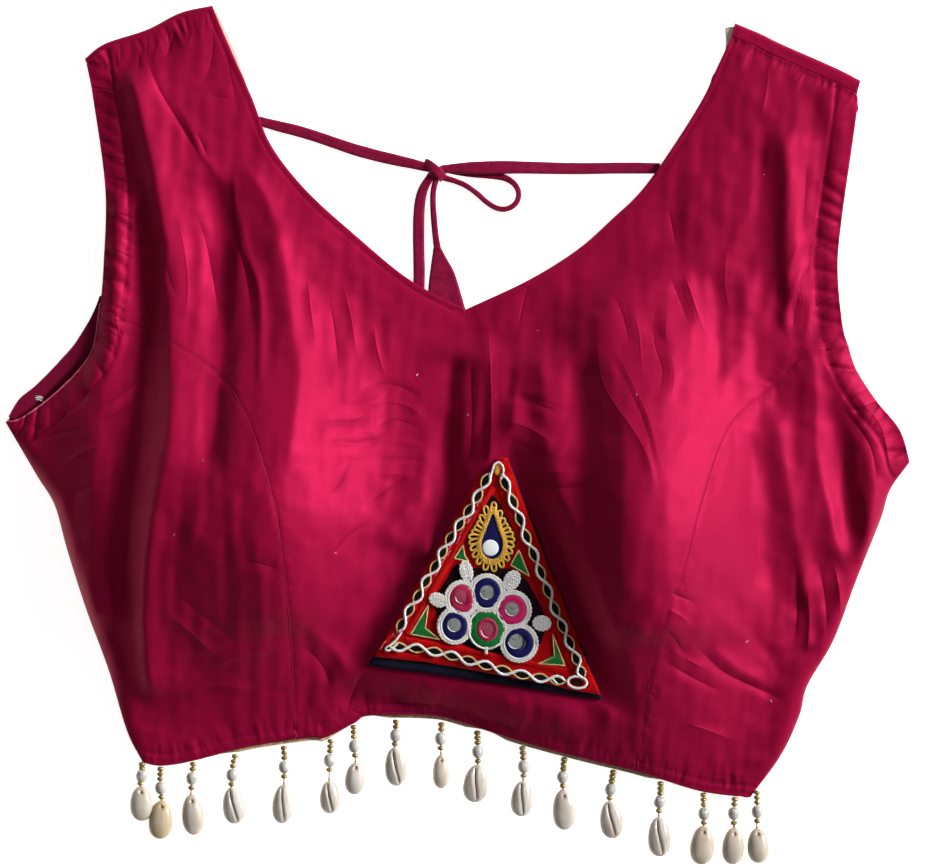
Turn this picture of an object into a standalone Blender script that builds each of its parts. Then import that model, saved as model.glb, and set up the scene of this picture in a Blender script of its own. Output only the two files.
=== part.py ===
"""A sleeveless choli blouse laid flat on its back, with the front uppermost.

The front is a princess-line front with two padded cups. The back has a deep neck that is held by
two ties in a bow. A triangular mirror-work patch lies on the front, and a tape under the front hem
carries seventeen bead strings with a cowrie shell on each.

Tables and sizes are in millimetres, in one frame: +X to the right, +Y towards the shoulders, +Z up
from the surface that the blouse lies on, with the origin under the middle of the whole. Meshes are
made in metres.
"""

from collections import namedtuple
import math

import bmesh
import bpy
from mathutils import Matrix
import numpy as np

MM = 0.001
NAME = "choli_blouse"

# Cloth: thicknesses and the heights that they add up to.
WALL = 1.2  # one panel with its facing
GAP = 0.3  # between pieces that are sewn or lie together
TRIM_WALL = 1.0  # facings and tape
BACK_MIDDLE = WALL / 2  # the back lies on the surface
TRIM_MIDDLE = WALL + GAP + TRIM_WALL / 2  # a facing lies on the back
EDGE_TOP = 4.2  # the front's outer height along its open edges
SIDE_TOP = 2.3  # and along the side seams, where it comes down to the back
SIDE_ROLL = 7.0  # how far in from a side seam the front rolls over
PUFF = 4.0  # air under the front, away from its edges
PUFF_REACH = 34.0
FOLD_FADE = 8.0  # folds die out this near to an open edge
FOLD_RADIUS = (EDGE_TOP - WALL / 2 - BACK_MIDDLE) / 2  # the back strap's turn at the shoulder
FOLD_LAP = 1.5  # of the back strap that lies on the front's side

# The outline, as the points that its curves pass through, x and y.
HEM = (
    (-157.2, -163.5),
    (-149, -165),
    (-134, -163),
    (-104, -155.5),
    (-74, -151),
    (-66, -151),
    (-51, -143.5),
    (-44, -140),
    (-14, -140),
    (1, -143),
    (31, -152.5),
    (61, -160.5),
    (91, -168),
    (121, -177.5),
    (146.2, -181),
)
SIDE_LEFT = (
    (-157.2, -163.5),
    (-165.2, -147.5),
    (-174.2, -117.5),
    (-185.2, -87.5),
    (-194.8, -57.5),
    (-201.2, -35),
    (-210.2, -20),
    (-225.8, 6.5),
)
SIDE_RIGHT = (
    (146.2, -181),
    (161.8, -159.5),
    (170.8, -140),
    (174.8, -125),
    (187.8, -102.5),
    (199.2, -72.5),
    (211.2, -42.5),
    (216, -27.5),
    (225.8, -13.5),
)
ARMHOLE_LEFT_LOW = ((-225.8, 6.5), (-216.8, 8.5), (-197.8, 23), (-182.8, 40.5), (-178.5, 61.5))
ARMHOLE_LEFT_HIGH = ((-178.5, 61.5), (-176.7, 85), (-175.8, 122.5), (-181.8, 167.5), (-185.8, 187.5))
ARMHOLE_RIGHT_LOW = ((225.8, -13.5), (220.8, 2.5), (208.8, 17.5), (199.2, 32.5), (195.2, 44))
ARMHOLE_RIGHT_HIGH = (
    (195.2, 44),
    (192.2, 55),
    (189.8, 82.5),
    (191.8, 107.5),
    (198.2, 152.5),
    (200.2, 176.5),
)
NECK_POINT = (3.8, 62.5)
NECK_LEFT = (
    NECK_POINT,
    (-23.8, 77.5),
    (-51.2, 100),
    (-75.8, 122.5),
    (-93.2, 145),
    (-102.8, 167.5),
    (-113.8, 191.5),
    (-122.2, 214),
)
NECK_RIGHT = (
    NECK_POINT,
    (35.8, 77.5),
    (59.8, 92.5),
    (76.8, 107.5),
    (92.2, 122.5),
    (108.2, 145),
    (122.2, 167.5),
    (130.2, 183.5),
    (140.2, 205),
)
SHOULDER_LEFT = ((-185.8, 187.5), (-175.8, 195.5), (-154.8, 203), (-138.2, 211.5), (-122.2, 214))
SHOULDER_RIGHT = ((140.2, 205), (151.2, 200.5), (161.8, 195.5), (189.2, 183.5), (200.2, 176.5))
STRAP_UP_LEFT = (-0.29, 0.957)  # the way each strap runs, towards its shoulder
STRAP_UP_RIGHT = (0.25, 0.968)
PRINCESS_LEFT = (
    (-80.8, -151),
    (-83.2, -88),
    (-86.2, -58.5),
    (-89.8, -33.5),
    (-101.8, 4.5),
    (-116.2, 27.5),
    (-139.8, 44.5),
    (-178.5, 61.5),
)
PRINCESS_RIGHT = (
    (89.2, -167.5),
    (92.8, -132.5),
    (100.8, -94),
    (111.8, -63),
    (120.2, -32),
    (134.8, 4.5),
    (158.2, 26),
    (173.2, 40.5),
    (195.2, 44),
)

# The back: a deep round neck, and an armhole that shows beyond the front's on the left.
BACK_NECK_LEFT = (
    (3.8, -22.5),
    (-16.2, -15),
    (-46.2, 7.5),
    (-71.2, 47.5),
    (-90, 92.5),
    (-99.4, 132.5),
    (-100.2, 154),
    (-107.2, 185.5),
    (-119.8, 214),
)
BACK_NECK_RIGHT = (
    (3.8, -22.5),
    (26.2, -15),
    (53.8, 7.5),
    (78.8, 47.5),
    (93.2, 87.5),
    (100.8, 117.5),
    (104.8, 134),
    (120.6, 163.5),
    (129.2, 181.5),
    (133.5, 206),
)
BACK_ARMHOLE_LEFT = (
    (-225.8, 6.5),
    (-219.2, 17.5),
    (-207.2, 29.5),
    (-187.2, 54),
    (-178.8, 67.5),
    (-173.8, 95),
    (-173.5, 122.5),
    (-179.5, 167.5),
    (-184.2, 187.5),
)
BACK_ARMHOLE_RIGHT = (
    (225, -13),
    (218.6, 1.5),
    (206.4, 16.5),
    (196.8, 31.5),
    (187.4, 82.5),
    (189.4, 107.5),
    (196, 152.5),
    (198.8, 177),
)
BACK_HEM_RISE = 2.0  # the back hem lies this far inside the front's

# Columns: the top of the cup, its height, and how far it reaches to each side.
Cup = namedtuple("Cup", "x y height left right up down")
CUPS = (
    Cup(-86, -44, 40, 116, 104, 138, 136),
    Cup(114, -42, 40, 104, 100, 132, 146),
)
# Columns: a fold's two ends, its height (a trough is negative) and its half width.
Fold = namedtuple("Fold", "x0 y0 x1 y1 height half_width")
FOLDS = (
    Fold(-160, 196, -118, 130, -1.8, 8),
    Fold(-146, 196, -106, 128, 1.6, 9),
    Fold(-166, 180, -146, 96, 1.8, 10),
    Fold(-151, 96, -150, -136, -3.0, 13),
    Fold(-112, 140, -94, 40, -2.2, 9),
    Fold(-84, 76, -80, -10, 2.2, 9),
    Fold(-82, -92, -48, -142, 2.0, 9),
    Fold(-142, -88, -112, -124, 1.8, 9),
    Fold(62, 58, 84, 0, -2.0, 10),
    Fold(182, 112, 160, 58, 1.8, 8),
    Fold(172, 36, 190, -82, -2.4, 10),
    Fold(180, 22, 208, -42, 2.0, 8),
    Fold(100, -74, 160, -136, 2.2, 10),
)

# Columns: where along the hem the tape shows below it, and by how much.
TapeShow = namedtuple("TapeShow", "x show")
TAPE_SHOWS = (
    TapeShow(-150, 0.3),
    TapeShow(-118, 0.3),
    TapeShow(-109, 1.7),
    TapeShow(-66, 1.7),
    TapeShow(-58, 0.3),
    TapeShow(-42, 0.3),
    TapeShow(-34, 1.7),
    TapeShow(4, 1.7),
    TapeShow(12, 0.3),
    TapeShow(18, 0.3),
    TapeShow(25, 1.7),
    TapeShow(94, 1.7),
    TapeShow(102, 0.3),
    TapeShow(140, 0.3),
)
TAPE_HIDDEN = 6.0  # of the tape's width that lies under the hem

# Columns: a facing, the edge that it follows, the shares of the edge that it runs between, and the
# side of the edge that the panel lies on (1 is left of the edge's direction).
Facing = namedtuple("Facing", "name edge start end side")
FACINGS = (
    Facing("neck_facing_left", BACK_NECK_LEFT, 0.80, 0.98, 1),
    Facing("neck_facing_right", BACK_NECK_RIGHT, 0.80, 0.975, -1),
    Facing("armhole_facing_left", BACK_ARMHOLE_LEFT, 0.06, 0.4, -1),
)
FACING_WIDTH = 8.0

# Columns: where the string leaves the hem, the cowrie's middle, its length and width, and how far
# the shell is turned from upright, in degrees.
Drop = namedtuple("Drop", "top_x shell_x shell_y length width turn")
DROPS = (
    Drop(-157.6, -157.8, -184.0, 17.5, 11.0, 4),
    Drop(-148.2, -148.2, -192.0, 19.5, 11.5, -3),
    Drop(-131.8, -132.2, -189.5, 20.5, 10.5, 5),
    Drop(-110.8, -111.8, -185.0, 18.5, 10.5, 7),
    Drop(-86.8, -87.2, -184.2, 19.5, 10.0, -3),
    Drop(-63.2, -63.8, -180.8, 16.5, 9.5, 2),
    Drop(-51.8, -51.2, -171.5, 16.0, 9.5, -2),
    Drop(-30.8, -30.8, -165.5, 19.5, 10.5, 4),
    Drop(-8.2, -8.2, -168.0, 17.0, 8.0, 0),
    Drop(9.8, 9.2, -174.0, 19.0, 12.0, -6),
    Drop(32.2, 32.2, -181.5, 18.0, 10.5, -4),
    Drop(53.2, 53.2, -187.0, 20.5, 11.0, 3),
    Drop(77.8, 76.8, -192.0, 19.0, 11.0, 6),
    Drop(101.2, 100.8, -200.5, 20.0, 11.0, 2),
    Drop(122.8, 122.2, -204.8, 19.5, 11.5, -4),
    Drop(138.6, 137.6, -205.2, 18.5, 10.5, -3),
    Drop(149.4, 150.1, -205.0, 17.5, 10.5, 4),
)
SHELL_HEIGHT = 8.0
SHELL_FLAT = 0.35  # of its half height is cut from the side that it lies on
SHELL_CLEAR = 0.05  # it stands off the surface by this
SHELL_TAPER = 0.16  # how much narrower it is at its lower end
# Columns: a bead's length and radius, from the hem down.
Bead = namedtuple("Bead", "length radius")
BEADS = (
    Bead(2.4, 1.5),
    Bead(2.4, 1.5),
    Bead(2.4, 1.5),
    Bead(6.6, 2.8),
    Bead(2.4, 1.5),
)
THREAD_RADIUS = 0.7
STRING_Z = 3.0  # the middle of a string whose large bead lies on the surface
STRING_TOP = 3.4  # and the lowest that its top end lies
BEAD_SIDES = 6
LONG_BEAD = 5.0  # a bead longer than this stays full for half its length
LOOSE_THREAD = 0.5  # thread shorter than this is left out
STRING_LET_OFF = 0.1  # the string starts this much further below the tape than the gap

# Ties. Columns: the middle of the tie, and its half width and half height there.
Station = namedtuple("Station", "x y z half_wide half_high")
TIE_Z = 1.15  # the middle of a tie that lies on the surface
TIE_LEFT = (
    Station(-97.3, 156.4, TIE_Z, 2.4, 1.0),
    Station(-89, 154.2, TIE_Z, 2.7, 1.0),
    Station(-80.8, 152.2, TIE_Z, 2.8, 1.0),
    Station(-72, 149.6, TIE_Z, 2.8, 1.0),
    Station(-62, 146.2, TIE_Z, 2.8, 1.0),
    Station(-51.2, 142.6, TIE_Z, 2.9, 1.0),
    Station(-41, 139.8, TIE_Z, 2.9, 1.0),
    Station(-31, 137.4, 1.4, 2.8, 1.0),
    Station(-22, 135.4, 1.9, 2.5, 1.0),
    Station(-14.8, 133.5, 2.4, 2.1, 1.1),
)
TIE_RIGHT = (
    Station(101.2, 133.2, TIE_Z, 2.6, 1.0),
    Station(91, 133.4, TIE_Z, 2.8, 1.0),
    Station(79, 133.4, TIE_Z, 2.8, 1.0),
    Station(67, 133.2, TIE_Z, 2.8, 1.0),
    Station(55, 133.2, 1.3, 2.9, 1.0),
    Station(43, 133.4, 2.0, 3.0, 1.0),
    Station(32, 133.6, 3.0, 3.1, 1.0),
    Station(21, 133.6, 3.4, 3.2, 1.0),
    Station(10, 133.4, 3.4, 3.1, 1.0),
    Station(1, 133.2, 3.3, 2.6, 1.0),
    Station(-6.0, 132.8, 3.0, 2.1, 1.1),
)
BOW_LOOP = (
    Station(-6.4, 128.4, 1.7, 1.5, 1.5),
    Station(-1, 126.8, 1.8, 1.4, 1.7),
    Station(4.5, 124.4, 2.1, 1.4, 2.0),
    Station(10, 120.4, 2.3, 1.4, 2.2),
    Station(15, 116, 2.4, 1.4, 2.3),
    Station(20, 113.2, 2.5, 1.4, 2.4),
    Station(25, 113, 2.5, 1.4, 2.4),
    Station(29.2, 115.8, 2.5, 1.4, 2.4),
    Station(30.6, 120.6, 2.4, 1.4, 2.3),
    Station(28.6, 125.2, 2.2, 1.5, 2.1),
    Station(23.8, 128.4, 1.6, 1.7, 1.4),
    Station(17, 130, 1.15, 2.1, 0.9),
    Station(8, 131, 1.1, 2.3, 0.9),
    Station(0.6, 131.8, 1.1, 2.1, 0.9),
    Station(-5.2, 132.4, 1.0, 1.5, 0.8),
)
TAIL_LEFT = (
    Station(-14.2, 128.0, 2.2, 2.0, 1.1),
    Station(-17.2, 122.6, 1.7, 2.4, 1.0),
    Station(-18.8, 116, 1.3, 2.7, 1.0),
    Station(-19.4, 107, TIE_Z, 2.8, 1.0),
    Station(-19.4, 97, TIE_Z, 2.9, 1.0),
    Station(-19.2, 87, TIE_Z, 2.9, 1.0),
    Station(-19.2, 77, TIE_Z, 2.9, 1.0),
    Station(-19.6, 67, TIE_Z, 2.9, 1.0),
    Station(-20.4, 57, TIE_Z, 2.9, 1.0),
    Station(-21.6, 47, TIE_Z, 2.9, 1.0),
    Station(-23, 38, TIE_Z, 2.9, 1.0),
)
TAIL_RIGHT = (
    Station(-10.8, 127.6, 1.9, 1.5, 1.5),
    Station(-12.0, 122, 1.9, 1.5, 1.6),
    Station(-12.2, 116, 1.9, 1.5, 1.7),
    Station(-11.8, 109, 1.8, 1.6, 1.6),
    Station(-11.2, 102, 1.6, 1.6, 1.4),
    Station(-10.6, 97, 1.4, 1.7, 1.2),
    Station(-10.2, 94.4, 1.2, 1.8, 1.0),
)
TAIL_END = ((-12, 94), (-8.4, 94), (-1, 80), (4.2, 62), (8, 44), (-15.6, 44), (-15.3, 66), (-14.2, 80))
TAIL_END_THICK = 1.6
TAIL_END_CLEAR = 0.1  # it stands off the surface by this
KNOT_MIDDLE = (-10.6, 132.2, 3.0)
KNOT_HALF = (4.0, 3.8, 2.6)

# The patch: a felt triangle, and a red one on it, by their corners.
FELT_CORNERS = ((25, -13), (-44.2, -114), (71.8, -130.5))
GROUND_CORNERS = ((23.2, -9), (-41.2, -109.5), (70.2, -128.5))
FELT_LIFT = 0.8  # above the front
FELT_WALL = 1.2
GROUND_WALL = 1.0
PATCH_SLACK = 0.5  # between felt and ground, whose facets differ
GROUND_LIFT = FELT_LIFT + FELT_WALL + PATCH_SLACK
PATCH_TOP = GROUND_LIFT + GROUND_WALL + GAP
BORDER_CORNERS = ((19.4, -19), (-33.9, -104.6), (60.4, -121))
BORDER_RADIUS = 1.1
ROSETTE_MIDDLE = (14.5, -90)
ROSETTE_WALL = 1.0
# Columns: a round's middle, the radius of its mound, and that of its white rim.
Round = namedtuple("Round", "x y mound rim")
ROUNDS = (
    Round(2.2, -81, 5.8, 9.2),
    Round(14.5, -78.1, 6.4, 10.4),
    Round(27.1, -86.4, 7.0, 11.0),
    Round(-1.4, -94.4, 6.0, 9.6),
    Round(14.8, -95.8, 8.8, 9.8),
    Round(30.5, -102.8, 6.8, 10.6),
)
PETALS = (
    Round(4.4, -67.4, 0, 3.6),
    Round(27.4, -71.8, 0, 4.0),
    Round(-9.2, -82, 0, 3.4),
    Round(42, -93.2, 0, 3.6),
)
ROUND_HEIGHT = 0.9
ROUND_STEEP = 1.6  # a mound is level over the middle part of its radius
DROPLET_MIDDLE = (17.1, -48.4)
DROPLET_HALF = (11.4, 17.4)
DROPLET_POINT = 0.45  # how much its upper half narrows

# Mesh counts.
SEAM_ROWS = 26
ARM_ROWS = 13
CENTRE_ROWS = 20
HALF_COLUMNS = 12
SIDE_COLUMNS = (0, 0.02, 0.05, 0.1, 0.19, 0.31, 0.44, 0.58, 0.72, 0.86, 1)
BACK_ROWS = (7, 14)  # beside the centre, beside the neck
BACK_COLUMNS = (0, 0.06, 0.22, 0.4, 0.6, 0.8, 1)
RIGHT_COLUMNS = tuple(1 - share for share in reversed(BACK_COLUMNS))
FOLD_STEPS = 5
FACING_STEPS = 8
TAPE_STEPS = 44
TIE_SIDES = 8
PATCH_STEPS = 9
PATCH_TIP = 0.02  # the patch's first row is this share of its last, so that the tip has an edge
BORDER_STEPS = 14
BORDER_SIDES = 6
ROSETTE_TURNS, ROSETTE_RINGS = 40, 4
DROPLET_TURNS, DROPLET_RINGS = 20, 2
PLATE_MIDDLE = 0.04  # a round plate's first ring, as a share of its last
BALL_SEGMENTS, BALL_BANDS = 10, 7
MERGE = 0.01  # points nearer than this are one
SHARP_ANGLE = 45

# Columns: a name, its colour, roughness and metallic value.
Finish = namedtuple("Finish", "name red green blue rough metal")
FINISHES = {
    finish.name: finish
    for finish in (
        Finish("raspberry_cloth", 0.33, 0.015, 0.075, 0.6, 0),
        Finish("cream_facing", 0.62, 0.42, 0.30, 0.75, 0),
        Finish("gold_tape", 0.55, 0.40, 0.18, 0.6, 0.1),
        Finish("dark_felt", 0.012, 0.012, 0.03, 0.95, 0),
        Finish("red_ground", 0.42, 0.02, 0.02, 0.8, 0),
        Finish("white_thread", 0.75, 0.73, 0.68, 0.7, 0),
        Finish("gold_thread", 0.55, 0.33, 0.05, 0.5, 0.3),
        Finish("beads", 0.7, 0.6, 0.4, 0.35, 0.2),
        Finish("cowrie_shell", 0.74, 0.68, 0.56, 0.3, 0),
    )
}


def clear_scene():
    for old in list(bpy.data.objects):
        bpy.data.objects.remove(old, do_unlink=True)


def finish_of(name):
    """The named finish as a material, made on first use."""
    material = bpy.data.materials.get(name)
    if material is None:
        row = FINISHES[name]
        material = bpy.data.materials.new(name)
        material.use_nodes = True
        shader = material.node_tree.nodes["Principled BSDF"]
        shader.inputs["Base Color"].default_value = (row.red, row.green, row.blue, 1)
        shader.inputs["Roughness"].default_value = row.rough
        shader.inputs["Metallic"].default_value = row.metal
    return material


def new_object(name, data, finish, collection):
    piece = bpy.data.objects.new(name, data)
    data.materials.append(finish_of(finish))
    collection.objects.link(piece)
    return piece


def line_at(points, shares):
    """Points at the given shares of the length of a Catmull-Rom curve through the points."""
    p = np.array(points, float)
    p = np.vstack([2 * p[0] - p[1], p, 2 * p[-1] - p[-2]])
    t = np.linspace(0, 1, 16, endpoint=False)[:, None]
    pieces = [
        0.5 * (2 * b + (c - a) * t + (2 * a - 5 * b + 4 * c - d) * t**2 + (3 * b - 3 * c + d - a) * t**3)
        for a, b, c, d in zip(p, p[1:], p[2:], p[3:])
    ]
    fine = np.vstack([*pieces, p[-2:-1]])
    along = np.concatenate([[0], np.cumsum(np.linalg.norm(np.diff(fine, axis=0), axis=1))])
    at = np.asarray(shares) * along[-1]
    return np.stack([np.interp(at, along, fine[:, k]) for k in range(fine.shape[1])], axis=1)


def even(steps):
    return np.linspace(0, 1, steps + 1)


def straight_at(line, steps):
    """Evenly spaced points along the straight stretches of a line."""
    along = np.concatenate([[0], np.cumsum(np.linalg.norm(np.diff(line, axis=0), axis=1))])
    at = even(steps) * along[-1]
    return np.stack([np.interp(at, along, line[:, k]) for k in range(2)], axis=1)


def joined(*lines):
    """Lines that follow each other end to end, as one."""
    return np.vstack([lines[0], *[line[1:] for line in lines[1:]]])


def moved_left(line, distance):
    """The line moved sideways to the left of its direction."""
    ahead = np.gradient(line, axis=0)
    ahead /= np.linalg.norm(ahead, axis=1, keepdims=True)
    return line + distance * np.stack([-ahead[:, 1], ahead[:, 0]], axis=1)


def hem_between(x0, x1, shares):
    """Points of the hem from x0 to x1."""
    fine = line_at(HEM, even(240))
    x = x0 + (x1 - x0) * np.asarray(shares)
    return np.stack([x, np.interp(x, fine[:, 0], fine[:, 1])], axis=1)


def coons(left, right, bottom, top, columns):
    """A Coons patch, rows by columns by xy: the two ruled surfaces between facing edges, added,
    less the one between the four corners. Left and right run up, bottom and top run across."""
    left[0], right[0], left[-1], right[-1] = bottom[0], bottom[-1], top[0], top[-1]
    s = np.asarray(columns)[None, :, None]
    t = even(len(left) - 1)[:, None, None]
    sides = (1 - s) * left[:, None] + s * right[:, None]
    ends = (1 - t) * bottom[None] + t * top[None]
    low = (1 - s) * bottom[0] + s * bottom[-1]
    high = (1 - s) * top[0] + s * top[-1]
    return sides + ends - (1 - t) * low - t * high


def distance_to(points, line):
    """How far each point is from the nearest of the line's stretches."""
    best = np.full(points.shape[:-1], np.inf)
    for a, b in zip(line, line[1:]):
        ahead = b - a
        share = np.clip(((points - a) @ ahead) / max(ahead @ ahead, 1e-9), 0, 1)
        best = np.minimum(best, np.linalg.norm(points - a - share[..., None] * ahead, axis=-1))
    return best


def shoulder_seam(shoulder, up):
    """Where the front meets the back strap that has come over the shoulder."""
    back = FOLD_RADIUS + FOLD_LAP + GAP
    fold = line_at(shoulder, BACK_COLUMNS if up is STRAP_UP_LEFT else RIGHT_COLUMNS)
    return fold - back * np.array(up)


OPEN_EDGES = [
    line_at(edge, even(24))
    for edge in (
        HEM,
        ARMHOLE_LEFT_LOW,
        ARMHOLE_LEFT_HIGH,
        ARMHOLE_RIGHT_LOW,
        ARMHOLE_RIGHT_HIGH,
        NECK_LEFT,
        NECK_RIGHT,
        shoulder_seam(SHOULDER_LEFT, STRAP_UP_LEFT),
        shoulder_seam(SHOULDER_RIGHT, STRAP_UP_RIGHT),
    )
]
SIDE_EDGES = [line_at(edge, even(24)) for edge in (SIDE_LEFT, SIDE_RIGHT)]


def cup_height(cup, x, y):
    """A squared cosine of the distance from the cup's top, as a share of its reach on that side."""
    across = (x - cup.x) / np.where(x < cup.x, cup.left, cup.right)
    along = (y - cup.y) / np.where(y < cup.y, cup.down, cup.up)
    return cup.height * np.cos(np.pi / 2 * np.minimum(np.hypot(across, along), 1)) ** 2


def fold_height(fold, points):
    """A bell across the fold, which rises and dies out along it as a squared sine."""
    start, ahead = np.array([fold.x0, fold.y0]), np.array([fold.x1 - fold.x0, fold.y1 - fold.y0])
    share = (points - start) @ ahead / (ahead @ ahead)
    across = np.linalg.norm(points - start - share[..., None] * ahead, axis=-1)
    along = np.sin(np.pi * np.clip(share, 0, 1)) ** 2
    return fold.height * along * np.exp(-((across / fold.half_width) ** 2))


def front_height(points):
    """The front's outer height: the edges' height, air that grows away from them, the cups and
    the folds, brought down in a quarter round at the side seams."""
    x, y = points[..., 0], points[..., 1]
    inside = np.min([distance_to(points, edge) for edge in OPEN_EDGES], axis=0)
    height = EDGE_TOP + PUFF * (1 - np.exp(-inside / PUFF_REACH))
    height += sum(cup_height(cup, x, y) for cup in CUPS)
    height += sum(fold_height(fold, points) for fold in FOLDS) * (1 - np.exp(-inside / FOLD_FADE))
    height = np.maximum(height, EDGE_TOP)
    beside = np.min([distance_to(points, edge) for edge in SIDE_EDGES], axis=0)
    roll = np.sqrt(1 - (1 - np.minimum(beside / SIDE_ROLL, 1)) ** 2)
    return SIDE_TOP + (height - SIDE_TOP) * roll


def grid_faces(rows, columns, start=0):
    """Faces between the points of a grid, counted row by row, that look up."""
    i = start + np.arange(rows - 1)[:, None] * columns + np.arange(columns - 1)
    return np.stack([i, i + 1, i + columns + 1, i + columns], axis=-1).reshape(-1, 4).tolist()


def cloth(name, grids, wall, offset, finish, collection):
    """Point grids, rows by columns by xyz in mm, as one wall with a Solidify modifier."""
    points, faces = [], []
    for grid in grids:
        faces += grid_faces(grid.shape[0], grid.shape[1], sum(len(p) for p in points))
        points.append(grid.reshape(-1, 3))
    mesh = bpy.data.meshes.new(name)
    mesh.from_pydata((np.vstack(points) * MM).tolist(), [], faces)
    work = bmesh.new()
    work.from_mesh(mesh)
    bmesh.ops.remove_doubles(work, verts=work.verts, dist=MERGE * MM)
    work.to_mesh(mesh)
    work.free()
    piece = new_object(name, mesh, finish, collection)
    thicken = piece.modifiers.new("wall", "SOLIDIFY")
    thicken.thickness = wall * MM
    thicken.offset = offset
    mesh.shade_smooth()
    mesh.set_sharp_from_angle(angle=math.radians(SHARP_ANGLE))
    return piece


def raised(xy, height):
    return np.concatenate([xy, np.broadcast_to(height, xy.shape[:-1])[..., None]], axis=-1)


def sweep(name, stations, sides, finish, collection):
    """A closed tube of elliptical rings, square to the line through the stations."""
    s = np.array(stations, float)
    ahead = np.gradient(s[:, :3], axis=0)
    ahead /= np.linalg.norm(ahead, axis=1, keepdims=True)
    wide = np.cross(ahead, [0, 0, 1])
    wide /= np.linalg.norm(wide, axis=1, keepdims=True)
    high = np.cross(wide, ahead)
    turn = np.arange(sides) * 2 * np.pi / sides
    ring = (
        s[:, None, :3]
        + s[:, None, 3:4] * np.cos(turn)[None, :, None] * wide[:, None]
        + s[:, None, 4:5] * np.sin(turn)[None, :, None] * high[:, None]
    )
    count = len(s)
    faces = [
        (r * sides + k, r * sides + (k + 1) % sides, (r + 1) * sides + (k + 1) % sides, (r + 1) * sides + k)
        for r in range(count - 1)
        for k in range(sides)
    ]
    faces += [tuple(range(sides))[::-1], tuple((count - 1) * sides + k for k in range(sides))]
    mesh = bpy.data.meshes.new(name)
    mesh.from_pydata((ring.reshape(-1, 3) * MM).tolist(), [], faces)
    work = bmesh.new()
    work.from_mesh(mesh)
    bmesh.ops.recalc_face_normals(work, faces=work.faces)
    work.to_mesh(mesh)
    work.free()
    mesh.shade_smooth()
    mesh.set_sharp_from_angle(angle=math.radians(SHARP_ANGLE))
    return new_object(name, mesh, finish, collection)


def front_centre(collection):
    """The middle of the front with both straps: two halves that share the centre line."""
    centre_line = line_at((tuple(hem_between(NECK_POINT[0], 90, [0])[0]), NECK_POINT), even(CENTRE_ROWS))
    neck_rows = SEAM_ROWS + ARM_ROWS - CENTRE_ROWS
    top_left = straight_at(shoulder_seam(SHOULDER_LEFT, STRAP_UP_LEFT), HALF_COLUMNS)
    top_right = straight_at(shoulder_seam(SHOULDER_RIGHT, STRAP_UP_RIGHT), HALF_COLUMNS)
    seam_left = moved_left(line_at(PRINCESS_LEFT, even(SEAM_ROWS)), -GAP / 2)
    seam_right = moved_left(line_at(PRINCESS_RIGHT, even(SEAM_ROWS)), GAP / 2)
    arm_left = line_at((*ARMHOLE_LEFT_HIGH[:-1], tuple(top_left[0])), even(ARM_ROWS))
    arm_right = line_at((*ARMHOLE_RIGHT_HIGH[:-1], tuple(top_right[-1])), even(ARM_ROWS))
    neck_left = line_at((*NECK_LEFT[:-1], tuple(top_left[-1])), even(neck_rows))
    neck_right = line_at((*NECK_RIGHT[:-1], tuple(top_right[0])), even(neck_rows))
    columns = even(HALF_COLUMNS)
    left_half = coons(
        joined(seam_left, arm_left),
        joined(centre_line, neck_left),
        hem_between(seam_left[0][0], NECK_POINT[0], columns),
        top_left,
        columns,
    )
    right_half = coons(
        joined(centre_line, neck_right),
        joined(seam_right, arm_right),
        hem_between(NECK_POINT[0], seam_right[0][0], columns),
        top_right,
        columns,
    )
    grids = [raised(half, front_height(half)) for half in (left_half, right_half)]
    return cloth("front_centre", grids, WALL, -1, "raspberry_cloth", collection)


def front_sides(collection):
    """The two side fronts, from the princess seam round to the side seam."""
    seam = moved_left(line_at(PRINCESS_LEFT, even(SEAM_ROWS)), GAP / 2)
    left = coons(
        line_at(SIDE_LEFT, even(SEAM_ROWS)),
        seam,
        hem_between(SIDE_LEFT[0][0], seam[0][0], SIDE_COLUMNS),
        line_at(ARMHOLE_LEFT_LOW, SIDE_COLUMNS),
        SIDE_COLUMNS,
    )
    columns = 1 - np.array(SIDE_COLUMNS)[::-1]
    seam = moved_left(line_at(PRINCESS_RIGHT, even(SEAM_ROWS)), -GAP / 2)
    right = coons(
        seam,
        line_at(SIDE_RIGHT, even(SEAM_ROWS)),
        hem_between(seam[0][0], SIDE_RIGHT[0][0], columns),
        line_at(ARMHOLE_RIGHT_LOW[::-1], columns),
        columns,
    )
    for name, grid in (("front_side_left", left), ("front_side_right", right)):
        cloth(name, [raised(grid, front_height(grid))], WALL, -1, "raspberry_cloth", collection)


def over_the_shoulder(flat, up):
    """A flat grid, with rows added that turn its last row over in a half round and lap it."""
    edge = flat[-1]
    axis = edge - FOLD_RADIUS * np.array(up)
    rows = [*raised(np.concatenate([flat[:-1], axis[None]]), BACK_MIDDLE)]
    for angle in np.linspace(0, math.pi, FOLD_STEPS + 1)[1:]:
        place = axis + FOLD_RADIUS * math.sin(angle) * np.array(up)
        rows.append(raised(place, BACK_MIDDLE + FOLD_RADIUS * (1 - math.cos(angle))))
    rows.append(raised(axis - FOLD_LAP * np.array(up), BACK_MIDDLE + 2 * FOLD_RADIUS))
    return np.stack(rows)


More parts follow.
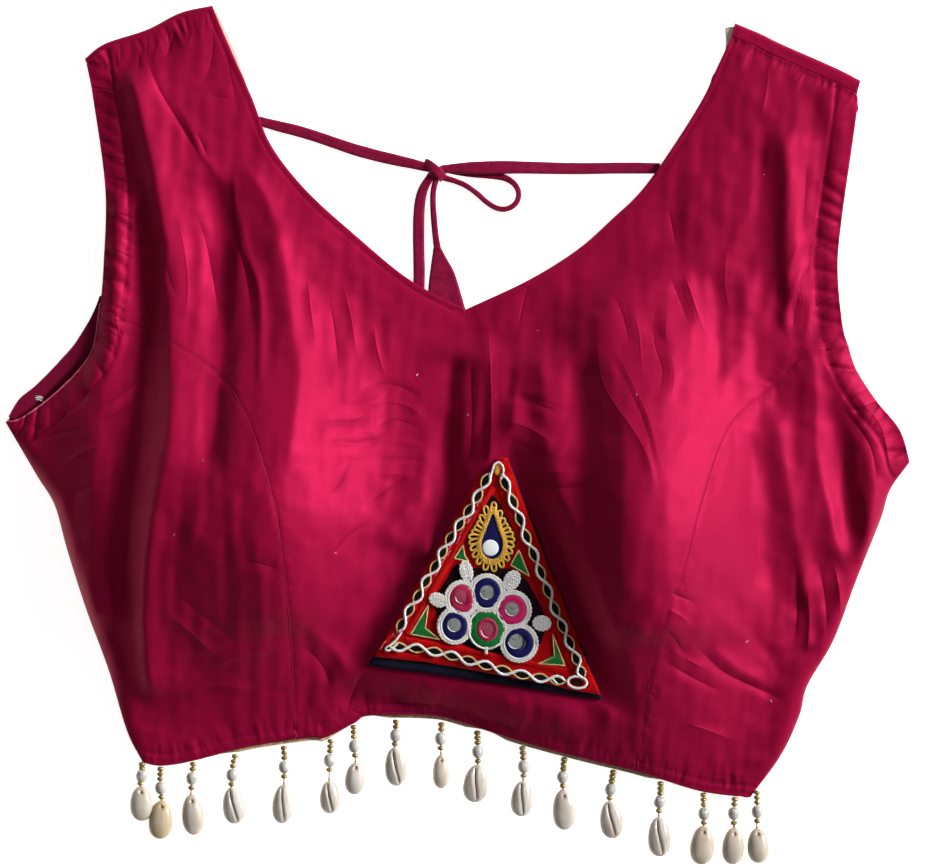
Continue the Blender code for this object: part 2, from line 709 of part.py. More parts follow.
def back_panels(collection):
    """The two halves of the back, which meet at the centre back under the deep neck."""
    rise = np.array([0, BACK_HEM_RISE])
    low, high = BACK_ROWS
    middle = NECK_POINT[0] - GAP / 2
    bottom = hem_between(SIDE_LEFT[0][0] + 1, middle, BACK_COLUMNS) + rise
    left = coons(
        joined(line_at(SIDE_LEFT, even(low)), line_at(BACK_ARMHOLE_LEFT, even(high))),
        joined(
            line_at((tuple(bottom[-1]), (middle, BACK_NECK_LEFT[0][1])), even(low)),
            line_at(((middle, BACK_NECK_LEFT[0][1]), *BACK_NECK_LEFT[1:]), even(high)),
        ),
        bottom,
        line_at(SHOULDER_LEFT, BACK_COLUMNS),
        BACK_COLUMNS,
    )
    middle = NECK_POINT[0] + GAP / 2
    bottom = hem_between(middle, SIDE_RIGHT[0][0] - 1, RIGHT_COLUMNS) + rise
    right = coons(
        joined(
            line_at((tuple(bottom[0]), (middle, BACK_NECK_RIGHT[0][1])), even(low)),
            line_at(((middle, BACK_NECK_RIGHT[0][1]), *BACK_NECK_RIGHT[1:]), even(high)),
        ),
        joined(line_at(SIDE_RIGHT, even(low)), line_at(BACK_ARMHOLE_RIGHT, even(high))),
        bottom,
        line_at(SHOULDER_RIGHT, RIGHT_COLUMNS),
        RIGHT_COLUMNS,
    )
    for name, flat, up in (("back_left", left, STRAP_UP_LEFT), ("back_right", right, STRAP_UP_RIGHT)):
        cloth(name, [over_the_shoulder(flat, up)], WALL, 0, "raspberry_cloth", collection)


def facings(collection):
    """The facings that show inside the back: at both shoulders' neck edges and the left armhole."""
    for row in FACINGS:
        outer = line_at(row.edge, row.start + (row.end - row.start) * even(FACING_STEPS))
        inner = moved_left(outer, row.side * FACING_WIDTH)
        grid = np.stack([outer, inner] if row.side < 0 else [inner, outer], axis=1)
        cloth(row.name, [raised(grid, TRIM_MIDDLE)], TRIM_WALL, 0, "cream_facing", collection)


def tape_show(x):
    return np.interp(x, [row.x for row in TAPE_SHOWS], [row.show for row in TAPE_SHOWS])


def tape_height(xy):
    """The middle height of the tape, which lies close under the front."""
    return front_height(xy) - WALL - GAP - TRIM_WALL


def hem_tape(collection):
    """The tape under the front hem that the drops hang from."""
    hem = hem_between(TAPE_SHOWS[0].x, TAPE_SHOWS[-1].x, even(TAPE_STEPS))
    low = hem - np.stack([np.zeros(len(hem)), tape_show(hem[:, 0])], axis=1)
    high = hem + np.array([0, TAPE_HIDDEN])
    heights = np.minimum(tape_height(hem), tape_height(high))
    grid = np.stack([raised(high, heights), raised(low, heights)], axis=1)
    cloth("hem_tape", [grid], TRIM_WALL, 0, "gold_tape", collection)


def string_rings(start, end):
    """Stations from start to end: each bead swells from the thread, and thread fills the rest."""
    length = math.dist(start, end)
    beads = list(BEADS)
    spare = length - sum(bead.length for bead in beads)
    if spare < 0:
        beads = beads[1:]
        spare = length - sum(bead.length for bead in beads)
    rings, at = [(0, THREAD_RADIUS)], 0
    for bead in beads:
        swell = (0.25, 0.75) if bead.length > LONG_BEAD else (0.5,)
        rings += [(at + bead.length * share, bead.radius) for share in swell]
        at += bead.length
        rings.append((at, THREAD_RADIUS))
    if spare > LOOSE_THREAD:
        rings.append((length, THREAD_RADIUS))
    ahead = (np.array(end) - np.array(start)) / length
    scale = length / rings[-1][0]
    return [(*(np.array(start) + ahead * at * scale), radius, radius) for at, radius in rings]


def shell_mesh(drop):
    """A cowrie: a sphere stretched to its length, tapered to its lower end, flat underneath."""
    mesh = bpy.data.meshes.new("cowrie")
    work = bmesh.new()
    bmesh.ops.create_uvsphere(work, u_segments=BALL_SEGMENTS, v_segments=BALL_BANDS, radius=1)
    for vertex in work.verts:
        x, y, z = vertex.co.x, vertex.co.z, -vertex.co.y
        width = drop.width / 2 * (1 + SHELL_TAPER * y)
        vertex.co = (x * width, y * drop.length / 2, max(z, SHELL_FLAT - 1) * SHELL_HEIGHT / 2)
    work.to_mesh(mesh)
    work.free()
    mesh.transform(Matrix.Scale(MM, 4))
    mesh.shade_smooth()
    return mesh


def drops(collection):
    """The bead strings and their cowries, which lie on the surface below the hem."""
    rest = (1 - SHELL_FLAT) * SHELL_HEIGHT / 2 + SHELL_CLEAR
    low_edge = np.array([SIDE_LEFT[1], *HEM, SIDE_RIGHT[1]])
    for number, drop in enumerate(DROPS, 1):
        edge = float(np.interp(drop.top_x, low_edge[:, 0], low_edge[:, 1]))
        show = max(tape_show(drop.top_x + side) for side in (-3, 0, 3))
        height = float(tape_height(np.array([drop.top_x, edge])))
        start = (drop.top_x, edge - show - GAP - STRING_LET_OFF, max(STRING_TOP, height))
        turn = math.radians(drop.turn)
        tip = drop.length / 2 + GAP
        end = (drop.shell_x - tip * math.sin(turn), drop.shell_y + tip * math.cos(turn), STRING_Z)
        rings = string_rings(start, end)
        sweep(f"bead_string_{number:02d}", rings, BEAD_SIDES, "beads", collection)
        shell = new_object(f"cowrie_{number:02d}", shell_mesh(drop), "cowrie_shell", collection)
        shell.location = (drop.shell_x * MM, drop.shell_y * MM, rest * MM)
        shell.rotation_euler = (0, 0, turn)


def knot(collection):
    """The bow's knot: a rounded lump."""
    mesh = bpy.data.meshes.new("bow_knot")
    work = bmesh.new()
    bmesh.ops.create_uvsphere(work, u_segments=BALL_SEGMENTS, v_segments=BALL_BANDS, radius=1)
    for vertex in work.verts:
        vertex.co = [c * half * MM for c, half in zip(vertex.co, KNOT_HALF)]
    work.to_mesh(mesh)
    work.free()
    mesh.shade_smooth()
    piece = new_object("bow_knot", mesh, "raspberry_cloth", collection)
    piece.location = [c * MM for c in KNOT_MIDDLE]


def tail_end(collection):
    """The folded cloth point on the right tail, a flat outline with its thickness."""
    curve = bpy.data.curves.new("tail_end", "CURVE")
    curve.dimensions = "2D"
    curve.fill_mode = "BOTH"
    curve.extrude = TAIL_END_THICK / 2 * MM
    spline = curve.splines.new("POLY")
    spline.points.add(len(TAIL_END) - 1)
    for point, (x, y) in zip(spline.points, TAIL_END):
        point.co = (x * MM, y * MM, 0, 1)
    spline.use_cyclic_u = True
    piece = new_object("tail_end", curve, "raspberry_cloth", collection)
    piece.location.z = (TAIL_END_CLEAR + TAIL_END_THICK / 2) * MM


def ties(collection):
    """Both ties, the bow's loop and the two tails."""
    for name, stations in (
        ("tie_left", TIE_LEFT),
        ("tie_right", TIE_RIGHT),
        ("bow_loop", BOW_LOOP),
        ("tail_left", TAIL_LEFT),
        ("tail_right", TAIL_RIGHT),
    ):
        sweep(name, stations, TIE_SIDES, "raspberry_cloth", collection)


def triangle_grid(corners):
    """Points of a triangle as a grid whose rows shrink to its first corner."""
    top, left, right = np.array(corners, float)
    t, s = even(PATCH_STEPS)[:, None, None], even(PATCH_STEPS)[None, :, None]
    t = PATCH_TIP + (1 - PATCH_TIP) * t
    return (top + t * ((1 - s) * (left - top) + s * (right - top)))[::-1]


def patch_layers(collection):
    """The felt and the red ground, made from the front's points moved out."""
    felt, ground = triangle_grid(FELT_CORNERS), triangle_grid(GROUND_CORNERS)
    grid = raised(felt, front_height(felt) + FELT_LIFT)
    cloth("patch_felt", [grid], FELT_WALL, 1, "dark_felt", collection)
    grid = raised(ground, front_height(ground) + GROUND_LIFT)
    cloth("patch_ground", [grid], GROUND_WALL, 1, "red_ground", collection)


def patch_border(collection):
    """The raised cord that runs round the patch, inside its edge, as a closed tube."""
    corners = np.array(BORDER_CORNERS, float)
    middle = corners.mean(axis=0)
    stretches = zip(corners, np.roll(corners, -1, axis=0))
    path = np.vstack([np.linspace(a, b, BORDER_STEPS, endpoint=False) for a, b in stretches])
    path = raised(path, front_height(path) + PATCH_TOP + GAP + BORDER_RADIUS)
    out = path[:, :2] - middle
    out = raised(out / np.linalg.norm(out, axis=1, keepdims=True), 0)
    turn = np.arange(BORDER_SIDES) * 2 * np.pi / BORDER_SIDES
    rings = path[:, None] + BORDER_RADIUS * (
        np.cos(turn)[None, :, None] * out[:, None] + np.sin(turn)[None, :, None] * np.array([0, 0, 1])
    )
    rings = np.concatenate([rings, rings[:1]])
    rings = np.concatenate([rings, rings[:, :1]], axis=1)
    mesh = bpy.data.meshes.new("patch_border")
    faces = grid_faces(rings.shape[0], rings.shape[1])
    mesh.from_pydata((rings.reshape(-1, 3) * MM).tolist(), [], faces)
    work = bmesh.new()
    work.from_mesh(mesh)
    bmesh.ops.remove_doubles(work, verts=work.verts, dist=MERGE * MM)
    bmesh.ops.recalc_face_normals(work, faces=work.faces)
    work.to_mesh(mesh)
    work.free()
    mesh.shade_smooth()
    new_object("patch_border", mesh, "white_thread", collection)


def round_grid(middle, radius_at, turns, rings):
    """A polar grid: rings by turns, closed on itself, from a tiny circle out to radius_at(angle)."""
    angle = np.linspace(0, 2 * np.pi, turns + 1)
    share = np.linspace(PLATE_MIDDLE, 1, rings + 1)[:, None]
    reach = share * radius_at(angle)[None]
    ring = np.stack([reach * np.cos(angle), reach * np.sin(angle)], axis=-1)
    return np.array(middle) + ring[::-1]


def closed_plate(name, grid, heights, wall, finish, collection):
    """A polar grid as a plate: its middle is filled, and a Solidify gives its wall."""
    points = raised(grid, heights)
    rows, columns = points.shape[:2]
    mesh = bpy.data.meshes.new(name)
    faces = grid_faces(rows, columns)
    faces.append(tuple((rows - 1) * columns + k for k in range(columns - 1)))
    mesh.from_pydata((points.reshape(-1, 3) * MM).tolist(), [], faces)
    work = bmesh.new()
    work.from_mesh(mesh)
    bmesh.ops.remove_doubles(work, verts=work.verts, dist=MERGE * MM)
    bmesh.ops.recalc_face_normals(work, faces=work.faces)
    if sum(face.normal.z for face in work.faces) < 0:
        bmesh.ops.reverse_faces(work, faces=work.faces)
    work.to_mesh(mesh)
    work.free()
    piece = new_object(name, mesh, finish, collection)
    thicken = piece.modifiers.new("wall", "SOLIDIFY")
    thicken.thickness = wall * MM
    thicken.offset = 1
    mesh.shade_smooth()
    mesh.set_sharp_from_angle(angle=math.radians(SHARP_ANGLE))


def patch_rosette(collection):
    """The white scalloped rosette, with a low mound for each of its rounds."""

    def reach(angle):
        """The furthest that a ray from the middle still lies in one of the circles."""
        ray = np.stack([np.cos(angle), np.sin(angle)])
        best = np.zeros(len(angle))
        for circle in ROUNDS + PETALS:
            to = np.array([circle.x, circle.y]) - ROSETTE_MIDDLE
            along = to @ ray
            half = circle.rim**2 - (to @ to - along**2)
            best = np.where(half > 0, np.maximum(best, along + np.sqrt(np.maximum(half, 0))), best)
        return best

    def mound(circle):
        away = np.hypot(grid[..., 0] - circle.x, grid[..., 1] - circle.y)
        return ROUND_HEIGHT * np.clip(ROUND_STEEP * (1 - away / circle.mound), 0, 1)

    grid = round_grid(ROSETTE_MIDDLE, reach, ROSETTE_TURNS, ROSETTE_RINGS)
    mounds = np.max([mound(circle) for circle in ROUNDS], axis=0)
    heights = front_height(grid) + PATCH_TOP + GAP + mounds
    closed_plate("patch_rosette", grid, heights, ROSETTE_WALL, "white_thread", collection)


def patch_droplet(collection):
    """The gold-looped drop above the rosette: an ellipse that narrows upwards."""

    def reach(angle):
        across, along = DROPLET_HALF
        across = across * (1 - DROPLET_POINT * np.clip(np.sin(angle), 0, 1))
        return across * along / np.hypot(along * np.cos(angle), across * np.sin(angle))

    grid = round_grid(DROPLET_MIDDLE, reach, DROPLET_TURNS, DROPLET_RINGS)
    heights = front_height(grid) + PATCH_TOP + GAP
    closed_plate("patch_droplet", grid, heights, ROSETTE_WALL, "gold_thread", collection)


def build():
    clear_scene()
    collection = bpy.data.collections.new(NAME)
    bpy.context.scene.collection.children.link(collection)
    front_centre(collection)
    front_sides(collection)
    back_panels(collection)
    facings(collection)
    hem_tape(collection)
    drops(collection)
    knot(collection)
    ties(collection)
    tail_end(collection)
    patch_layers(collection)
    patch_border(collection)
    patch_rosette(collection)
    patch_droplet(collection)


build()
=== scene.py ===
"""The dressed model of a sleeveless choli blouse that lies flat on its back.

Every visible piece is made again here, finer, where its solid lies: the cloth panels as thin
shells with their creases and stitching, the ties and tails as cords, the mirror-work patch thread
by thread, and the bead strings with their cowries. Tables and sizes are in millimetres, in the
part's own frame: +X to the right, +Y towards the shoulders, +Z up.
"""

from collections import namedtuple
import math

import bpy
import mathutils
import numpy as np
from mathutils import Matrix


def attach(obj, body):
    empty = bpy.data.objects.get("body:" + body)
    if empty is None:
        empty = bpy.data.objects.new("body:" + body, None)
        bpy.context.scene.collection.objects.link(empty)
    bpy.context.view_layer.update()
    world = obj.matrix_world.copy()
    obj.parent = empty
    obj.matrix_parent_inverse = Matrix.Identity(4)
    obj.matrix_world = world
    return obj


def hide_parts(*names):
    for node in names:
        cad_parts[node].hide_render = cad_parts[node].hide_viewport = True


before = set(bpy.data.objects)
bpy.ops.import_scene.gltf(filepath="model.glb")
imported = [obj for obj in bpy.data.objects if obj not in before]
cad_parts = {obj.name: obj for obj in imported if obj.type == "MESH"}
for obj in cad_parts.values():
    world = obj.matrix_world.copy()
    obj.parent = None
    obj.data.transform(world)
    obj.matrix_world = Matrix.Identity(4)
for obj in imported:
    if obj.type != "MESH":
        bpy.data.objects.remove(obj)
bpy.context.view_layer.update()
MM = 0.001


def table(columns, *rows):
    """The rows as named values, each given in the columns' order."""
    return tuple(columns(*row) for row in rows)


# Cloth: thicknesses and the heights that they add up to.
WALL = 1.2  # one panel with its facing
GAP = 0.3  # between pieces that are sewn or lie together
TRIM_WALL = 1.0  # facings and tape
BACK_MIDDLE = WALL / 2  # the back lies on the surface
TRIM_MIDDLE = WALL + GAP + TRIM_WALL / 2  # a facing lies on the back
EDGE_TOP = 4.2  # the front's outer height along its open edges
SIDE_TOP = 2.3  # and along the side seams, where it comes down to the back
LOWEST = 3.3  # the lowest that the front's outer face comes to over the back
SIDE_ROLL = 7.0  # how far in from a side seam the front rolls over
PUFF = 4.0  # air under the front, away from its edges
PUFF_REACH = 34.0
FOLD_RADIUS = (EDGE_TOP - WALL / 2 - BACK_MIDDLE) / 2  # the back strap's turn at the shoulder
LAP_LEFT, LAP_RIGHT = 0.4, 5.0  # of each back strap that lies on the front's side

# The outline, as the points that its curves pass through, x and y.
HEM = (
    (-157.2, -163.5), (-149, -165), (-134, -163), (-104, -155.5), (-74, -151), (-66, -151), (-51, -143.5),
    (-44, -140), (-14, -140), (1, -143), (31, -152.5), (61, -160.5), (91, -168), (121, -177.5),
    (146.2, -181),
)
SIDE_LEFT = (
    (-157.2, -163.5), (-165.2, -147.5), (-174.2, -117.5), (-185.2, -87.5), (-194.8, -57.5), (-201.2, -35),
    (-210.2, -20), (-225.8, 6.5),
)
SIDE_RIGHT = (
    (146.2, -181), (161.8, -159.5), (170.8, -140), (174.8, -125), (187.8, -102.5), (199.2, -72.5),
    (211.2, -42.5), (216, -27.5), (225.8, -13.5),
)
ARMHOLE_LEFT_LOW = ((-225.8, 6.5), (-216.8, 8.5), (-197.8, 23), (-182.8, 40.5), (-178.5, 61.5))
ARMHOLE_LEFT_HIGH = ((-178.5, 61.5), (-176.7, 85), (-175.8, 122.5), (-181.8, 167.5), (-185.8, 187.5))
ARMHOLE_RIGHT_LOW = ((225.8, -13.5), (220.8, 2.5), (208.8, 17.5), (199.2, 32.5), (195.2, 44))
ARMHOLE_RIGHT_HIGH = (
    (195.2, 44), (192.2, 55), (189.8, 82.5), (191.8, 107.5), (198.2, 152.5), (199.8, 166), (201, 176.5),
)
NECK_POINT = (3.8, 62.5)
NECK_LEFT = (
    NECK_POINT, (-23.8, 77.5), (-51.2, 100), (-75.8, 122.5), (-93.2, 145), (-102.4, 168), (-112.8, 191.5),
    (-122.2, 214),
)
NECK_RIGHT = (
    NECK_POINT, (35.8, 77.5), (59.8, 92.5), (76.8, 107.5), (92.2, 122.5), (108.2, 145), (122.2, 167.5),
    (129.6, 183.5), (138.4, 205.2),
)
SHOULDER_LEFT = ((-185.8, 187.5), (-175.8, 195), (-154.8, 202), (-138.2, 210.4), (-122.2, 214))
SHOULDER_RIGHT = ((138.4, 205.2), (151.2, 199.9), (161.8, 194.7), (189.2, 182.6), (201, 176.5))
STRAP_UP_LEFT = (-0.29, 0.957)  # the way each strap runs, towards its shoulder
STRAP_UP_RIGHT = (0.25, 0.968)
PRINCESS_LEFT = (
    (-80.8, -151), (-83.2, -88), (-86.2, -58.5), (-89.8, -33.5), (-101.8, 4.5), (-116.2, 27.5),
    (-139.8, 44.5), (-178.5, 61.5),
)
PRINCESS_RIGHT = (
    (89.2, -167.5), (92.8, -132.5), (100.8, -94), (111.8, -63), (120.2, -32), (134.8, 4.5), (158.2, 26),
    (173.2, 40.5), (195.2, 44),
)

# The back: a deep round neck, and an armhole that shows beyond the front's on the left.
BACK_NECK_LEFT = (
    (3.8, -22.5), (-16.2, -15), (-46.2, 7.5), (-71.2, 47.5), (-90, 92.5), (-99.4, 132.5), (-100.2, 154),
    (-109, 186), (-121.2, 213.4),
)
BACK_NECK_RIGHT = (
    (3.8, -22.5), (26.2, -15), (53.8, 7.5), (78.8, 47.5), (93.2, 87.5), (100.8, 117.5), (104.8, 134),
    (121.4, 163.5), (130.4, 181.5), (134.2, 194.5), (133.4, 204.8),
)
BACK_ARMHOLE_LEFT = (
    (-225.8, 6.5), (-219.2, 17.5), (-210.6, 24.8), (-199.2, 36.4), (-189.4, 48.2), (-179.4, 67.5),
    (-173.8, 95), (-173.5, 122.5), (-179.5, 167.5), (-184.2, 187.5),
)
BACK_ARMHOLE_RIGHT = (
    (225, -13), (218.6, 1.5), (206.4, 16.5), (196.8, 31.5), (187.4, 82.5), (189.4, 107.5), (196, 152.5),
    (198.8, 177),
)

# Columns: the top of the cup, its height, and how far it reaches to each side.
Cup = namedtuple("Cup", "x y height left right up down")
CUPS = table(Cup, (-100, -40, 39, 138, 103, 132, 116), (95, -47, 40, 150, 77, 145, 165))

# Columns: where along the hem the tape shows below it, and by how much.
TapeShow = namedtuple("TapeShow", "x show")
TAPE_SHOWS = table(
    TapeShow,
    (-150, 0.3), (-118, 0.3), (-109, 1.7), (-66, 1.7), (-58, 0.3), (-42, 0.3), (-34, 1.7), (4, 1.7),
    (12, 0.3), (18, 0.3), (25, 1.7), (94, 1.7), (102, 0.3), (140, 0.3),
)
TAPE_HIDDEN = 6.0  # of the tape's width that lies under the hem

# Columns: a facing, the edge that it follows, the shares of the edge that it runs between, and the
# side of the edge that the panel lies on (1 is left of the edge's direction).
Facing = namedtuple("Facing", "name edge start end side")
FACINGS = table(
    Facing,
    ("neck_facing_left", BACK_NECK_LEFT, 0.80, 0.995, 1),
    ("neck_facing_right", BACK_NECK_RIGHT, 0.80, 0.995, -1),
    ("armhole_facing_left", BACK_ARMHOLE_LEFT, 0.015, 0.4, -1),
)
FACING_WIDTH = 8.0

# Columns: where the string leaves the hem, the cowrie's middle, its length and width, and how far
# the shell is turned from upright, in degrees.
Drop = namedtuple("Drop", "top_x shell_x shell_y length width turn")
DROPS = table(
    Drop,
    (-157.6, -157.8, -184.0, 17.5, 11.0, 4), (-148.2, -148.2, -192.0, 19.5, 11.5, -3),
    (-131.8, -132.2, -189.5, 20.5, 10.5, 5), (-110.8, -111.8, -185.0, 18.5, 10.5, 7),
    (-86.8, -87.2, -184.2, 19.5, 10.0, -3), (-63.2, -63.8, -180.8, 16.5, 9.5, 2),
    (-51.8, -51.2, -171.5, 16.0, 9.5, -2), (-30.8, -30.8, -165.5, 19.5, 10.5, 4),
    (-8.2, -8.2, -168.0, 17.0, 8.0, 0), (9.8, 9.2, -174.0, 19.0, 12.0, -6),
    (32.2, 32.2, -181.5, 18.0, 10.5, -4), (53.2, 53.2, -187.0, 20.5, 11.0, 3),
    (77.8, 76.8, -192.0, 19.0, 11.0, 6), (101.2, 100.8, -200.5, 20.0, 11.0, 2),
    (122.8, 122.2, -204.8, 19.5, 11.5, -4), (138.6, 137.6, -205.2, 18.5, 10.5, -3),
    (149.4, 150.1, -205.0, 17.5, 10.5, 4),
)
SHELL_HEIGHT = 8.0
SHELL_FLAT = 0.35  # of its half height is cut from the side that it lies on
SHELL_CLEAR = 0.05  # it stands off the surface by this
SHELL_TAPER = 0.16  # how much narrower it is at its lower end
SHELL_BLUNT, SHELL_FULL = 2.25, 2.3  # how blunt its ends and its dome are; 2 is an ellipse
# Columns: a bead's length and radius, from the hem down.
Bead = namedtuple("Bead", "length radius")
BEADS = table(Bead, (2.4, 1.5), (2.4, 1.5), (2.4, 1.5), (6.6, 2.8), (2.4, 1.5))
STRING_Z = 3.0  # the middle of a string whose large bead lies on the surface
STRING_TOP = 3.4  # and the lowest that its top end lies
LOOSE_THREAD = 0.5  # thread shorter than this is left out
STRING_LET_OFF = 0.1  # the string starts this much further below the tape than the gap

# Ties. Columns: the middle of the tie, and its half width and half height there.
Station = namedtuple("Station", "x y z half_wide half_high")
TIE_Z = 1.15  # the middle of a tie that lies on the surface
TIE_LEFT = table(
    Station,
    (-99.6, 157.0, TIE_Z, 2.4, 1.0), (-97.3, 156.4, TIE_Z, 2.4, 1.0), (-89, 154.2, TIE_Z, 2.7, 1.0),
    (-80.8, 152.2, TIE_Z, 2.8, 1.0), (-72, 149.6, TIE_Z, 2.8, 1.0), (-62, 146.2, TIE_Z, 2.8, 1.0),
    (-51.2, 142.6, TIE_Z, 2.9, 1.0), (-41, 139.8, TIE_Z, 2.9, 1.0), (-31, 137.4, 1.4, 2.8, 1.0),
    (-22, 135.4, 1.9, 2.5, 1.0), (-14.8, 133.5, 2.4, 2.1, 1.1), (-12.8, 132.9, 2.6, 2.0, 1.1),
)
TIE_RIGHT = table(
    Station,
    (101.2, 133.2, TIE_Z, 2.6, 1.0), (91, 133.4, TIE_Z, 2.8, 1.0), (79, 133.4, TIE_Z, 2.8, 1.0),
    (67, 133.2, TIE_Z, 2.8, 1.0), (55, 133.2, 1.3, 2.9, 1.0), (43, 133.4, 2.0, 3.0, 1.0),
    (32, 133.6, 3.0, 3.1, 1.0), (21, 133.6, 3.4, 3.2, 1.0), (10, 133.4, 3.4, 3.1, 1.0),
    (1, 133.2, 3.3, 2.6, 1.0), (-6.0, 132.8, 3.0, 2.1, 1.1), (-8.0, 132.6, 3.0, 2.0, 1.1),
)
BOW_LOOP = table(
    Station,
    (-8.4, 129.6, 2.2, 1.4, 1.4), (-6.4, 128.4, 1.7, 1.5, 1.5), (-1, 126.8, 1.8, 1.4, 1.7),
    (4.5, 124.4, 2.1, 1.4, 2.0), (10, 120.4, 2.3, 1.4, 2.2), (15, 116, 2.4, 1.4, 2.3),
    (20, 113.2, 2.5, 1.4, 2.4), (25, 113, 2.5, 1.4, 2.4), (29.2, 115.8, 2.5, 1.4, 2.4),
    (30.6, 120.6, 2.4, 1.4, 2.3), (28.6, 125.2, 2.2, 1.5, 2.1), (23.8, 128.4, 1.6, 1.7, 1.4),
    (17, 130, 1.15, 2.1, 0.9), (8, 131, 1.1, 2.3, 0.9), (0.6, 131.8, 1.1, 2.1, 0.9),
    (-5.2, 132.4, 1.0, 1.5, 0.8), (-7.2, 132.2, 1.2, 1.5, 0.8),
)
TAIL_LEFT = table(
    Station,
    (-12.8, 130.4, 2.6, 1.8, 1.1), (-14.2, 128.0, 2.2, 2.0, 1.1), (-17.2, 122.6, 1.7, 2.4, 1.0),
    (-18.8, 116, 1.3, 2.7, 1.0), (-19.4, 107, TIE_Z, 2.8, 1.0), (-19.4, 97, TIE_Z, 2.9, 1.0),
    (-19.2, 87, TIE_Z, 2.9, 1.0), (-19.2, 77, TIE_Z, 2.9, 1.0), (-19.6, 67, TIE_Z, 2.9, 1.0),
    (-20.4, 57, TIE_Z, 2.9, 1.0), (-21.6, 47, TIE_Z, 2.9, 1.0), (-23, 38, TIE_Z, 2.9, 1.0),
)
TAIL_RIGHT = table(
    Station,
    (-10.6, 129.6, 2.3, 1.5, 1.5), (-10.8, 127.6, 1.9, 1.5, 1.5), (-12.0, 122, 1.9, 1.5, 1.6),
    (-12.2, 116, 1.9, 1.5, 1.7), (-11.8, 109, 1.8, 1.6, 1.6), (-11.2, 102, 1.6, 1.6, 1.4),
    (-10.6, 97, 1.4, 1.7, 1.2), (-10.2, 94.4, 1.2, 1.8, 1.0), (-10.1, 92.6, 1.2, 1.9, 0.9),
)
KNOT_MIDDLE = (-10.6, 132.2, 3.0)

# The patch: a felt triangle, and a red one on it, by their corners.
FELT_CORNERS = ((25, -13), (-44.2, -114), (71.8, -130.5))
GROUND_CORNERS = ((23.2, -9), (-41.2, -109.5), (70.2, -128.5))
FELT_LIFT = 0.8  # above the front
FELT_WALL = 1.2
PATCH_LEVEL = (20.5, 0.06, 0.06)  # the front under the patch's middle, and its rise to the right and up
PATCH_MIDDLE = (14.5, -90)
PATCH_EASE = 20.0  # how far round the patch the front takes to come back to its own form
GROUND_WALL = 1.0
PATCH_SLACK = 0.5  # between felt and ground, whose facets differ
GROUND_LIFT = FELT_LIFT + FELT_WALL + PATCH_SLACK
PATCH_TOP = GROUND_LIFT + GROUND_WALL + GAP
PATCH_TALL = 105  # from a triangle's top corner to its lower edge

# The camera looks straight down, and the frame is this wide where the blouse lies.
CAMERA_HEIGHT = 2.2
FRAME_WIDTH = 0.464
FRAME_MIDDLE = (0.00325, 0.0005)
SENSOR = 36.0
CLIP = (0.05, 20)


def camera():
    eye = bpy.data.cameras.new("camera")
    eye.sensor_width = SENSOR
    eye.lens = SENSOR * CAMERA_HEIGHT / FRAME_WIDTH
    eye.clip_start, eye.clip_end = CLIP
    stand = bpy.data.objects.new("camera", eye)
    stand.location = (*FRAME_MIDDLE, CAMERA_HEIGHT)
    bpy.context.scene.collection.objects.link(stand)
    bpy.context.scene.camera = stand


# ---- Lines, grids and meshes ----


def line_at(points, shares):
    """Points at the given shares of the length of a Catmull-Rom curve through the points."""
    p = np.array(points, float)
    p = np.vstack([2 * p[0] - p[1], p, 2 * p[-1] - p[-2]])
    t = np.linspace(0, 1, 24, endpoint=False)[:, None]
    pieces = [
        0.5 * (2 * b + (c - a) * t + (2 * a - 5 * b + 4 * c - d) * t**2 + (3 * b - 3 * c + d - a) * t**3)
        for a, b, c, d in zip(p, p[1:], p[2:], p[3:])
    ]
    fine = np.vstack([*pieces, p[-2:-1]])
    along = mm_along(fine)
    at = np.asarray(shares) * along[-1]
    return np.stack([np.interp(at, along, fine[:, k]) for k in range(fine.shape[1])], axis=1)


def even(steps):
    return np.linspace(0, 1, steps + 1)


def length_of(line):
    return float(np.linalg.norm(np.diff(line, axis=0), axis=1).sum())


def mm_along(line):
    """How far along a line of straight stretches each of its points lies."""
    return np.concatenate([[0], np.cumsum(np.linalg.norm(np.diff(line, axis=0), axis=1))])


def bell(value, middle, width, sharp=2):
    """1 at the middle, falling to both sides; a sharper bell has a narrower top."""
    return np.exp(-(np.abs((value - middle) / width) ** sharp))


def straight_at(line, shares):
    """Points at shares of the length of a line of straight stretches."""
    along = mm_along(line)
    at = np.asarray(shares) * along[-1]
    return np.stack([np.interp(at, along, line[:, k]) for k in range(line.shape[1])], axis=1)


def ahead_of(line):
    """The unit direction of a line at each of its points."""
    ahead = np.gradient(line, axis=0)
    return ahead / np.maximum(np.linalg.norm(ahead, axis=1, keepdims=True), 1e-9)


def moved_left(line, distance):
    """The line moved sideways to the left of its direction."""
    ahead = ahead_of(line)
    return line + np.asarray(distance)[..., None] * np.stack([-ahead[:, 1], ahead[:, 0]], axis=1)


def hem_between(x0, x1, shares):
    """Points of the hem from x0 to x1."""
    fine = line_at(HEM, even(480))
    x = x0 + (x1 - x0) * np.asarray(shares)
    return np.stack([x, np.interp(x, fine[:, 0], fine[:, 1])], axis=1)


def in_turn(first, second, split, shares):
    """Two curves end to end: shares up to the split run along the first, the others the second."""
    low, high = shares[shares <= split + 1e-9], shares[shares > split + 1e-9]
    return np.vstack([line_at(first, low / split), line_at(second, (high - split) / (1 - split))])


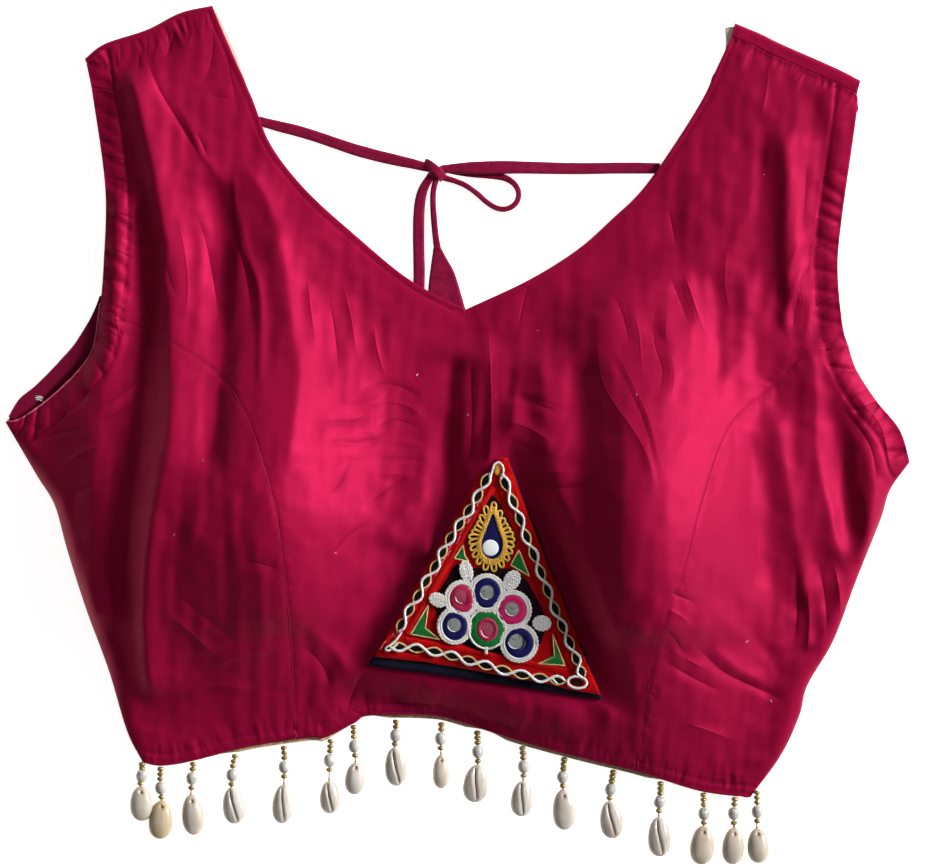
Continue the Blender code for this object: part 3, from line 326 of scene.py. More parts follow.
def coons(left, right, bottom, top, rows, columns):
    """A Coons patch, rows by columns by xy: the two ruled surfaces between facing edges, added,
    less the one between the four corners. Left and right run up, bottom and top run across."""
    left[0], right[0], left[-1], right[-1] = bottom[0], bottom[-1], top[0], top[-1]
    s = np.asarray(columns)[None, :, None]
    t = np.asarray(rows)[:, None, None]
    sides = (1 - s) * left[:, None] + s * right[:, None]
    ends = (1 - t) * bottom[None] + t * top[None]
    low = (1 - s) * bottom[0] + s * bottom[-1]
    high = (1 - s) * top[0] + s * top[-1]
    return sides + ends - (1 - t) * low - t * high


def beside(points, line):
    """For each point: how far the line is, which side of it the point is on (1 is left), and how
    far along the line the nearest place lies."""
    flat = points.reshape(-1, 2)
    best = np.full(len(flat), np.inf)
    side, along = np.ones(len(flat)), np.zeros(len(flat))
    start = 0.0
    for a, b in zip(line, line[1:]):
        ahead = b - a
        reach = max(float(np.hypot(*ahead)), 1e-9)
        off = flat - a
        share = np.clip(off @ ahead / reach**2, 0, 1)
        gap = off - share[:, None] * ahead
        away = np.hypot(gap[:, 0], gap[:, 1])
        near = away < best
        best = np.where(near, away, best)
        side = np.where(near, np.where(ahead[0] * off[:, 1] - ahead[1] * off[:, 0] >= 0, 1.0, -1.0), side)
        along = np.where(near, start + share * reach, along)
        start += reach
    shape = points.shape[:-1]
    return best.reshape(shape), side.reshape(shape), along.reshape(shape)


def ease(share):
    """A smooth step from 0 to 1, level at both ends."""
    share = np.clip(share, 0, 1)
    return share * share * (3 - 2 * share)


def raised(xy, height):
    return np.concatenate([xy, np.broadcast_to(height, xy.shape[:-1])[..., None]], axis=-1)


def grid_faces(rows, columns, start=0):
    """Faces between the points of a grid, counted row by row, that look up."""
    i = start + np.arange(rows - 1)[:, None] * columns + np.arange(columns - 1)
    return np.stack([i, i + 1, i + columns + 1, i + columns], axis=-1).reshape(-1, 4)


def ring_faces(rings, sides, turned=False, closed=False):
    """Faces between rings of points that follow each other. Turned, they look the other way;
    closed, the last ring meets the first."""
    here = np.arange(rings if closed else rings - 1)[:, None]
    side = np.arange(sides)[None]
    after, beyond = (here + 1) % rings * sides, (side + 1) % sides
    here = here * sides
    corners = [here + side, after + side, after + beyond, here + beyond]
    if turned:
        corners = [corners[k] for k in (0, 3, 2, 1)]
    return np.stack(corners, axis=-1).reshape(-1, 4)


def fan(tip, first, sides, turned=False):
    """Triangles between a tip and the ring of points that starts at the first."""
    side = np.arange(sides)
    ring = [first + side, first + (side + 1) % sides]
    return np.stack([np.full(sides, tip), *(ring[::-1] if turned else ring)], axis=1)


def uv_of(across, up):
    """Two values of a grid's points as their UV."""
    return np.stack(np.broadcast_arrays(across, up), axis=-1).reshape(-1, 2)


# A part of a piece: its points, its face arrays, its material, and its points' own values.
Part = namedtuple("Part", "points faces material values")


def part(points, faces, material, **values):
    return Part(np.asarray(points, float).reshape(-1, 3), faces, material, values)


def weld(points, faces):
    """Points that lie in one place become one. Faces keep their corners' order."""
    keys = np.round(points / 0.002).astype(np.int64)
    _, first, again = np.unique(keys, axis=0, return_index=True, return_inverse=True)
    again = again.reshape(-1)
    return points[first], [again[f] for f in faces], first


def piece(name, parts, replaces=(), welded=False, sharp=None):
    """One object at the origin from its parts, which rides the blouse's one body."""
    points = np.vstack([p.points for p in parts])
    materials = list(dict.fromkeys(p.material for p in parts))
    faces, chosen, start = [], [], 0
    for p in parts:
        for f in p.faces:
            faces.append(np.asarray(f) + start)
            chosen.append(np.full(len(f), materials.index(p.material)))
        start += len(p.points)
    names = sorted({key for p in parts for key in p.values})
    values = {}
    for key in names:
        width = 2 if key == "uv" else 1
        blank = [np.asarray(p.values.get(key, np.zeros((len(p.points), width))), float) for p in parts]
        values[key] = np.vstack([b.reshape(len(p.points), width) for b, p in zip(blank, parts)])
    if welded:
        points, faces, first = weld(points, faces)
        values = {key: value[first] for key, value in values.items()}
    corners = np.concatenate([f.ravel() for f in faces])
    sizes = np.concatenate([np.full(len(f), f.shape[1]) for f in faces])
    mesh = bpy.data.meshes.new(name)
    mesh.vertices.add(len(points))
    mesh.vertices.foreach_set("co", (points * MM).astype(np.float32).ravel())
    mesh.loops.add(len(corners))
    mesh.loops.foreach_set("vertex_index", corners.astype(np.int32))
    mesh.polygons.add(len(sizes))
    mesh.polygons.foreach_set("loop_start", (np.cumsum(sizes) - sizes).astype(np.int32))
    mesh.polygons.foreach_set("material_index", np.concatenate(chosen).astype(np.int32))
    mesh.update(calc_edges=True)
    for key, value in values.items():
        if key == "uv":
            layer = mesh.uv_layers.new(name="along")
            layer.uv.foreach_set("vector", value[corners].astype(np.float32).ravel())
        else:
            layer = mesh.attributes.new(key, "FLOAT", "POINT")
            layer.data.foreach_set("value", value[:, 0].astype(np.float32))
    for material in materials:
        mesh.materials.append(material)
    mesh.shade_smooth()
    if sharp:
        mesh.set_sharp_from_angle(angle=math.radians(sharp))
    made = bpy.data.objects.new(name, mesh)
    bpy.context.scene.collection.objects.link(made)
    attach(made, "root")
    if replaces:
        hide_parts(*replaces)
    return made


def walled(made, wall, offset=-1):
    """Gives a single surface its cloth's thickness."""
    thicken = made.modifiers.new("wall", "SOLIDIFY")
    thicken.thickness = wall * MM
    thicken.offset = offset
    return made


def tube(path, radius, sides, material, section=None, closed=False):
    """A tube round a path: at each point a ring square to the path, its points at the section's
    share of the radius. The radius is one number, one for each point, or across and up for each
    point; the section is a function of the mm along and the angle. UV holds the mm along and the
    share of the turn."""
    path = np.asarray(path, float)
    count = len(path)
    if closed:
        ahead = np.roll(path, -1, axis=0) - np.roll(path, 1, axis=0)
        ahead /= np.linalg.norm(ahead, axis=1, keepdims=True)
    else:
        ahead = ahead_of(path)
    wide = np.cross(ahead, (0, 0, 1))
    wide /= np.maximum(np.linalg.norm(wide, axis=1, keepdims=True), 1e-9)
    high = np.cross(wide, ahead)
    along = mm_along(path)
    radius = np.asarray(radius, float)
    if radius.ndim < 2:
        radius = np.broadcast_to(radius, (count,))[:, None]
    radius = np.broadcast_to(radius, (count, 2))
    turn = np.arange(sides) * 2 * np.pi / sides
    shape = np.ones((count, sides)) if section is None else section(along[:, None], turn[None])
    ring = (
        path[:, None]
        + (radius[:, :1] * shape * np.cos(turn))[..., None] * wide[:, None]
        + (radius[:, 1:] * shape * np.sin(turn))[..., None] * high[:, None]
    )
    faces = [ring_faces(count, sides, closed=closed)]
    points = ring.reshape(-1, 3)
    uv = np.stack([np.repeat(along, sides), np.tile(turn / (2 * np.pi), count)], axis=1)
    if not closed:
        points = np.vstack([points, path[[0, -1]]])
        uv = np.vstack([uv, [[along[0], 0], [along[-1], 0]]])
        tip = count * sides
        faces += [fan(tip, 0, sides), fan(tip + 1, tip - sides, sides, turned=True)]
    return part(points, faces, material, uv=uv)


def at_each(faces, count, per):
    """The faces of one shape, repeated for shapes whose points follow each other."""
    starts = (np.arange(count) * per)[:, None, None]
    return [(f[None] + starts).reshape(-1, f.shape[1]) for f in faces]


def lathe(profile, middles, axes, sides, material):
    """The same turned shape at many places: a profile of (along, radius) pairs turned round each
    place's own axis, with a point at both ends."""
    profile = np.asarray(profile, float)
    middles = np.asarray(middles, float).reshape(-1, 3)
    axes = np.asarray(axes, float).reshape(-1, 3)
    axes = axes / np.linalg.norm(axes, axis=1, keepdims=True)
    helper = np.where(np.abs(axes[:, 2:3]) > 0.9, [[1.0, 0, 0]], [[0, 0, 1.0]])
    wide = np.cross(axes, helper)
    wide /= np.linalg.norm(wide, axis=1, keepdims=True)
    high = np.cross(wide, axes)
    turn = np.arange(sides) * 2 * np.pi / sides
    rings = len(profile) - 2
    along, radius = (column[None, :, None, None] for column in profile[1:-1].T)
    round_wide = np.cos(turn)[None, None, :, None] * wide[:, None, None]
    round_high = np.sin(turn)[None, None, :, None] * high[:, None, None]
    ring = middles[:, None, None] + along * axes[:, None, None] + radius * (round_wide + round_high)
    tips = middles[:, None] + profile[[0, -1], 0][None, :, None] * axes[:, None]
    points = np.concatenate([ring.reshape(len(middles), -1, 3), tips], axis=1)
    per = rings * sides + 2
    tips_at = rings * sides
    caps = np.vstack([fan(tips_at, 0, sides), fan(tips_at + 1, tips_at - sides, sides, turned=True)])
    return part(points, at_each([ring_faces(rings, sides), caps], len(middles), per), material)


def stitches(line, height, length, gap, radius, material):
    """A row of short raised stitches: capsules laid end to end along a line of xyz points, each of
    the given length with a gap after it, and lifted by the given height."""
    total = length_of(line)
    count = max(int(total / (length + gap)), 1)
    starts = (np.arange(count) + 0.5) / count * total
    ends = np.stack([starts - length / 2, starts + length / 2])
    a, b = (straight_at(line, np.clip(e / total, 0, 1)) for e in ends)
    middles = (a + b) / 2 + np.array([0, 0, height])
    half = length / 2
    profile = [(-half, 0), (-half * 0.9, radius * 0.7), (0, radius), (half * 0.9, radius * 0.7), (half, 0)]
    return lathe(profile, middles, b - a, 6, material)


UNEVEN_PLACES = 0.5  # of the spacing that each next place may be nearer or further


def noise_line(length, spacing, seed):
    """A wandering value along a line: random heights at uneven places, joined smoothly. It
    returns a function of the mm along."""
    rng = np.random.default_rng(seed)
    count = int(length / spacing) + 4
    places = np.cumsum(rng.uniform(1 - UNEVEN_PLACES, 1 + UNEVEN_PLACES, count)) * spacing - spacing
    heights = rng.uniform(-1, 1, count)

    def value(at):
        k = np.clip(np.searchsorted(places, at) - 1, 0, count - 2)
        share = ease((at - places[k]) / (places[k + 1] - places[k]))
        return heights[k] + (heights[k + 1] - heights[k]) * share

    return value


def unevenness(points, seed, longest, shortest, count=28):
    """A gently uneven surface: plane waves of random direction, length and phase, added."""
    rng = np.random.default_rng(seed)
    total = np.zeros(points.shape[:-1])
    for _ in range(count):
        reach = rng.uniform(shortest, longest)
        way, phase = rng.uniform(0, 2 * np.pi, 2)
        k = 2 * np.pi / reach * np.array([math.cos(way), math.sin(way)])
        total += np.sin(points @ k + phase) * reach / longest
    return total / math.sqrt(count)


# ---- Materials ----

FULL_TURN = 6.283
CLOUD = 28.0  # the scale of a cloth's slow unevenness
SLUB_SLANT = 0.052  # how far the yarn runs off the cloth's own way, in radians
CREASE_HALF = 0.6  # half width of a sharp crease's painted dark line and its dent, in mm
PUCKER_HALF = 0.075  # a pucker's half width, as a step of the noise that places it


def add(tree, kind, inputs=None, **settings):
    """A node with its settings; each input gets a value or a link."""
    made = tree.nodes.new(kind)
    for key, value in settings.items():
        setattr(made, key, value)
    for key, value in (inputs or {}).items():
        if isinstance(value, bpy.types.NodeSocket):
            tree.links.new(value, made.inputs[key])
        else:
            made.inputs[key].default_value = value
    return made


def blend(tree, factor, first, second, mode="MIX"):
    """A colour mixed from two by a factor."""
    made = add(tree, "ShaderNodeMix", data_type="RGBA", blend_type=mode)
    for number, value in ((0, factor), (6, first), (7, second)):
        if isinstance(value, bpy.types.NodeSocket):
            tree.links.new(value, made.inputs[number])
        else:
            made.inputs[number].default_value = (*value, 1) if number else value
    return made.outputs[2]


def sum_of(tree, kind, first, second=0.0, third=0.0):
    made = add(tree, "ShaderNodeMath", {0: first, 1: second, 2: third}, operation=kind)
    return made.outputs[0]


def noise(tree, vector, scale, detail, rough=0.5):
    inputs = {"Vector": vector, "Scale": scale, "Detail": detail, "Roughness": rough}
    return add(tree, "ShaderNodeTexNoise", inputs).outputs[0]


def line_noise(tree, value, scale, detail):
    """Noise along a line."""
    inputs = {"W": value, "Scale": scale, "Detail": detail}
    return add(tree, "ShaderNodeTexNoise", inputs, noise_dimensions="1D").outputs[0]


def wave(tree, value):
    """A sine that goes through one turn for each 1 of the value."""
    return sum_of(tree, "SINE", sum_of(tree, "MULTIPLY", value, FULL_TURN))


def spread(tree, value, low, high, to_low=0.0, to_high=1.0):
    """A value carried from one range to another, kept inside it."""
    made = add(tree, "ShaderNodeMapRange", {0: value, 1: low, 2: high, 3: to_low, 4: to_high})
    return made.outputs[0]


def effect(name, inputs, outputs):
    """An empty group with named inputs and outputs, and its two ends. An input is a number, a
    vector, or a vector without a value of its own."""
    tree = bpy.data.node_groups.new(name, "ShaderNodeTree")
    for label, value in inputs.items():
        kind = "NodeSocketFloat" if isinstance(value, float) else "NodeSocketVector"
        made = tree.interface.new_socket(label, in_out="INPUT", socket_type=kind)
        if value is not None:
            made.default_value = value
    for label in outputs:
        tree.interface.new_socket(label, in_out="OUTPUT", socket_type="NodeSocketFloat")
    return tree, tree.nodes.new("NodeGroupInput"), tree.nodes.new("NodeGroupOutput")


def yarn_effect():
    """Cloth yarn. Slub, its thick and thin: noise drawn out along one way, with some drawn out
    across it. Weave: two sets of ridges that cross. Cloud: slow noise. Inputs count per metre."""
    inputs = {"Place": None, "Yarn": (900.0, 60.0, 90.0), "Weave": 1400.0, "Cloud": CLOUD}
    tree, start, end = effect("yarn", inputs, ("Slub", "Weave", "Cloud"))
    turned = add(
        tree, "ShaderNodeMapping", {"Vector": start.outputs["Place"], "Rotation": (0, 0, SLUB_SLANT)}
    )
    drawn = add(
        tree, "ShaderNodeVectorMath", {0: turned.outputs[0], 1: start.outputs["Yarn"]},
        operation="MULTIPLY",
    )
    slub = noise(tree, drawn.outputs[0], 1.0, 3.0, 0.6)
    ways = add(tree, "ShaderNodeSeparateXYZ", {0: start.outputs["Yarn"]})
    swapped = add(
        tree, "ShaderNodeCombineXYZ", {0: ways.outputs[1], 1: ways.outputs[0], 2: ways.outputs[2]},
    )
    crossed = add(
        tree, "ShaderNodeVectorMath", {0: turned.outputs[0], 1: swapped.outputs[0]}, operation="MULTIPLY",
    )
    cross = noise(tree, crossed.outputs[0], 1.0, 2.0, 0.6)
    both = sum_of(tree, "MULTIPLY_ADD", slub, 0.6, sum_of(tree, "MULTIPLY", cross, 0.4))
    scaled = add(
        tree, "ShaderNodeVectorMath", {0: turned.outputs[0], "Scale": start.outputs["Weave"]},
        operation="SCALE",
    )
    parted = add(tree, "ShaderNodeSeparateXYZ", {0: scaled.outputs[0]})
    crossing = sum_of(tree, "MULTIPLY", wave(tree, parted.outputs[0]), wave(tree, parted.outputs[1]))
    woven = sum_of(tree, "MULTIPLY_ADD", crossing, 0.5, 0.5)
    cloud = noise(tree, start.outputs["Place"], start.outputs["Cloud"], 2.0)
    tree.links.new(both, end.inputs["Slub"])
    tree.links.new(woven, end.inputs["Weave"])
    tree.links.new(cloud, end.inputs["Cloud"])
    return tree


def thread_effect():
    """Laid thread. Strand: ridges that run across the piece's own UV, tipped by the lean. Fuzz:
    fine noise."""
    inputs = {"Along": None, "Place": None, "Pitch": 0.5, "Lean": 2.0}
    tree, start, end = effect("laid_thread", inputs, ("Strand", "Fuzz"))
    parted = add(tree, "ShaderNodeSeparateXYZ", {0: start.outputs["Along"]})
    stretch = sum_of(tree, "DIVIDE", parted.outputs[0], start.outputs["Pitch"])
    leaned = sum_of(tree, "MULTIPLY_ADD", parted.outputs[1], start.outputs["Lean"], stretch)
    strand = sum_of(tree, "MULTIPLY_ADD", wave(tree, leaned), 0.5, 0.5)
    tree.links.new(strand, end.inputs["Strand"])
    tree.links.new(noise(tree, start.outputs["Place"], 2200.0, 2.0), end.inputs["Fuzz"])
    return tree


def grit_effect():
    """Small uneven tone. Grit: fine noise. Patch: broad noise."""
    tree, start, end = effect("grit", {"Place": None, "Fine": 700.0, "Broad": 60.0}, ("Grit", "Patch"))
    for label, scale in (("Grit", "Fine"), ("Patch", "Broad")):
        made = noise(tree, start.outputs["Place"], start.outputs[scale], 4.0)
        tree.links.new(made, end.inputs[label])
    return tree


def gather_effect():
    """The finest relief of sewn cloth, with shade painted into its colour. Puckers: short dark lines
    across a stitched band, where noise along the band crosses its middle value, of uneven depth.
    Crease: a narrow bell across a sharp crease. Relief falls where the cloth dips; Shade is the
    painted shade there, how much its colour is darkened."""
    inputs = {"Along": 0.0, "Beyond": 0.0, "Pull": 0.0, "Across": 0.0, "Depth": 0.0}
    tree, start, end = effect("gather", inputs, ("Relief", "Shade"))
    leaned = sum_of(tree, "MULTIPLY_ADD", start.outputs["Beyond"], 0.35, start.outputs["Along"])
    near = line_noise(tree, leaned, 0.075, 0.6)
    strength = line_noise(tree, sum_of(tree, "ADD", leaned, 40.0), 0.06, 2.0)
    off = sum_of(tree, "ABSOLUTE", sum_of(tree, "SUBTRACT", near, 0.5))
    line = spread(tree, off, 0.0, PUCKER_HALF, 1.0, 0.0)
    line = sum_of(tree, "MULTIPLY", line, line)
    line = sum_of(tree, "MULTIPLY", line, spread(tree, strength, 0.38, 0.62, 0.1, 1.0))
    line = sum_of(tree, "MULTIPLY", line, start.outputs["Pull"])
    share = sum_of(tree, "DIVIDE", start.outputs["Across"], CREASE_HALF)
    fall = sum_of(tree, "MULTIPLY", sum_of(tree, "MULTIPLY", share, share), -1.0)
    crease = sum_of(tree, "MULTIPLY", sum_of(tree, "EXPONENT", fall), start.outputs["Depth"])
    tree.links.new(sum_of(tree, "MULTIPLY", sum_of(tree, "ADD", line, crease), -1.0), end.inputs["Relief"])
    # Painted shade: how far the colour is darkened in a dipping crease and in the puckers.
    dipped = sum_of(tree, "MAXIMUM", crease, 0.0)
    closed = sum_of(tree, "MULTIPLY_ADD", dipped, 0.7, sum_of(tree, "MULTIPLY", line, 0.5))
    tree.links.new(spread(tree, closed, 0.0, 1.0), end.inputs["Shade"])
    return tree


EFFECTS = {tree.name: tree for tree in (yarn_effect(), thread_effect(), grit_effect(), gather_effect())}


def finish_of(name, rough, metal=0.0, specular=0.5, tint=None, sheen=0.0, coat=0.0):
    """A new material with its plain shader values set, and its tree, shader and place."""
    material = bpy.data.materials.new(name)
    material.use_nodes = True
    tree = material.node_tree
    shader = tree.nodes["Principled BSDF"]
    shader.inputs["Roughness"].default_value = rough
    shader.inputs["Metallic"].default_value = metal
    shader.inputs["Specular IOR Level"].default_value = specular
    if tint:
        shader.inputs["Specular Tint"].default_value = (*tint, 1)
    if sheen:
        shader.inputs["Sheen Weight"].default_value = sheen
        shader.inputs["Sheen Roughness"].default_value = 0.45
        shader.inputs["Sheen Tint"].default_value = (1, 1, 1, 1)
    if coat:
        shader.inputs["Coat Weight"].default_value = coat
        shader.inputs["Coat Roughness"].default_value = 0.08
    place = tree.nodes.new("ShaderNodeTexCoord").outputs["Object"]
    return material, tree, shader, place


def use_effect(tree, name, **inputs):
    made = add(tree, "ShaderNodeGroup", node_tree=EFFECTS[name])
    for key, value in inputs.items():
        if isinstance(value, bpy.types.NodeSocket):
            tree.links.new(value, made.inputs[key])
        else:
            made.inputs[key].default_value = value
    return made.outputs


def point_value(tree, label):
    """A value that the piece's points hold."""
    return add(tree, "ShaderNodeAttribute", attribute_name=label).outputs["Fac"]


def relief(tree, shader, height, distance, strength=1.0, before=None):
    """A bump of the height's relief, on top of another bump if one is given."""
    inputs = {"Height": height, "Distance": distance, "Strength": strength}
    if before is not None:
        inputs["Normal"] = before
    made = add(tree, "ShaderNodeBump", inputs)
    tree.links.new(made.outputs[0], shader.inputs["Normal"])
    return made.outputs[0]


PAINTED_CREASE_SHADE = 0.22  # of the deep colour: the painted shade where the cloth puckers and creases
GATHER_RELIEF = 0.0004  # metres


def woven_cloth(
    name, deep, fair, rough, metal=0.0, yarn=(900, 55, 80), weave=1500, slub=0.00022, sheen=0.0, tint=None,
    specular=0.4, weave_relief=0.00005, gathered=False,
):
    """Cloth: its colour runs from deep to fair with the thick and thin of its yarn, with a slow
    unevenness, and both yarn and weave stand in relief. Gathered, its puckers and creases are dented
    and darkened with painted shade."""
    material, tree, shader, place = finish_of(name, rough, metal, specular, tint, sheen)
    out = use_effect(tree, "yarn", Place=place, Yarn=yarn, Weave=float(weave), Cloud=CLOUD)
    tone = spread(tree, out["Slub"], 0.32, 0.68)
    cloudy = spread(tree, out["Cloud"], 0.3, 0.7, -0.12, 0.12)
    mixed = sum_of(tree, "ADD", tone, cloudy)
    colour = blend(tree, mixed, deep, fair)
    tree.links.new(colour, shader.inputs["Base Color"])
    tree.links.new(
        spread(tree, out["Slub"], 0.3, 0.7, rough + 0.06, rough - 0.06), shader.inputs["Roughness"],
    )
    first = relief(tree, shader, out["Weave"], weave_relief, 0.5)
    second = relief(tree, shader, out["Slub"], slub, 0.7, first)
    if gathered:
        labels = ("Along", "Beyond", "Pull", "Across", "Depth")
        values = {label: point_value(tree, label.lower()) for label in labels}
        closed = use_effect(tree, "gather", **values)
        # Puckers and creases darken the colour: painted shade.
        share = sum_of(tree, "MULTIPLY", closed["Shade"], 0.62)
        shaded = blend(tree, share, colour, tuple(PAINTED_CREASE_SHADE * c for c in deep))
        tree.links.new(shaded, shader.inputs["Base Color"])
        relief(tree, shader, closed["Relief"], GATHER_RELIEF, 1.0, second)
    return material


RED_TINT = (1.0, 0.15, 0.10)
FUZZ_RELIEF = 0.00008  # metres


def embroidery(name, deep, fair, rough, pitch=0.8, lean=1.0, depth=0.00012, specular=0.2, tint=None):
    """Thread laid along or across a piece: its strands are ridges on the piece's own UV, deeper in colour
    between them as painted shade.
    """
    material, tree, shader, place = finish_of(name, rough, specular=specular, tint=tint)
    along = tree.nodes.new("ShaderNodeTexCoord").outputs["UV"]
    out = use_effect(tree, "laid_thread", Along=along, Place=place, Pitch=pitch, Lean=lean)
    # Fairer on each strand's crest and deeper between strands: painted shade, with random fuzz.
    tone = sum_of(tree, "MULTIPLY_ADD", out["Fuzz"], 0.5, sum_of(tree, "MULTIPLY", out["Strand"], 0.55))
    tree.links.new(blend(tree, tone, deep, fair), shader.inputs["Base Color"])
    first = relief(tree, shader, out["Strand"], depth, 0.8)
    relief(tree, shader, out["Fuzz"], FUZZ_RELIEF, 0.5, first)
    return material


def gritty(
    name, deep, fair, rough, fine=700, broad=60, depth=0.00003, strength=0.4, metal=0.0, specular=0.5,
    coat=0.0, band=0.35, tint=None,
):
    """A finish whose colour wanders from deep to fair, with fine grit in relief."""
    material, tree, shader, place = finish_of(name, rough, metal, specular, tint, coat=coat)
    out = use_effect(tree, "grit", Place=place, Fine=float(fine), Broad=float(broad))
    tone = sum_of(tree, "MULTIPLY_ADD", out["Grit"], 0.4, sum_of(tree, "MULTIPLY", out["Patch"], 0.7))
    wander = spread(tree, tone, 0.55 - band / 2, 0.55 + band / 2)
    tree.links.new(blend(tree, wander, deep, fair), shader.inputs["Base Color"])
    tree.links.new(
        spread(tree, out["Grit"], 0.3, 0.7, rough * 0.85, rough * 1.15), shader.inputs["Roughness"],
    )
    relief(tree, shader, out["Grit"], depth, strength)
    return material


CLOTH_TINT = (1.0, 0.10, 0.26)
RASPBERRY = woven_cloth(
    "raspberry_cloth", (0.275, 0.0026, 0.033), (0.33, 0.0042, 0.044), 0.54, 0.22,
    tint=CLOTH_TINT, specular=0.25, slub=0.00006, yarn=(1300, 120, 80), gathered=True,
)
RASPBERRY_BACK = woven_cloth(
    "raspberry_inside", (0.15, 0.003, 0.024), (0.20, 0.006, 0.034), 0.62,
    tint=CLOTH_TINT, specular=0.3, slub=0.0001,
)
RASPBERRY_TIE = woven_cloth(
    "raspberry_tie", (0.17, 0.004, 0.028), (0.25, 0.008, 0.045), 0.55,
    yarn=(300, 300, 300), tint=CLOTH_TINT,
)
# Topstitching thread, darker than the cloth so that each row reads as its groove's painted shade.
STITCH_THREAD_AND_SHADE = gritty(
    "raspberry_thread_painted_shade", (0.09, 0.002, 0.012), (0.17, 0.004, 0.026), 0.7, fine=3000, tint=CLOTH_TINT,
    specular=0.2,
)
# A pale orange-pink thread on the left princess seam: a painted highlight along the seam's edge.
SEAM_GLINT = gritty("seam_thread_painted_highlight", (0.24, 0.012, 0.025), (0.42, 0.04, 0.06), 0.6, fine=3000, specular=0.2)
# Pale pink for the rolled left armhole edge: a painted highlight along it.
EDGE_PAINTED_HIGHLIGHT = gritty(
    "turned_edge_painted_highlight", (0.52, 0.06, 0.12), (0.74, 0.16, 0.24), 0.6, fine=1500, specular=0.3, tint=CLOTH_TINT,
)
CREAM = woven_cloth(
    "cream_lining", (0.76, 0.58, 0.45), (0.94, 0.80, 0.67), 0.7, yarn=(600, 200, 200), weave=1200, sheen=0.1
)
TAPE = woven_cloth(
    "gold_beige_tape", (0.42, 0.25, 0.12), (0.84, 0.63, 0.40), 0.55, yarn=(700, 700, 700), weave=900,
    slub=0.0003, sheen=0.1, weave_relief=0.0003,
)
FELT = gritty(
    "navy_felt", (0.003, 0.003, 0.010), (0.012, 0.012, 0.032), 0.95, fine=1800, depth=0.0002, strength=0.8,
    specular=0.12,
)
RED_GROUND = embroidery(
    "red_satin_ground", (0.24, 0.001, 0.002), (0.66, 0.004, 0.006), 0.5, pitch=0.9, lean=0, specular=0.25,
    depth=0.0003, tint=RED_TINT,
)
RED_BAND = embroidery(
    "red_satin_band", (0.28, 0.001, 0.003), (0.70, 0.004, 0.007), 0.5, pitch=0.75, specular=0.25,
    depth=0.0002, tint=RED_TINT,
)
# Loose threads of the red ground, pale pink: their own colour lifted with painted glint.
LOOSE_THREAD_GLINT = gritty("loose_thread_painted_glint", (0.75, 0.06, 0.09), (0.95, 0.30, 0.36), 0.35, fine=2500)
DARK_FILL = gritty(
    "black_fill", (0.004, 0.001, 0.003), (0.016, 0.004, 0.008), 0.9, fine=1500, depth=0.00015, strength=0.7,
    specular=0.1,
)
BLACK_EYE = gritty(
    "black_eye", (0.004, 0.002, 0.002), (0.012, 0.006, 0.005), 0.85, fine=1500, depth=0.0001, specular=0.1,
)
WHITE_THREAD = embroidery("white_thread", (0.66, 0.64, 0.61), (1.0, 0.98, 0.95), 0.7)
# Grey padding under the white chains and petals: painted shade in the gaps between the rows.
GREY_PAINTED_SHADE = embroidery("grey_thread_painted_shade", (0.34, 0.32, 0.31), (0.74, 0.71, 0.69), 0.8, specular=0.15)
CREAM_THREAD = embroidery(
    "cream_gold_thread", (0.50, 0.30, 0.08), (0.92, 0.70, 0.34), 0.5, pitch=0.7, specular=0.3,
)
# Deeper gold for the field between the droplet's loops: painted shade between them.
GOLD_PAINTED_SHADE = embroidery(
    "gold_thread_painted_shade", (0.22, 0.09, 0.006), (0.62, 0.32, 0.04), 0.6, pitch=0.6, specular=0.15,
)
GOLD_THREAD = embroidery(
    "gold_thread", (0.50, 0.24, 0.02), (1.0, 0.60, 0.08), 0.45, pitch=0.6, specular=0.35,
)
GREEN_THREAD = embroidery(
    "green_thread", (0.003, 0.08, 0.014), (0.012, 0.25, 0.045), 0.6, lean=0, specular=0.15,
)
MAGENTA_THREAD = embroidery("magenta_thread", (0.42, 0.004, 0.08), (0.78, 0.015, 0.18), 0.5, lean=0)
NAVY_THREAD = embroidery(
    "navy_thread", (0.002, 0.002, 0.04), (0.012, 0.010, 0.14), 0.55, lean=0, specular=0.14,
)
ROSE_THREAD = embroidery("rose_thread", (0.34, 0.006, 0.05), (0.60, 0.020, 0.11), 0.5, lean=0)
MIRROR = gritty(
    "mirror_glass", (0.20, 0.23, 0.21), (0.34, 0.37, 0.34), 0.3, fine=500, broad=130, depth=0.00005,
    metal=0.3, coat=0.3, band=0.3,
)
# Near white, for the droplet's mirror and the mirrors' glints: painted reflection.
MIRROR_PAINTED_REFLECTION = gritty(
    "mirror_painted_reflection", (0.96, 0.96, 0.97), (1.0, 1.0, 1.0), 0.4, fine=500, broad=130, depth=0.00002, coat=0.1,
)
ROSE_MIRROR = gritty(
    "rose_mirror", (0.26, 0.015, 0.05), (0.46, 0.05, 0.11), 0.2, fine=500, broad=150, depth=0.00008,
    metal=0.2, coat=0.7,
)
STRING = gritty("beige_string", (0.36, 0.24, 0.13), (0.60, 0.46, 0.30), 0.75, fine=2500, depth=0.0001)
GOLD_BEAD = gritty("gold_bead", (0.16, 0.10, 0.025), (0.62, 0.47, 0.20), 0.3, fine=900, metal=0.6, band=0.5)
PEARL = gritty(
    "milky_bead", (0.46, 0.43, 0.39), (0.63, 0.61, 0.57), 0.3, fine=500, broad=250, depth=0.00004, coat=0.2,
)
LINT = gritty("white_lint", (0.75, 0.72, 0.72), (0.9, 0.88, 0.88), 0.8, fine=3000)


SHELL_RELIEF = 0.00006  # metres


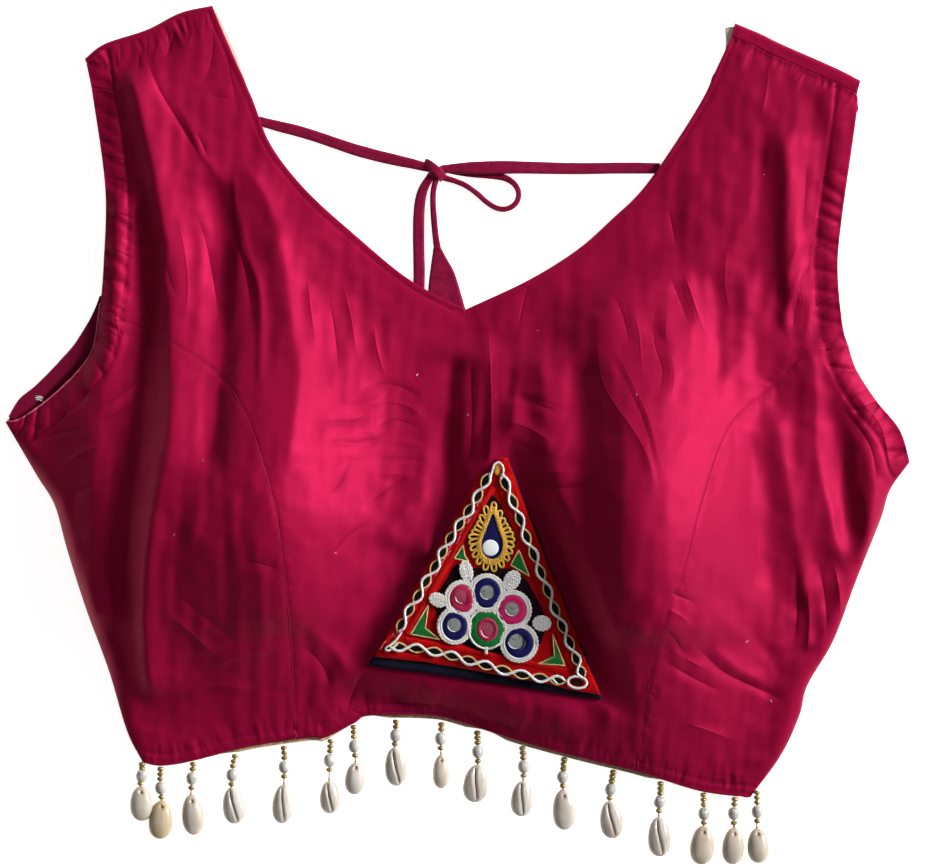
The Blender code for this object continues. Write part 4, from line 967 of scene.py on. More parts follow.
def cowrie_finish():
    """Glazed shell: cream, yellower by the tone attribute, greyer round its outline and at its ends with
    painted shade, with fine lines along it, a tan and pink line where the lips roll into the slit, and dark
    brown painted shade in the slit and the back's hole."""
    material, tree, shader, place = finish_of("cowrie_porcelain", 0.25, specular=0.4, coat=0.3)
    shader.inputs["Subsurface Weight"].default_value = 0.35
    shader.inputs["Subsurface Radius"].default_value = (1.0, 0.9, 0.8)
    shader.inputs["Subsurface Scale"].default_value = 0.003
    tone, slit, lip, edge = (point_value(tree, label) for label in ("tone", "slit", "lip", "edge"))
    out = use_effect(tree, "grit", Place=place, Fine=520.0, Broad=110.0)
    drawn = add(tree, "ShaderNodeMapping", {"Vector": place, "Scale": (1100, 90, 400)})
    lines = noise(tree, drawn.outputs[0], 1.0, 3.0)
    pale = blend(tree, spread(tree, out["Patch"], 0.35, 0.65), (0.60, 0.555, 0.50), (0.74, 0.71, 0.67))
    pale = blend(tree, spread(tree, lines, 0.35, 0.75, 0, 0.35), pale, (0.50, 0.43, 0.36))
    # Greyer round the outline and at the ends: painted shade.
    pale = blend(tree, sum_of(tree, "MULTIPLY", edge, 0.75), pale, (0.33, 0.265, 0.205))
    aged = blend(tree, tone, pale, (0.60, 0.42, 0.18))
    rolled = blend(tree, sum_of(tree, "MULTIPLY", lip, 0.5), aged, (0.50, 0.33, 0.25))
    # Dark brown in the slit and the back's hole: painted shade of the opening.
    dark = blend(tree, sum_of(tree, "MULTIPLY", slit, 0.9), rolled, (0.15, 0.075, 0.05))
    tree.links.new(dark, shader.inputs["Base Color"])
    relief(tree, shader, lines, SHELL_RELIEF, 0.4)
    return material


COWRIE = cowrie_finish()


def floor_finish():
    """A pale floor that also glows a little, so that its shadows stay faint."""
    material, tree, shader, place = finish_of("pale_floor", 0.9, specular=0.1)
    out = use_effect(tree, "grit", Place=place, Fine=90.0, Broad=4.0)
    tree.links.new(
        blend(tree, out["Patch"], (0.84, 0.84, 0.84), (0.88, 0.88, 0.88)), shader.inputs["Base Color"],
    )
    shader.inputs["Emission Color"].default_value = (1, 1, 1, 1)
    shader.inputs["Emission Strength"].default_value = FLOOR_GLOW
    return material


# ---- The cloth's form ----

# Columns: a crease's height (a trough is negative), its half widths to the left and right of its
# direction, how sharp it is (2 is a round bell), and the points that its crest runs through.
Crease = namedtuple("Crease", "height left right sharp points")
BROAD, MIDDLING = 7.5, 3.9  # from these half widths on, a crease is broad or middling
BROAD_TALL, MIDDLING_TALL = 2.0, 1.25  # times its stated height
NARROW = 0.72  # of its stated half widths that a narrower crease gets
CREASE_DEPTH = 0.8  # of its height that each crease keeps
STATED_CREASES = table(
    Crease,
    (4, 7.5, 12, 1.5, ((-150.2, -135), (-154.8, -102.5), (-153.2, -62.5), (-141.8, 2.5), (-142.2, 52.5),
     (-143.8, 92.5), (-149.8, 125), (-157.2, 160), (-164.2, 186.5))),
    (-1.6, 7.5, 6, 1.8, ((-161.8, -102.5), (-162.8, -52.5), (-157.8, -2.5), (-155.8, 47.5), (-158.8, 92.5),
     (-161.8, 122.5))),
    (2.6, 16, 8.5, 1.8, ((-172.8, -102.5), (-178.8, -62.5), (-179.8, -7.5), (-174.8, 47.5), (-170.8, 92.5),
     (-169.8, 127.5))),
    (2.7, 34, 24, 1.7, ((-80.8, -102.5), (-81.8, -62.5), (-82.8, -17.5), (-81.8, 27.5), (-86.8, 67.5),
     (-97.8, 107.5))),
    (2.6, 30, 20, 1.8, ((-19.8, -67.5), (-10.8, -37.5), (-1.8, -7.5), (4.2, 20), (8.2, 52.5))),
    (1.7, 20, 13, 1.8, ((45.2, -17.5), (44.2, 2.5), (43.2, 22.5), (41.2, 47.5))),
    (-1.5, 6, 5, 1.8, ((184.2, 45), (180.2, 67.5), (179.8, 97.5), (181.8, 127.5), (186.2, 157.5))),
    (1, 12, 6, 1.7, ((-36.8, -134), (-13.8, -136.5), (11.2, -139), (41.2, -142.5), (66.2, -145.5))),
    (3.4, 22, 40, 1.7, ((91.2, -107.5), (92.2, -62.5), (93.2, -22.5), (91.2, 17.5), (83.2, 52.5),
     (74.2, 82.5))),
    (2.6, 22, 8, 1.8, ((205.2, -67.5), (207.2, -22.5), (202.2, 17.5), (196.2, 52.5))),
    (-2.4, 9, 7, 1.8, ((-122.8, -22.5), (-118.2, 17.5), (-117.8, 67.5), (-117.8, 105), (-123.8, 131.5))),
    (1.7, 9, 7, 1.4, ((-83.8, -18.5), (-80.8, 0), (-77.2, 31.5), (-82.2, 55), (-88.8, 97.5), (-97.8, 122.5),
     (-109.8, 137.5))),
    (0.9, 2, 2.6, 1.3, ((-97.8, 21.5), (-97.8, 67.5), (-103.8, 86.5), (-108.8, 100), (-112.2, 133.5))),
    (-1.1, 2.2, 3.4, 1.2, ((-126.8, 135.5), (-133.8, 147.5), (-139.8, 157.5), (-148.8, 172.5),
     (-157.2, 192.5))),
    (0.9, 2.2, 4.5, 1.3, ((-113.2, 123), (-120.2, 130.5), (-126.2, 138.5), (-133.8, 153.5),
     (-140.8, 168.5))),
    (0.8, 2.4, 2.6, 1.5, ((-165.8, 42.5), (-168.8, 52.5), (-170.2, 65))),
    (0.9, 2.2, 2.6, 1.4, ((-176.8, 13.5), (-167.8, 18.5), (-153.8, 30.5))),
    (-0.7, 2.2, 2.4, 1.6, ((-182.8, 5.5), (-172.8, 9.5), (-155.8, 18.5))),
    (0.6, 2, 2, 1.5, ((-148.8, 37.5), (-145.8, 67.5), (-146.8, 86.5))),
    (-0.8, 2.4, 2.6, 1.4, ((-107.2, -61.5), (-98.8, -62.5), (-86.8, -65.5))),
    (1.5, 4.5, 4, 1.5, ((-81.2, -92.5), (-69.8, -99.5), (-58.8, -110), (-52.8, -124.5))),
    (-1, 3.5, 3.5, 1.6, ((-78.8, -102.5), (-67.8, -113.5), (-62.8, -127.5))),
    (1, 3.4, 3.4, 1.6, ((-128.8, -116.5), (-108.8, -110), (-80.8, -102.5))),
    (1.1, 3.6, 3.4, 1.5, ((-146.2, -86.5), (-132.8, -96.5), (-115.8, -113.5))),
    (-0.8, 3, 3, 1.6, ((-140.8, -77.5), (-126.2, -88.5), (-109.8, -102.5))),
    (0.9, 3.6, 3.4, 1.6, ((-138.8, -132.5), (-121.2, -124.5), (-97.8, -127.5))),
    (0.7, 5, 5, 1.8, ((-130.8, -62.5), (-128.8, -42.5), (-124.8, -22.5))),
    (-0.6, 4, 4, 1.8, ((-116.2, -102.5), (-112.8, -72.5), (-113.8, -42.5))),
    (0.6, 3.5, 4, 1.8, ((-97.8, -102.5), (-96.8, -72.5), (-100.8, -42.5))),
    (1, 4, 4, 1.6, ((-39.8, -55), (-27.8, -40), (-12.8, -26.5))),
    (-0.8, 3.2, 3.2, 1.6, ((-48.8, -37.5), (-36.8, -28.5), (-20.8, -17.5))),
    (0.9, 4, 4, 1.7, ((-52.8, -82.5), (-42.8, -67.5), (-29.8, -56.5))),
    (-0.6, 3, 3, 1.7, ((-63.8, -62.5), (-53.8, -50), (-42.8, -42.5))),
    (-0.9, 3.4, 3.4, 1.6, ((-56.2, -142.5), (-52.8, -130), (-45.8, -114.5))),
    (0.9, 4, 3.6, 1.6, ((-40.8, -140), (-34.8, -124.5), (-23.8, -112.5))),
    (-0.9, 1.8, 2.2, 1.4, ((-69.8, 8.5), (-60.8, 7), (-50.8, 7.5), (-43.8, 11.5))),
    (-0.8, 1.8, 2.2, 1.4, ((-63.8, -0.5), (-53.8, -3), (-42.8, -1.5), (-32.8, 3.5))),
    (0.8, 2, 2.4, 1.4, ((-58.8, 16.5), (-47.8, 15.5), (-35.8, 19.5))),
    (-1, 2.2, 2.4, 1.4, ((-49.8, 22.5), (-38.8, 25.5), (-26.8, 23.5), (-16.8, 16.5))),
    (0.9, 2, 2.4, 1.4, ((-46.8, 11.5), (-36.8, 16.5), (-24.8, 14.5), (-14.8, 7.5))),
    (-0.8, 2, 2.2, 1.4, ((-42.8, 3.5), (-30.8, 7.5), (-16.8, 2.5))),
    (0.6, 1.8, 2, 1.5, ((-44.8, -5.5), (-30.8, -3.5), (-12.8, -6.5))),
    (-0.6, 1.8, 2, 1.5, ((-43.8, -12.5), (-28.8, -11.5), (-12.8, -13.5))),
    (0.5, 1.8, 2, 1.5, ((-42.8, -20.5), (-29.8, -19.5), (-13.8, -22.5))),
    (0.9, 3, 3, 1.6, ((-35.8, 28.5), (-39.8, 42.5), (-41.8, 55))),
    (-0.9, 3.5, 3.5, 1.7, ((-58.8, 31.5), (-60.8, 50), (-63.8, 67.5))),
    (0.7, 3, 3, 1.7, ((-69.8, 42.5), (-72.8, 62.5), (-74.8, 80))),
    (0.7, 3, 3.4, 1.7, ((-49.8, 37.5), (-52.8, 57.5), (-57.8, 77.5))),
    (-0.8, 3, 3, 1.6, ((-63.8, -32.5), (-55.8, -20.5), (-52.8, -8.5))),
    (-2.2, 8, 7, 1.9, ((-4.8, -102.5), (-7.8, -62.5), (-5.8, -17.5), (-3.8, 17.5), (-2.8, 45))),
    (1.4, 3.4, 3.6, 1.6, ((15.2, -22.5), (16.8, 7.5), (16.2, 37.5), (15.2, 58.5))),
    (-0.9, 3, 3, 1.7, ((6.2, -17.5), (7.2, 12.5), (6.2, 42.5))),
    (-1.1, 2.6, 2.8, 1.5, ((24.2, 20), (36.2, 16.5), (52.2, 9.5))),
    (0.9, 2.6, 2.8, 1.5, ((22.2, 7.5), (35.2, 3.5), (49.2, -5.5))),
    (-1.9, 2.6, 3.2, 1.3, ((27.2, -19.5), (34.2, -23), (43.8, -26), (67.2, -24.5))),
    (1, 2.6, 2.6, 1.5, ((27.2, -13.5), (36.2, -16.5), (51.2, -18.5), (65.2, -16.5))),
    (0.8, 4, 4, 1.7, ((41.2, -2.5), (43.2, 17.5), (41.2, 42.5))),
    (-0.8, 3, 3, 1.6, ((30.2, 52.5), (33.2, 67.5), (36.2, 77.5))),
    (0.8, 4, 4, 1.8, ((-16.8, -92.5), (-18.8, -72.5), (-14.8, -47.5))),
    (1.5, 9, 12, 1.5, ((82.2, -87.5), (81.2, -42.5), (82.2, -2.5), (77.2, 20), (72.2, 50), (66.2, 67.5))),
    (-1.8, 9, 8, 1.9, ((63.2, -82.5), (61.2, -32.5), (61.2, 7.5), (60.2, 42.5))),
    (0.9, 1.8, 2.6, 1.3, ((96.2, -28.5), (93.8, -12.5), (86.2, 2.5), (77.2, 15.5), (71.2, 27.5),
     (68.8, 53.5))),
    (-0.8, 2, 2.6, 1.3, ((116.2, 51.5), (111.2, 65), (104.8, 81))),
    (1.1, 3, 3.4, 1.5, ((123.2, 50), (117.2, 67.5), (112.2, 82.5))),
    (-0.9, 2.2, 2.4, 1.4, ((98.2, 16.5), (101.2, 31.5), (97.2, 47.5), (99.2, 67.5))),
    (0.8, 2.2, 2.6, 1.4, ((105.2, 15.5), (107.2, 32.5), (103.2, 48.5), (105.2, 67.5))),
    (0.8, 2.6, 3, 1.5, ((91.2, 27.5), (90.2, 47.5), (87.2, 65))),
    (-1, 4, 4, 1.8, ((127.2, 17.5), (129.2, 47.5), (127.2, 86.5))),
    (1.2, 4.5, 4.5, 1.8, ((139.2, 22.5), (142.2, 52.5), (143.2, 86.5))),
    (-0.8, 2.4, 2.6, 1.5, ((85.2, 42.5), (82.2, 58.5), (76.2, 72.5))),
    (2.6, 8.5, 8, 1.6, ((174.2, -87.5), (170.2, -62.5), (165.2, -32.5), (160.2, -2.5), (156.2, 17.5))),
    (-1.8, 7, 7, 1.9, ((153.2, -82.5), (150.2, -52.5), (147.2, -17.5), (145.2, 2.5))),
    (2, 13, 4.5, 1.6, ((192.2, -70), (186.2, -42.5), (178.2, -8.5), (178.2, 17.5), (175.2, 50))),
    (-2.2, 7, 8, 1.9, ((196.2, -62.5), (194.2, -32.5), (190.2, -2.5), (187.2, 20))),
    (1.4, 4, 5, 1.7, ((205.2, -62.5), (203.2, -37.5), (199.2, -17.5))),
    (1.7, 2.4, 2.8, 1.4, ((174.2, -110), (175.2, -92.5), (174.2, -75))),
    (-1.3, 2.6, 2.6, 1.6, ((167.2, -107.5), (169.2, -87.5), (168.2, -62.5))),
    (-1.3, 3, 3, 1.6, ((184.2, -102.5), (183.2, -82.5), (179.2, -60.5))),
    (1.1, 3, 3, 1.6, ((191.2, -92.5), (190.2, -77.5), (187.2, -62.5))),
    (1.4, 2.6, 3.2, 1.5, ((160.2, 46.5), (163.8, 62.5), (169.8, 78.5), (174.2, 88.5))),
    (-1, 2.6, 2.8, 1.6, ((155.2, 49.5), (158.2, 65), (163.2, 82.5))),
    (1, 2.2, 2.4, 1.5, ((172.2, 41.5), (174.2, 55), (175.8, 68.5))),
    (-1.1, 2.2, 2.4, 1.5, ((162.2, 61.5), (170.8, 84.5), (177.2, 97.5), (181.2, 107.5))),
    (1.4, 3.4, 3.6, 1.5, ((195.2, 23.5), (204.2, 13.5), (212.2, 1.5), (216.2, -23.5))),
    (-1.1, 3, 3, 1.6, ((190.2, 15.5), (198.2, 5.5), (206.2, -7.5), (209.2, -27.5))),
    (-0.9, 2.6, 2.6, 1.5, ((202.2, 31.5), (212.2, 19.5), (219.2, 5.5))),
    (-0.9, 2, 2.2, 1.4, ((103.2, -76.5), (109.2, -79), (117.2, -82.5))),
    (0.8, 2, 2.4, 1.4, ((101.8, -84.5), (109.2, -88.5), (116.2, -94.5))),
    (-0.9, 2.2, 2.4, 1.4, ((101.2, -94.5), (106.2, -99.5), (112.2, -108.5))),
    (-1.2, 2.4, 2.8, 1.4, ((98.8, -109.5), (107.2, -114.5), (117.2, -120.5), (132.2, -128))),
    (0.9, 2.4, 2.6, 1.5, ((102.2, -104.5), (113.2, -110.5), (124.2, -116.5))),
    (-1.6, 2.8, 3.2, 1.4, ((115.2, -101.5), (128.2, -114.5), (137.2, -120.5), (165.2, -133.5))),
    (1.3, 4, 3.4, 1.5, ((124.2, -102.5), (139.2, -116.5), (159.2, -126.5))),
    (0.7, 5, 5, 1.8, ((121.2, -82.5), (133.2, -93.5), (143.2, -107.5))),
    (-0.8, 4, 4, 1.7, ((141.2, -92.5), (154.2, -108.5), (166.2, -127.5))),
    (0.9, 3, 3, 1.6, ((109.2, -142.5), (121.2, -145.5), (139.2, -152.5))),
    (-0.9, 4, 4, 1.8, ((51.2, -102.5), (61.2, -127.5), (67.2, -150))),
    (0.9, 4, 4, 1.8, ((77.2, -150), (74.2, -127.5), (76.2, -102.5))),
    (2.3, 5, 8, 1.7, ((165.2, 61.5), (164.8, 92.5), (164.2, 127.5), (162.2, 155))),
    (-0.9, 7, 6, 1.9, ((141.2, 72.5), (149.2, 102.5), (153.2, 137.5), (152.2, 162.5))),
    (0.8, 6, 6.5, 1.8, ((123.2, 57.5), (117.2, 82.5), (116.2, 107.5), (123.2, 142.5))),
    (0.8, 4, 4.5, 1.8, ((132.2, 97.5), (132.2, 127.5), (135.2, 157.5))),
    (-1.3, 4.5, 4.5, 1.8, ((177.2, 142.5), (178.2, 160), (175.2, 175.5))),
    (-1, 3, 3, 1.7, ((171.2, 92.5), (173.2, 117.5), (174.2, 137.5))),
    (0.7, 3, 3, 1.6, ((151.2, 157.5), (154.2, 172.5), (155.2, 184.5))),
    (-0.7, 3, 3, 1.6, ((109.2, 92.5), (107.2, 103.5), (105.2, 114.5))),
    (0.6, 2.6, 3, 1.6, ((136.2, 57.5), (133.2, 77.5), (135.2, 97.5))),
    (-0.7, 1.6, 2, 1.3, ((-124.8, 137.5), (-127.2, 145), (-130.8, 151.5))),
    (0.8, 1.4, 2.4, 1.2, ((-97.8, 22.5), (-97.8, 67.5), (-102.8, 86.5), (-109.8, 115))),
    (-0.7, 1.8, 2.2, 1.3, ((-101.2, 52.5), (-104.8, 77.5), (-110.8, 99.5), (-115.8, 115))),
    (-0.8, 2.4, 3.4, 1.4, ((-117.8, 52.5), (-121.8, 77.5), (-125.8, 97.5), (-130.8, 111.5))),
    (0.6, 2.4, 3.6, 1.4, ((-135.8, 52.5), (-133.8, 72.5), (-135.8, 92.5), (-139.8, 110.5))),
    (-0.8, 2, 3, 1.4, ((-139.8, 67.5), (-143.8, 79.5), (-148.8, 86.5))),
    (0.7, 2, 2.4, 1.3, ((-160.8, 95), (-155.8, 99.5), (-150.8, 98.5), (-148.8, 92.5))),
    (-0.5, 1.8, 2, 1.3, ((-162.8, 110), (-157.8, 106.5), (-153.8, 101.5))),
    (-0.6, 2.8, 3.4, 1.5, ((-129.8, 172.5), (-123.8, 182.5), (-121.8, 197.5), (-122.8, 206.5))),
    (-0.7, 2, 2.6, 1.4, ((-145.8, 187.5), (-142.8, 195.5), (-140.8, 202.5))),
    (0.5, 2, 2.4, 1.4, ((-151.8, 184.5), (-149.8, 192.5), (-147.8, 198.5))),
    (-0.7, 2, 2.4, 1.4, ((-158.8, 180.5), (-158.8, 187.5), (-157.8, 194.5))),
    (0.5, 2.2, 2.6, 1.4, ((-135.8, 191.5), (-132.8, 198.5), (-131.2, 204.5))),
    (-0.5, 2.6, 3.4, 1.5, ((-108.8, 157.5), (-112.8, 177.5), (-116.8, 197.5))),
    (-0.35, 1.6, 1.8, 1.4, ((-126.2, 169.5), (-111.2, 167.5), (-102.8, 168.5))),
    (0.3, 1.6, 2, 1.4, ((-122.2, 151.5), (-110.8, 148.5), (-100.8, 146.5))),
    (-0.8, 1.6, 2.2, 1.3, ((169.8, 42.5), (167.2, 52.5), (169.2, 67.5), (174.2, 82.5), (178.2, 95))),
    (0.7, 1.6, 2.2, 1.3, ((167.8, 41.5), (164.2, 55), (165.2, 67.5), (170.2, 82.5), (175.2, 94.5))),
    (-0.7, 1.8, 2.2, 1.3, ((164.8, 42.5), (159.2, 58.5), (160.2, 69.5), (166.2, 83.5))),
    (-0.6, 1.5, 1.8, 1.3, ((172.8, 41.5), (172.8, 52.5), (174.2, 67.5))),
    (0.6, 1.8, 2.4, 1.3, ((157.2, 52.5), (159.2, 67.5), (166.2, 86.5), (174.2, 103.5))),
    (-0.6, 2.4, 3.2, 1.5, ((91.2, 58.5), (97.2, 52.5), (105.2, 42.5), (113.2, 27.5))),
    (-0.6, 3, 4, 1.6, ((116.2, 92.5), (121.2, 67.5), (129.2, 42.5), (133.2, 21.5))),
    (-0.8, 1.4, 1.8, 1.2, ((73.2, 45), (82.2, 27.5), (91.2, 7.5), (97.2, -17.5), (98.2, -28.5))),
    (0.6, 1.4, 2.2, 1.2, ((76.2, 45), (85.2, 27.5), (94.2, 6.5), (99.2, -17.5))),
    (0.5, 3.4, 4.4, 1.7, ((121.2, 137.5), (124.2, 107.5), (127.2, 77.5))),
    (-0.5, 3, 4, 1.7, ((151.2, 172.5), (150.2, 147.5), (153.2, 122.5))),
    (-0.6, 1.6, 2, 1.3, ((21.2, 17.5), (31.2, 18.5), (45.2, 15.5), (57.2, 9.5))),
    (-0.5, 1.6, 2, 1.3, ((23.8, -2.5), (35.2, -6.5), (49.2, -12.5))),
    (-0.5, 1.8, 2, 1.3, ((-63.8, -17.5), (-52.8, -12.5), (-39.8, -11.5))),
    (-0.6, 1.8, 2.2, 1.4, ((-108.8, -85.5), (-97.8, -88.5), (-84.8, -93.5))),
    (0.6, 2.6, 2.8, 1.5, ((-148.8, -112.5), (-130.8, -107.5), (-110.8, -102.5))),
    (-0.6, 2.4, 2.6, 1.5, ((-113.8, -132.5), (-97.8, -127.5), (-81.8, -127.5))),
    (0.6, 2.6, 3, 1.5, ((-198.8, -17.5), (-185.8, -8.5), (-170.8, -3.5))),
    (-0.5, 2.6, 3, 1.5, ((-193.8, -32.5), (-180.8, -25.5), (-166.8, -22.5))),
    (-0.6, 2.2, 2.6, 1.5, ((-208.8, -2.5), (-196.8, 1.5), (-183.8, 2.5))),
)


def as_made(crease):
    """The crease with its height raised if it's broad or middling, and its widths cut if it's narrow."""
    half = max(crease.left, crease.right)
    tall, wide = 1.0, NARROW
    if half >= BROAD:
        tall, wide = BROAD_TALL, 1.0
    elif half >= MIDDLING:
        tall, wide = MIDDLING_TALL, 1.0
    height, left, right = crease.height * tall, crease.left * wide, crease.right * wide
    return crease._replace(height=round(height, 2), left=round(left, 1), right=round(right, 1))


CREASES = [as_made(crease) for crease in STATED_CREASES]


def shoulder_seam(shoulder, up, lap, columns):
    """Where the front meets the back strap that has come over the shoulder."""
    back = FOLD_RADIUS + lap + GAP
    return line_at(shoulder, columns) - back * np.array(up)


NECK_LINES = [line_at(edge, even(40)) for edge in (NECK_LEFT, NECK_RIGHT)]
ARMHOLE_LINES = [
    np.vstack([line_at(low, even(60)), line_at(high, even(80))[1:]])
    for low, high in ((ARMHOLE_LEFT_LOW, ARMHOLE_LEFT_HIGH), (ARMHOLE_RIGHT_LOW, ARMHOLE_RIGHT_HIGH))
]
HEM_LINE = line_at(HEM, even(140))
SIDE_LINES = [line_at(edge, even(100)) for edge in (SIDE_LEFT, SIDE_RIGHT)]
PRINCESS_LINES = [line_at(edge, even(50)) for edge in (PRINCESS_LEFT, PRINCESS_RIGHT)]
SHOULDER_LINES = [
    shoulder_seam(SHOULDER_LEFT, STRAP_UP_LEFT, LAP_LEFT, even(12)),
    shoulder_seam(SHOULDER_RIGHT, STRAP_UP_RIGHT, LAP_RIGHT, even(12)),
]
ARM_BAND = 11.5  # the armhole facing is stitched down this far in
HEM_BAND = 5.6
NECK_BAND = 3.0
# Columns: a stitched band's edge, its width and how much it is gathered.
BANDS = (
    (ARMHOLE_LINES[0], ARM_BAND, 1.0),
    (ARMHOLE_LINES[1], ARM_BAND, 0.9),
    (HEM_LINE, HEM_BAND, 0.45),
    (SHOULDER_LINES[0], 9.0, 0.75),
    (SHOULDER_LINES[1], 5.0, 0.8),
    (PRINCESS_LINES[0], 3.0, 0.35),
    (PRINCESS_LINES[1], 3.0, 0.35),
    (NECK_LINES[0], NECK_BAND, 0.2),
    (NECK_LINES[1], NECK_BAND, 0.2),
)


def cup_height(cup, x, y):
    """A squared cosine of the distance from the cup's top, as a share of its reach on that side."""
    across = (x - cup.x) / np.where(x < cup.x, cup.left, cup.right)
    along = (y - cup.y) / np.where(y < cup.y, cup.down, cup.up)
    return cup.height * np.cos(np.pi / 2 * np.minimum(np.hypot(across, along), 1)) ** 2


def inside_edges(points):
    """The distance to the nearest open edge: neck, armholes, hem or shoulders."""
    lines = [*NECK_LINES, *ARMHOLE_LINES, HEM_LINE, *SHOULDER_LINES]
    return np.min([beside(points, line)[0] for line in lines], axis=0)


def side_roll(points):
    """A quarter round that brings the front down to the back at the side seams."""
    away = np.min([beside(points, line)[0] for line in SIDE_LINES], axis=0)
    return np.sqrt(1 - (1 - np.minimum(away / SIDE_ROLL, 1)) ** 2)


def plain_height(points, inside=None):
    """The front without its folds: the edges' height, air that grows away from them and the cups,
    held to a plane under the stiff patch and brought down at the side seams."""
    x, y = points[..., 0], points[..., 1]
    inside = inside_edges(points) if inside is None else inside
    height = EDGE_TOP + PUFF * (1 - np.exp(-inside / PUFF_REACH))
    height = height + sum(cup_height(cup, x, y) for cup in CUPS)
    level = PATCH_LEVEL[0] + PATCH_LEVEL[1] * (x - PATCH_MIDDLE[0]) + PATCH_LEVEL[2] * (y - PATCH_MIDDLE[1])
    height = level + (height - level) * ease(triangle_out(points, FELT_CORNERS) / PATCH_EASE)
    return SIDE_TOP + (height - SIDE_TOP) * side_roll(points)


# A crease rises from each end over this much of its length, or over this share if that is less.
CREASE_END, CREASE_END_SHARE = 15, 0.28


def crease_height(points):
    """Each crease is a bell across its own curve, of its own width on each side, that rises from
    nothing at both ends; all are added."""
    flat = points.reshape(-1, 2)
    total = np.zeros(len(flat))
    for crease in CREASES:
        line = line_at(crease.points, even(14))
        margin = 3.0 * max(crease.left, crease.right)
        low, high = line.min(axis=0) - margin, line.max(axis=0) + margin
        near = np.flatnonzero(((flat > low) & (flat < high)).all(axis=1))
        if not len(near):
            continue
        away, side, along = beside(flat[near], line)
        share = along / length_of(line)
        width = np.where(side > 0, crease.left, crease.right)
        reach = min(CREASE_END_SHARE, CREASE_END / length_of(line))
        ends = ease(share / reach) * ease((1 - share) / reach)
        total[near] += CREASE_DEPTH * crease.height * ends * bell(away, 0, width, crease.sharp)
    return total.reshape(points.shape[:-1])


def triangle_out(points, corners):
    """How far outside a triangle each point lies; negative inside."""
    corners = np.array(corners, float)
    middle = corners.mean(axis=0)
    best = np.full(points.shape[:-1], -np.inf)
    for a, b in zip(corners, np.roll(corners, -1, axis=0)):
        ahead = (b - a) / np.linalg.norm(b - a)
        out = np.array([ahead[1], -ahead[0]])
        if (middle - a) @ out > 0:
            out = -out
        best = np.maximum(best, (points - a) @ out)
    return best


LONGEST_BAND = 900


def band_puckers(away, along, width, spacing, depth, seed, lean=0.0):
    """Puckers of a stitched band: troughs across it at uneven places, deepest at its stitching
    and gone a little beyond it."""
    gather = noise_line(LONGEST_BAND, spacing, seed)
    finer = noise_line(LONGEST_BAND, spacing * 0.45, seed + 1)
    at = along + lean * away + 40
    deepest = width * 0.75
    return depth * (0.65 * gather(at) + 0.5 * finer(at)) * bell(away, deepest, deepest)


STROKE_START, STROKE_END = 1.4, 1.8  # the mm over which strokes come and go at a band's two sides
STROKE_SHARP = 1.4


def strokes(away, along, start, end, spacing, depth, seed, lean=0.0, thin=0.62):
    """Short sharp troughs across a band, at uneven places along it and of uneven depth: each is a
    narrow bell along the band's length, gone outside the band."""
    rng = np.random.default_rng(seed)
    inside = ease((away - start) / STROKE_START) * ease((end - away) / STROKE_END)
    at = along + lean * away
    total = np.zeros_like(at)
    place = 0.0
    while place < at.max():
        place += spacing * rng.uniform(0.55, 1.6)
        deep, turn = depth * rng.uniform(0.35, 1.2), rng.uniform(-0.25, 0.25)
        total -= deep * bell(at + turn * away, place, thin * rng.uniform(0.8, 1.5), STROKE_SHARP)
    return total * inside


def stitch_groove(away, place, depth, width):
    return -depth * bell(away, place, width)


EDGE_RADIUS = 0.7
EDGE_SHARE = 0.8  # of a quarter round that an edge turns through


def edge_round(away, radius=EDGE_RADIUS):
    """Rounds a cut or turned edge over."""
    near = np.clip(1 - away / radius, 0, 1)
    return -radius * (1 - np.sqrt(1 - near**2)) * EDGE_SHARE


SOFT_STOP = 0.7  # the mm over which a height eases towards its lowest


def above_back(height, roll):
    """Keeps the front off the back under it: the height never falls below the lowest that the two
    leave room for, and eases towards it."""
    low = SIDE_TOP + (LOWEST - SIDE_TOP) * roll
    return low + SOFT_STOP * np.logaddexp(0, (height - low) / SOFT_STOP)


# Columns: an armhole's puckers (spacing, depth, lean) and strokes (spacing, depth, lean, width).
Gather = namedtuple("Gather", "spacing depth lean stroke_spacing stroke_depth stroke_lean thin")
ARM_GATHERS = table(
    Gather,
    (6.5, 0.5, -0.5, 6.0, 1.1, 0.7, 0.75),
    (3.4, 0.4, 0.4, 7.5, 1.7, -0.35, 1.2),
)
ARM_CREST = (6.5, 4.0, 0.45)  # the armhole band's own crown: its place, its width and its height
RIGHT_STROKES_TOP, RIGHT_STROKES_FADE = 136, 12  # above this y the right armhole's strokes are gone
# Columns: how far in from each shoulder seam the strokes reach, their spacing and their depth.
SHOULDER_STROKES = ((9.0, 6.0, 0.9), (5.0, 2.2, 0.5))
# Columns: the height of each layer of unevenness, its seed, and its longest and shortest wave.
UNEVEN_LAYERS = ((0.42, 11, 46, 16), (0.16, 12, 15, 6))
DRAWN_LAYER = (0.20, 13, 12, 5)  # one more, drawn out along y
DRAWN_OUT = np.array([1.0, 0.22])


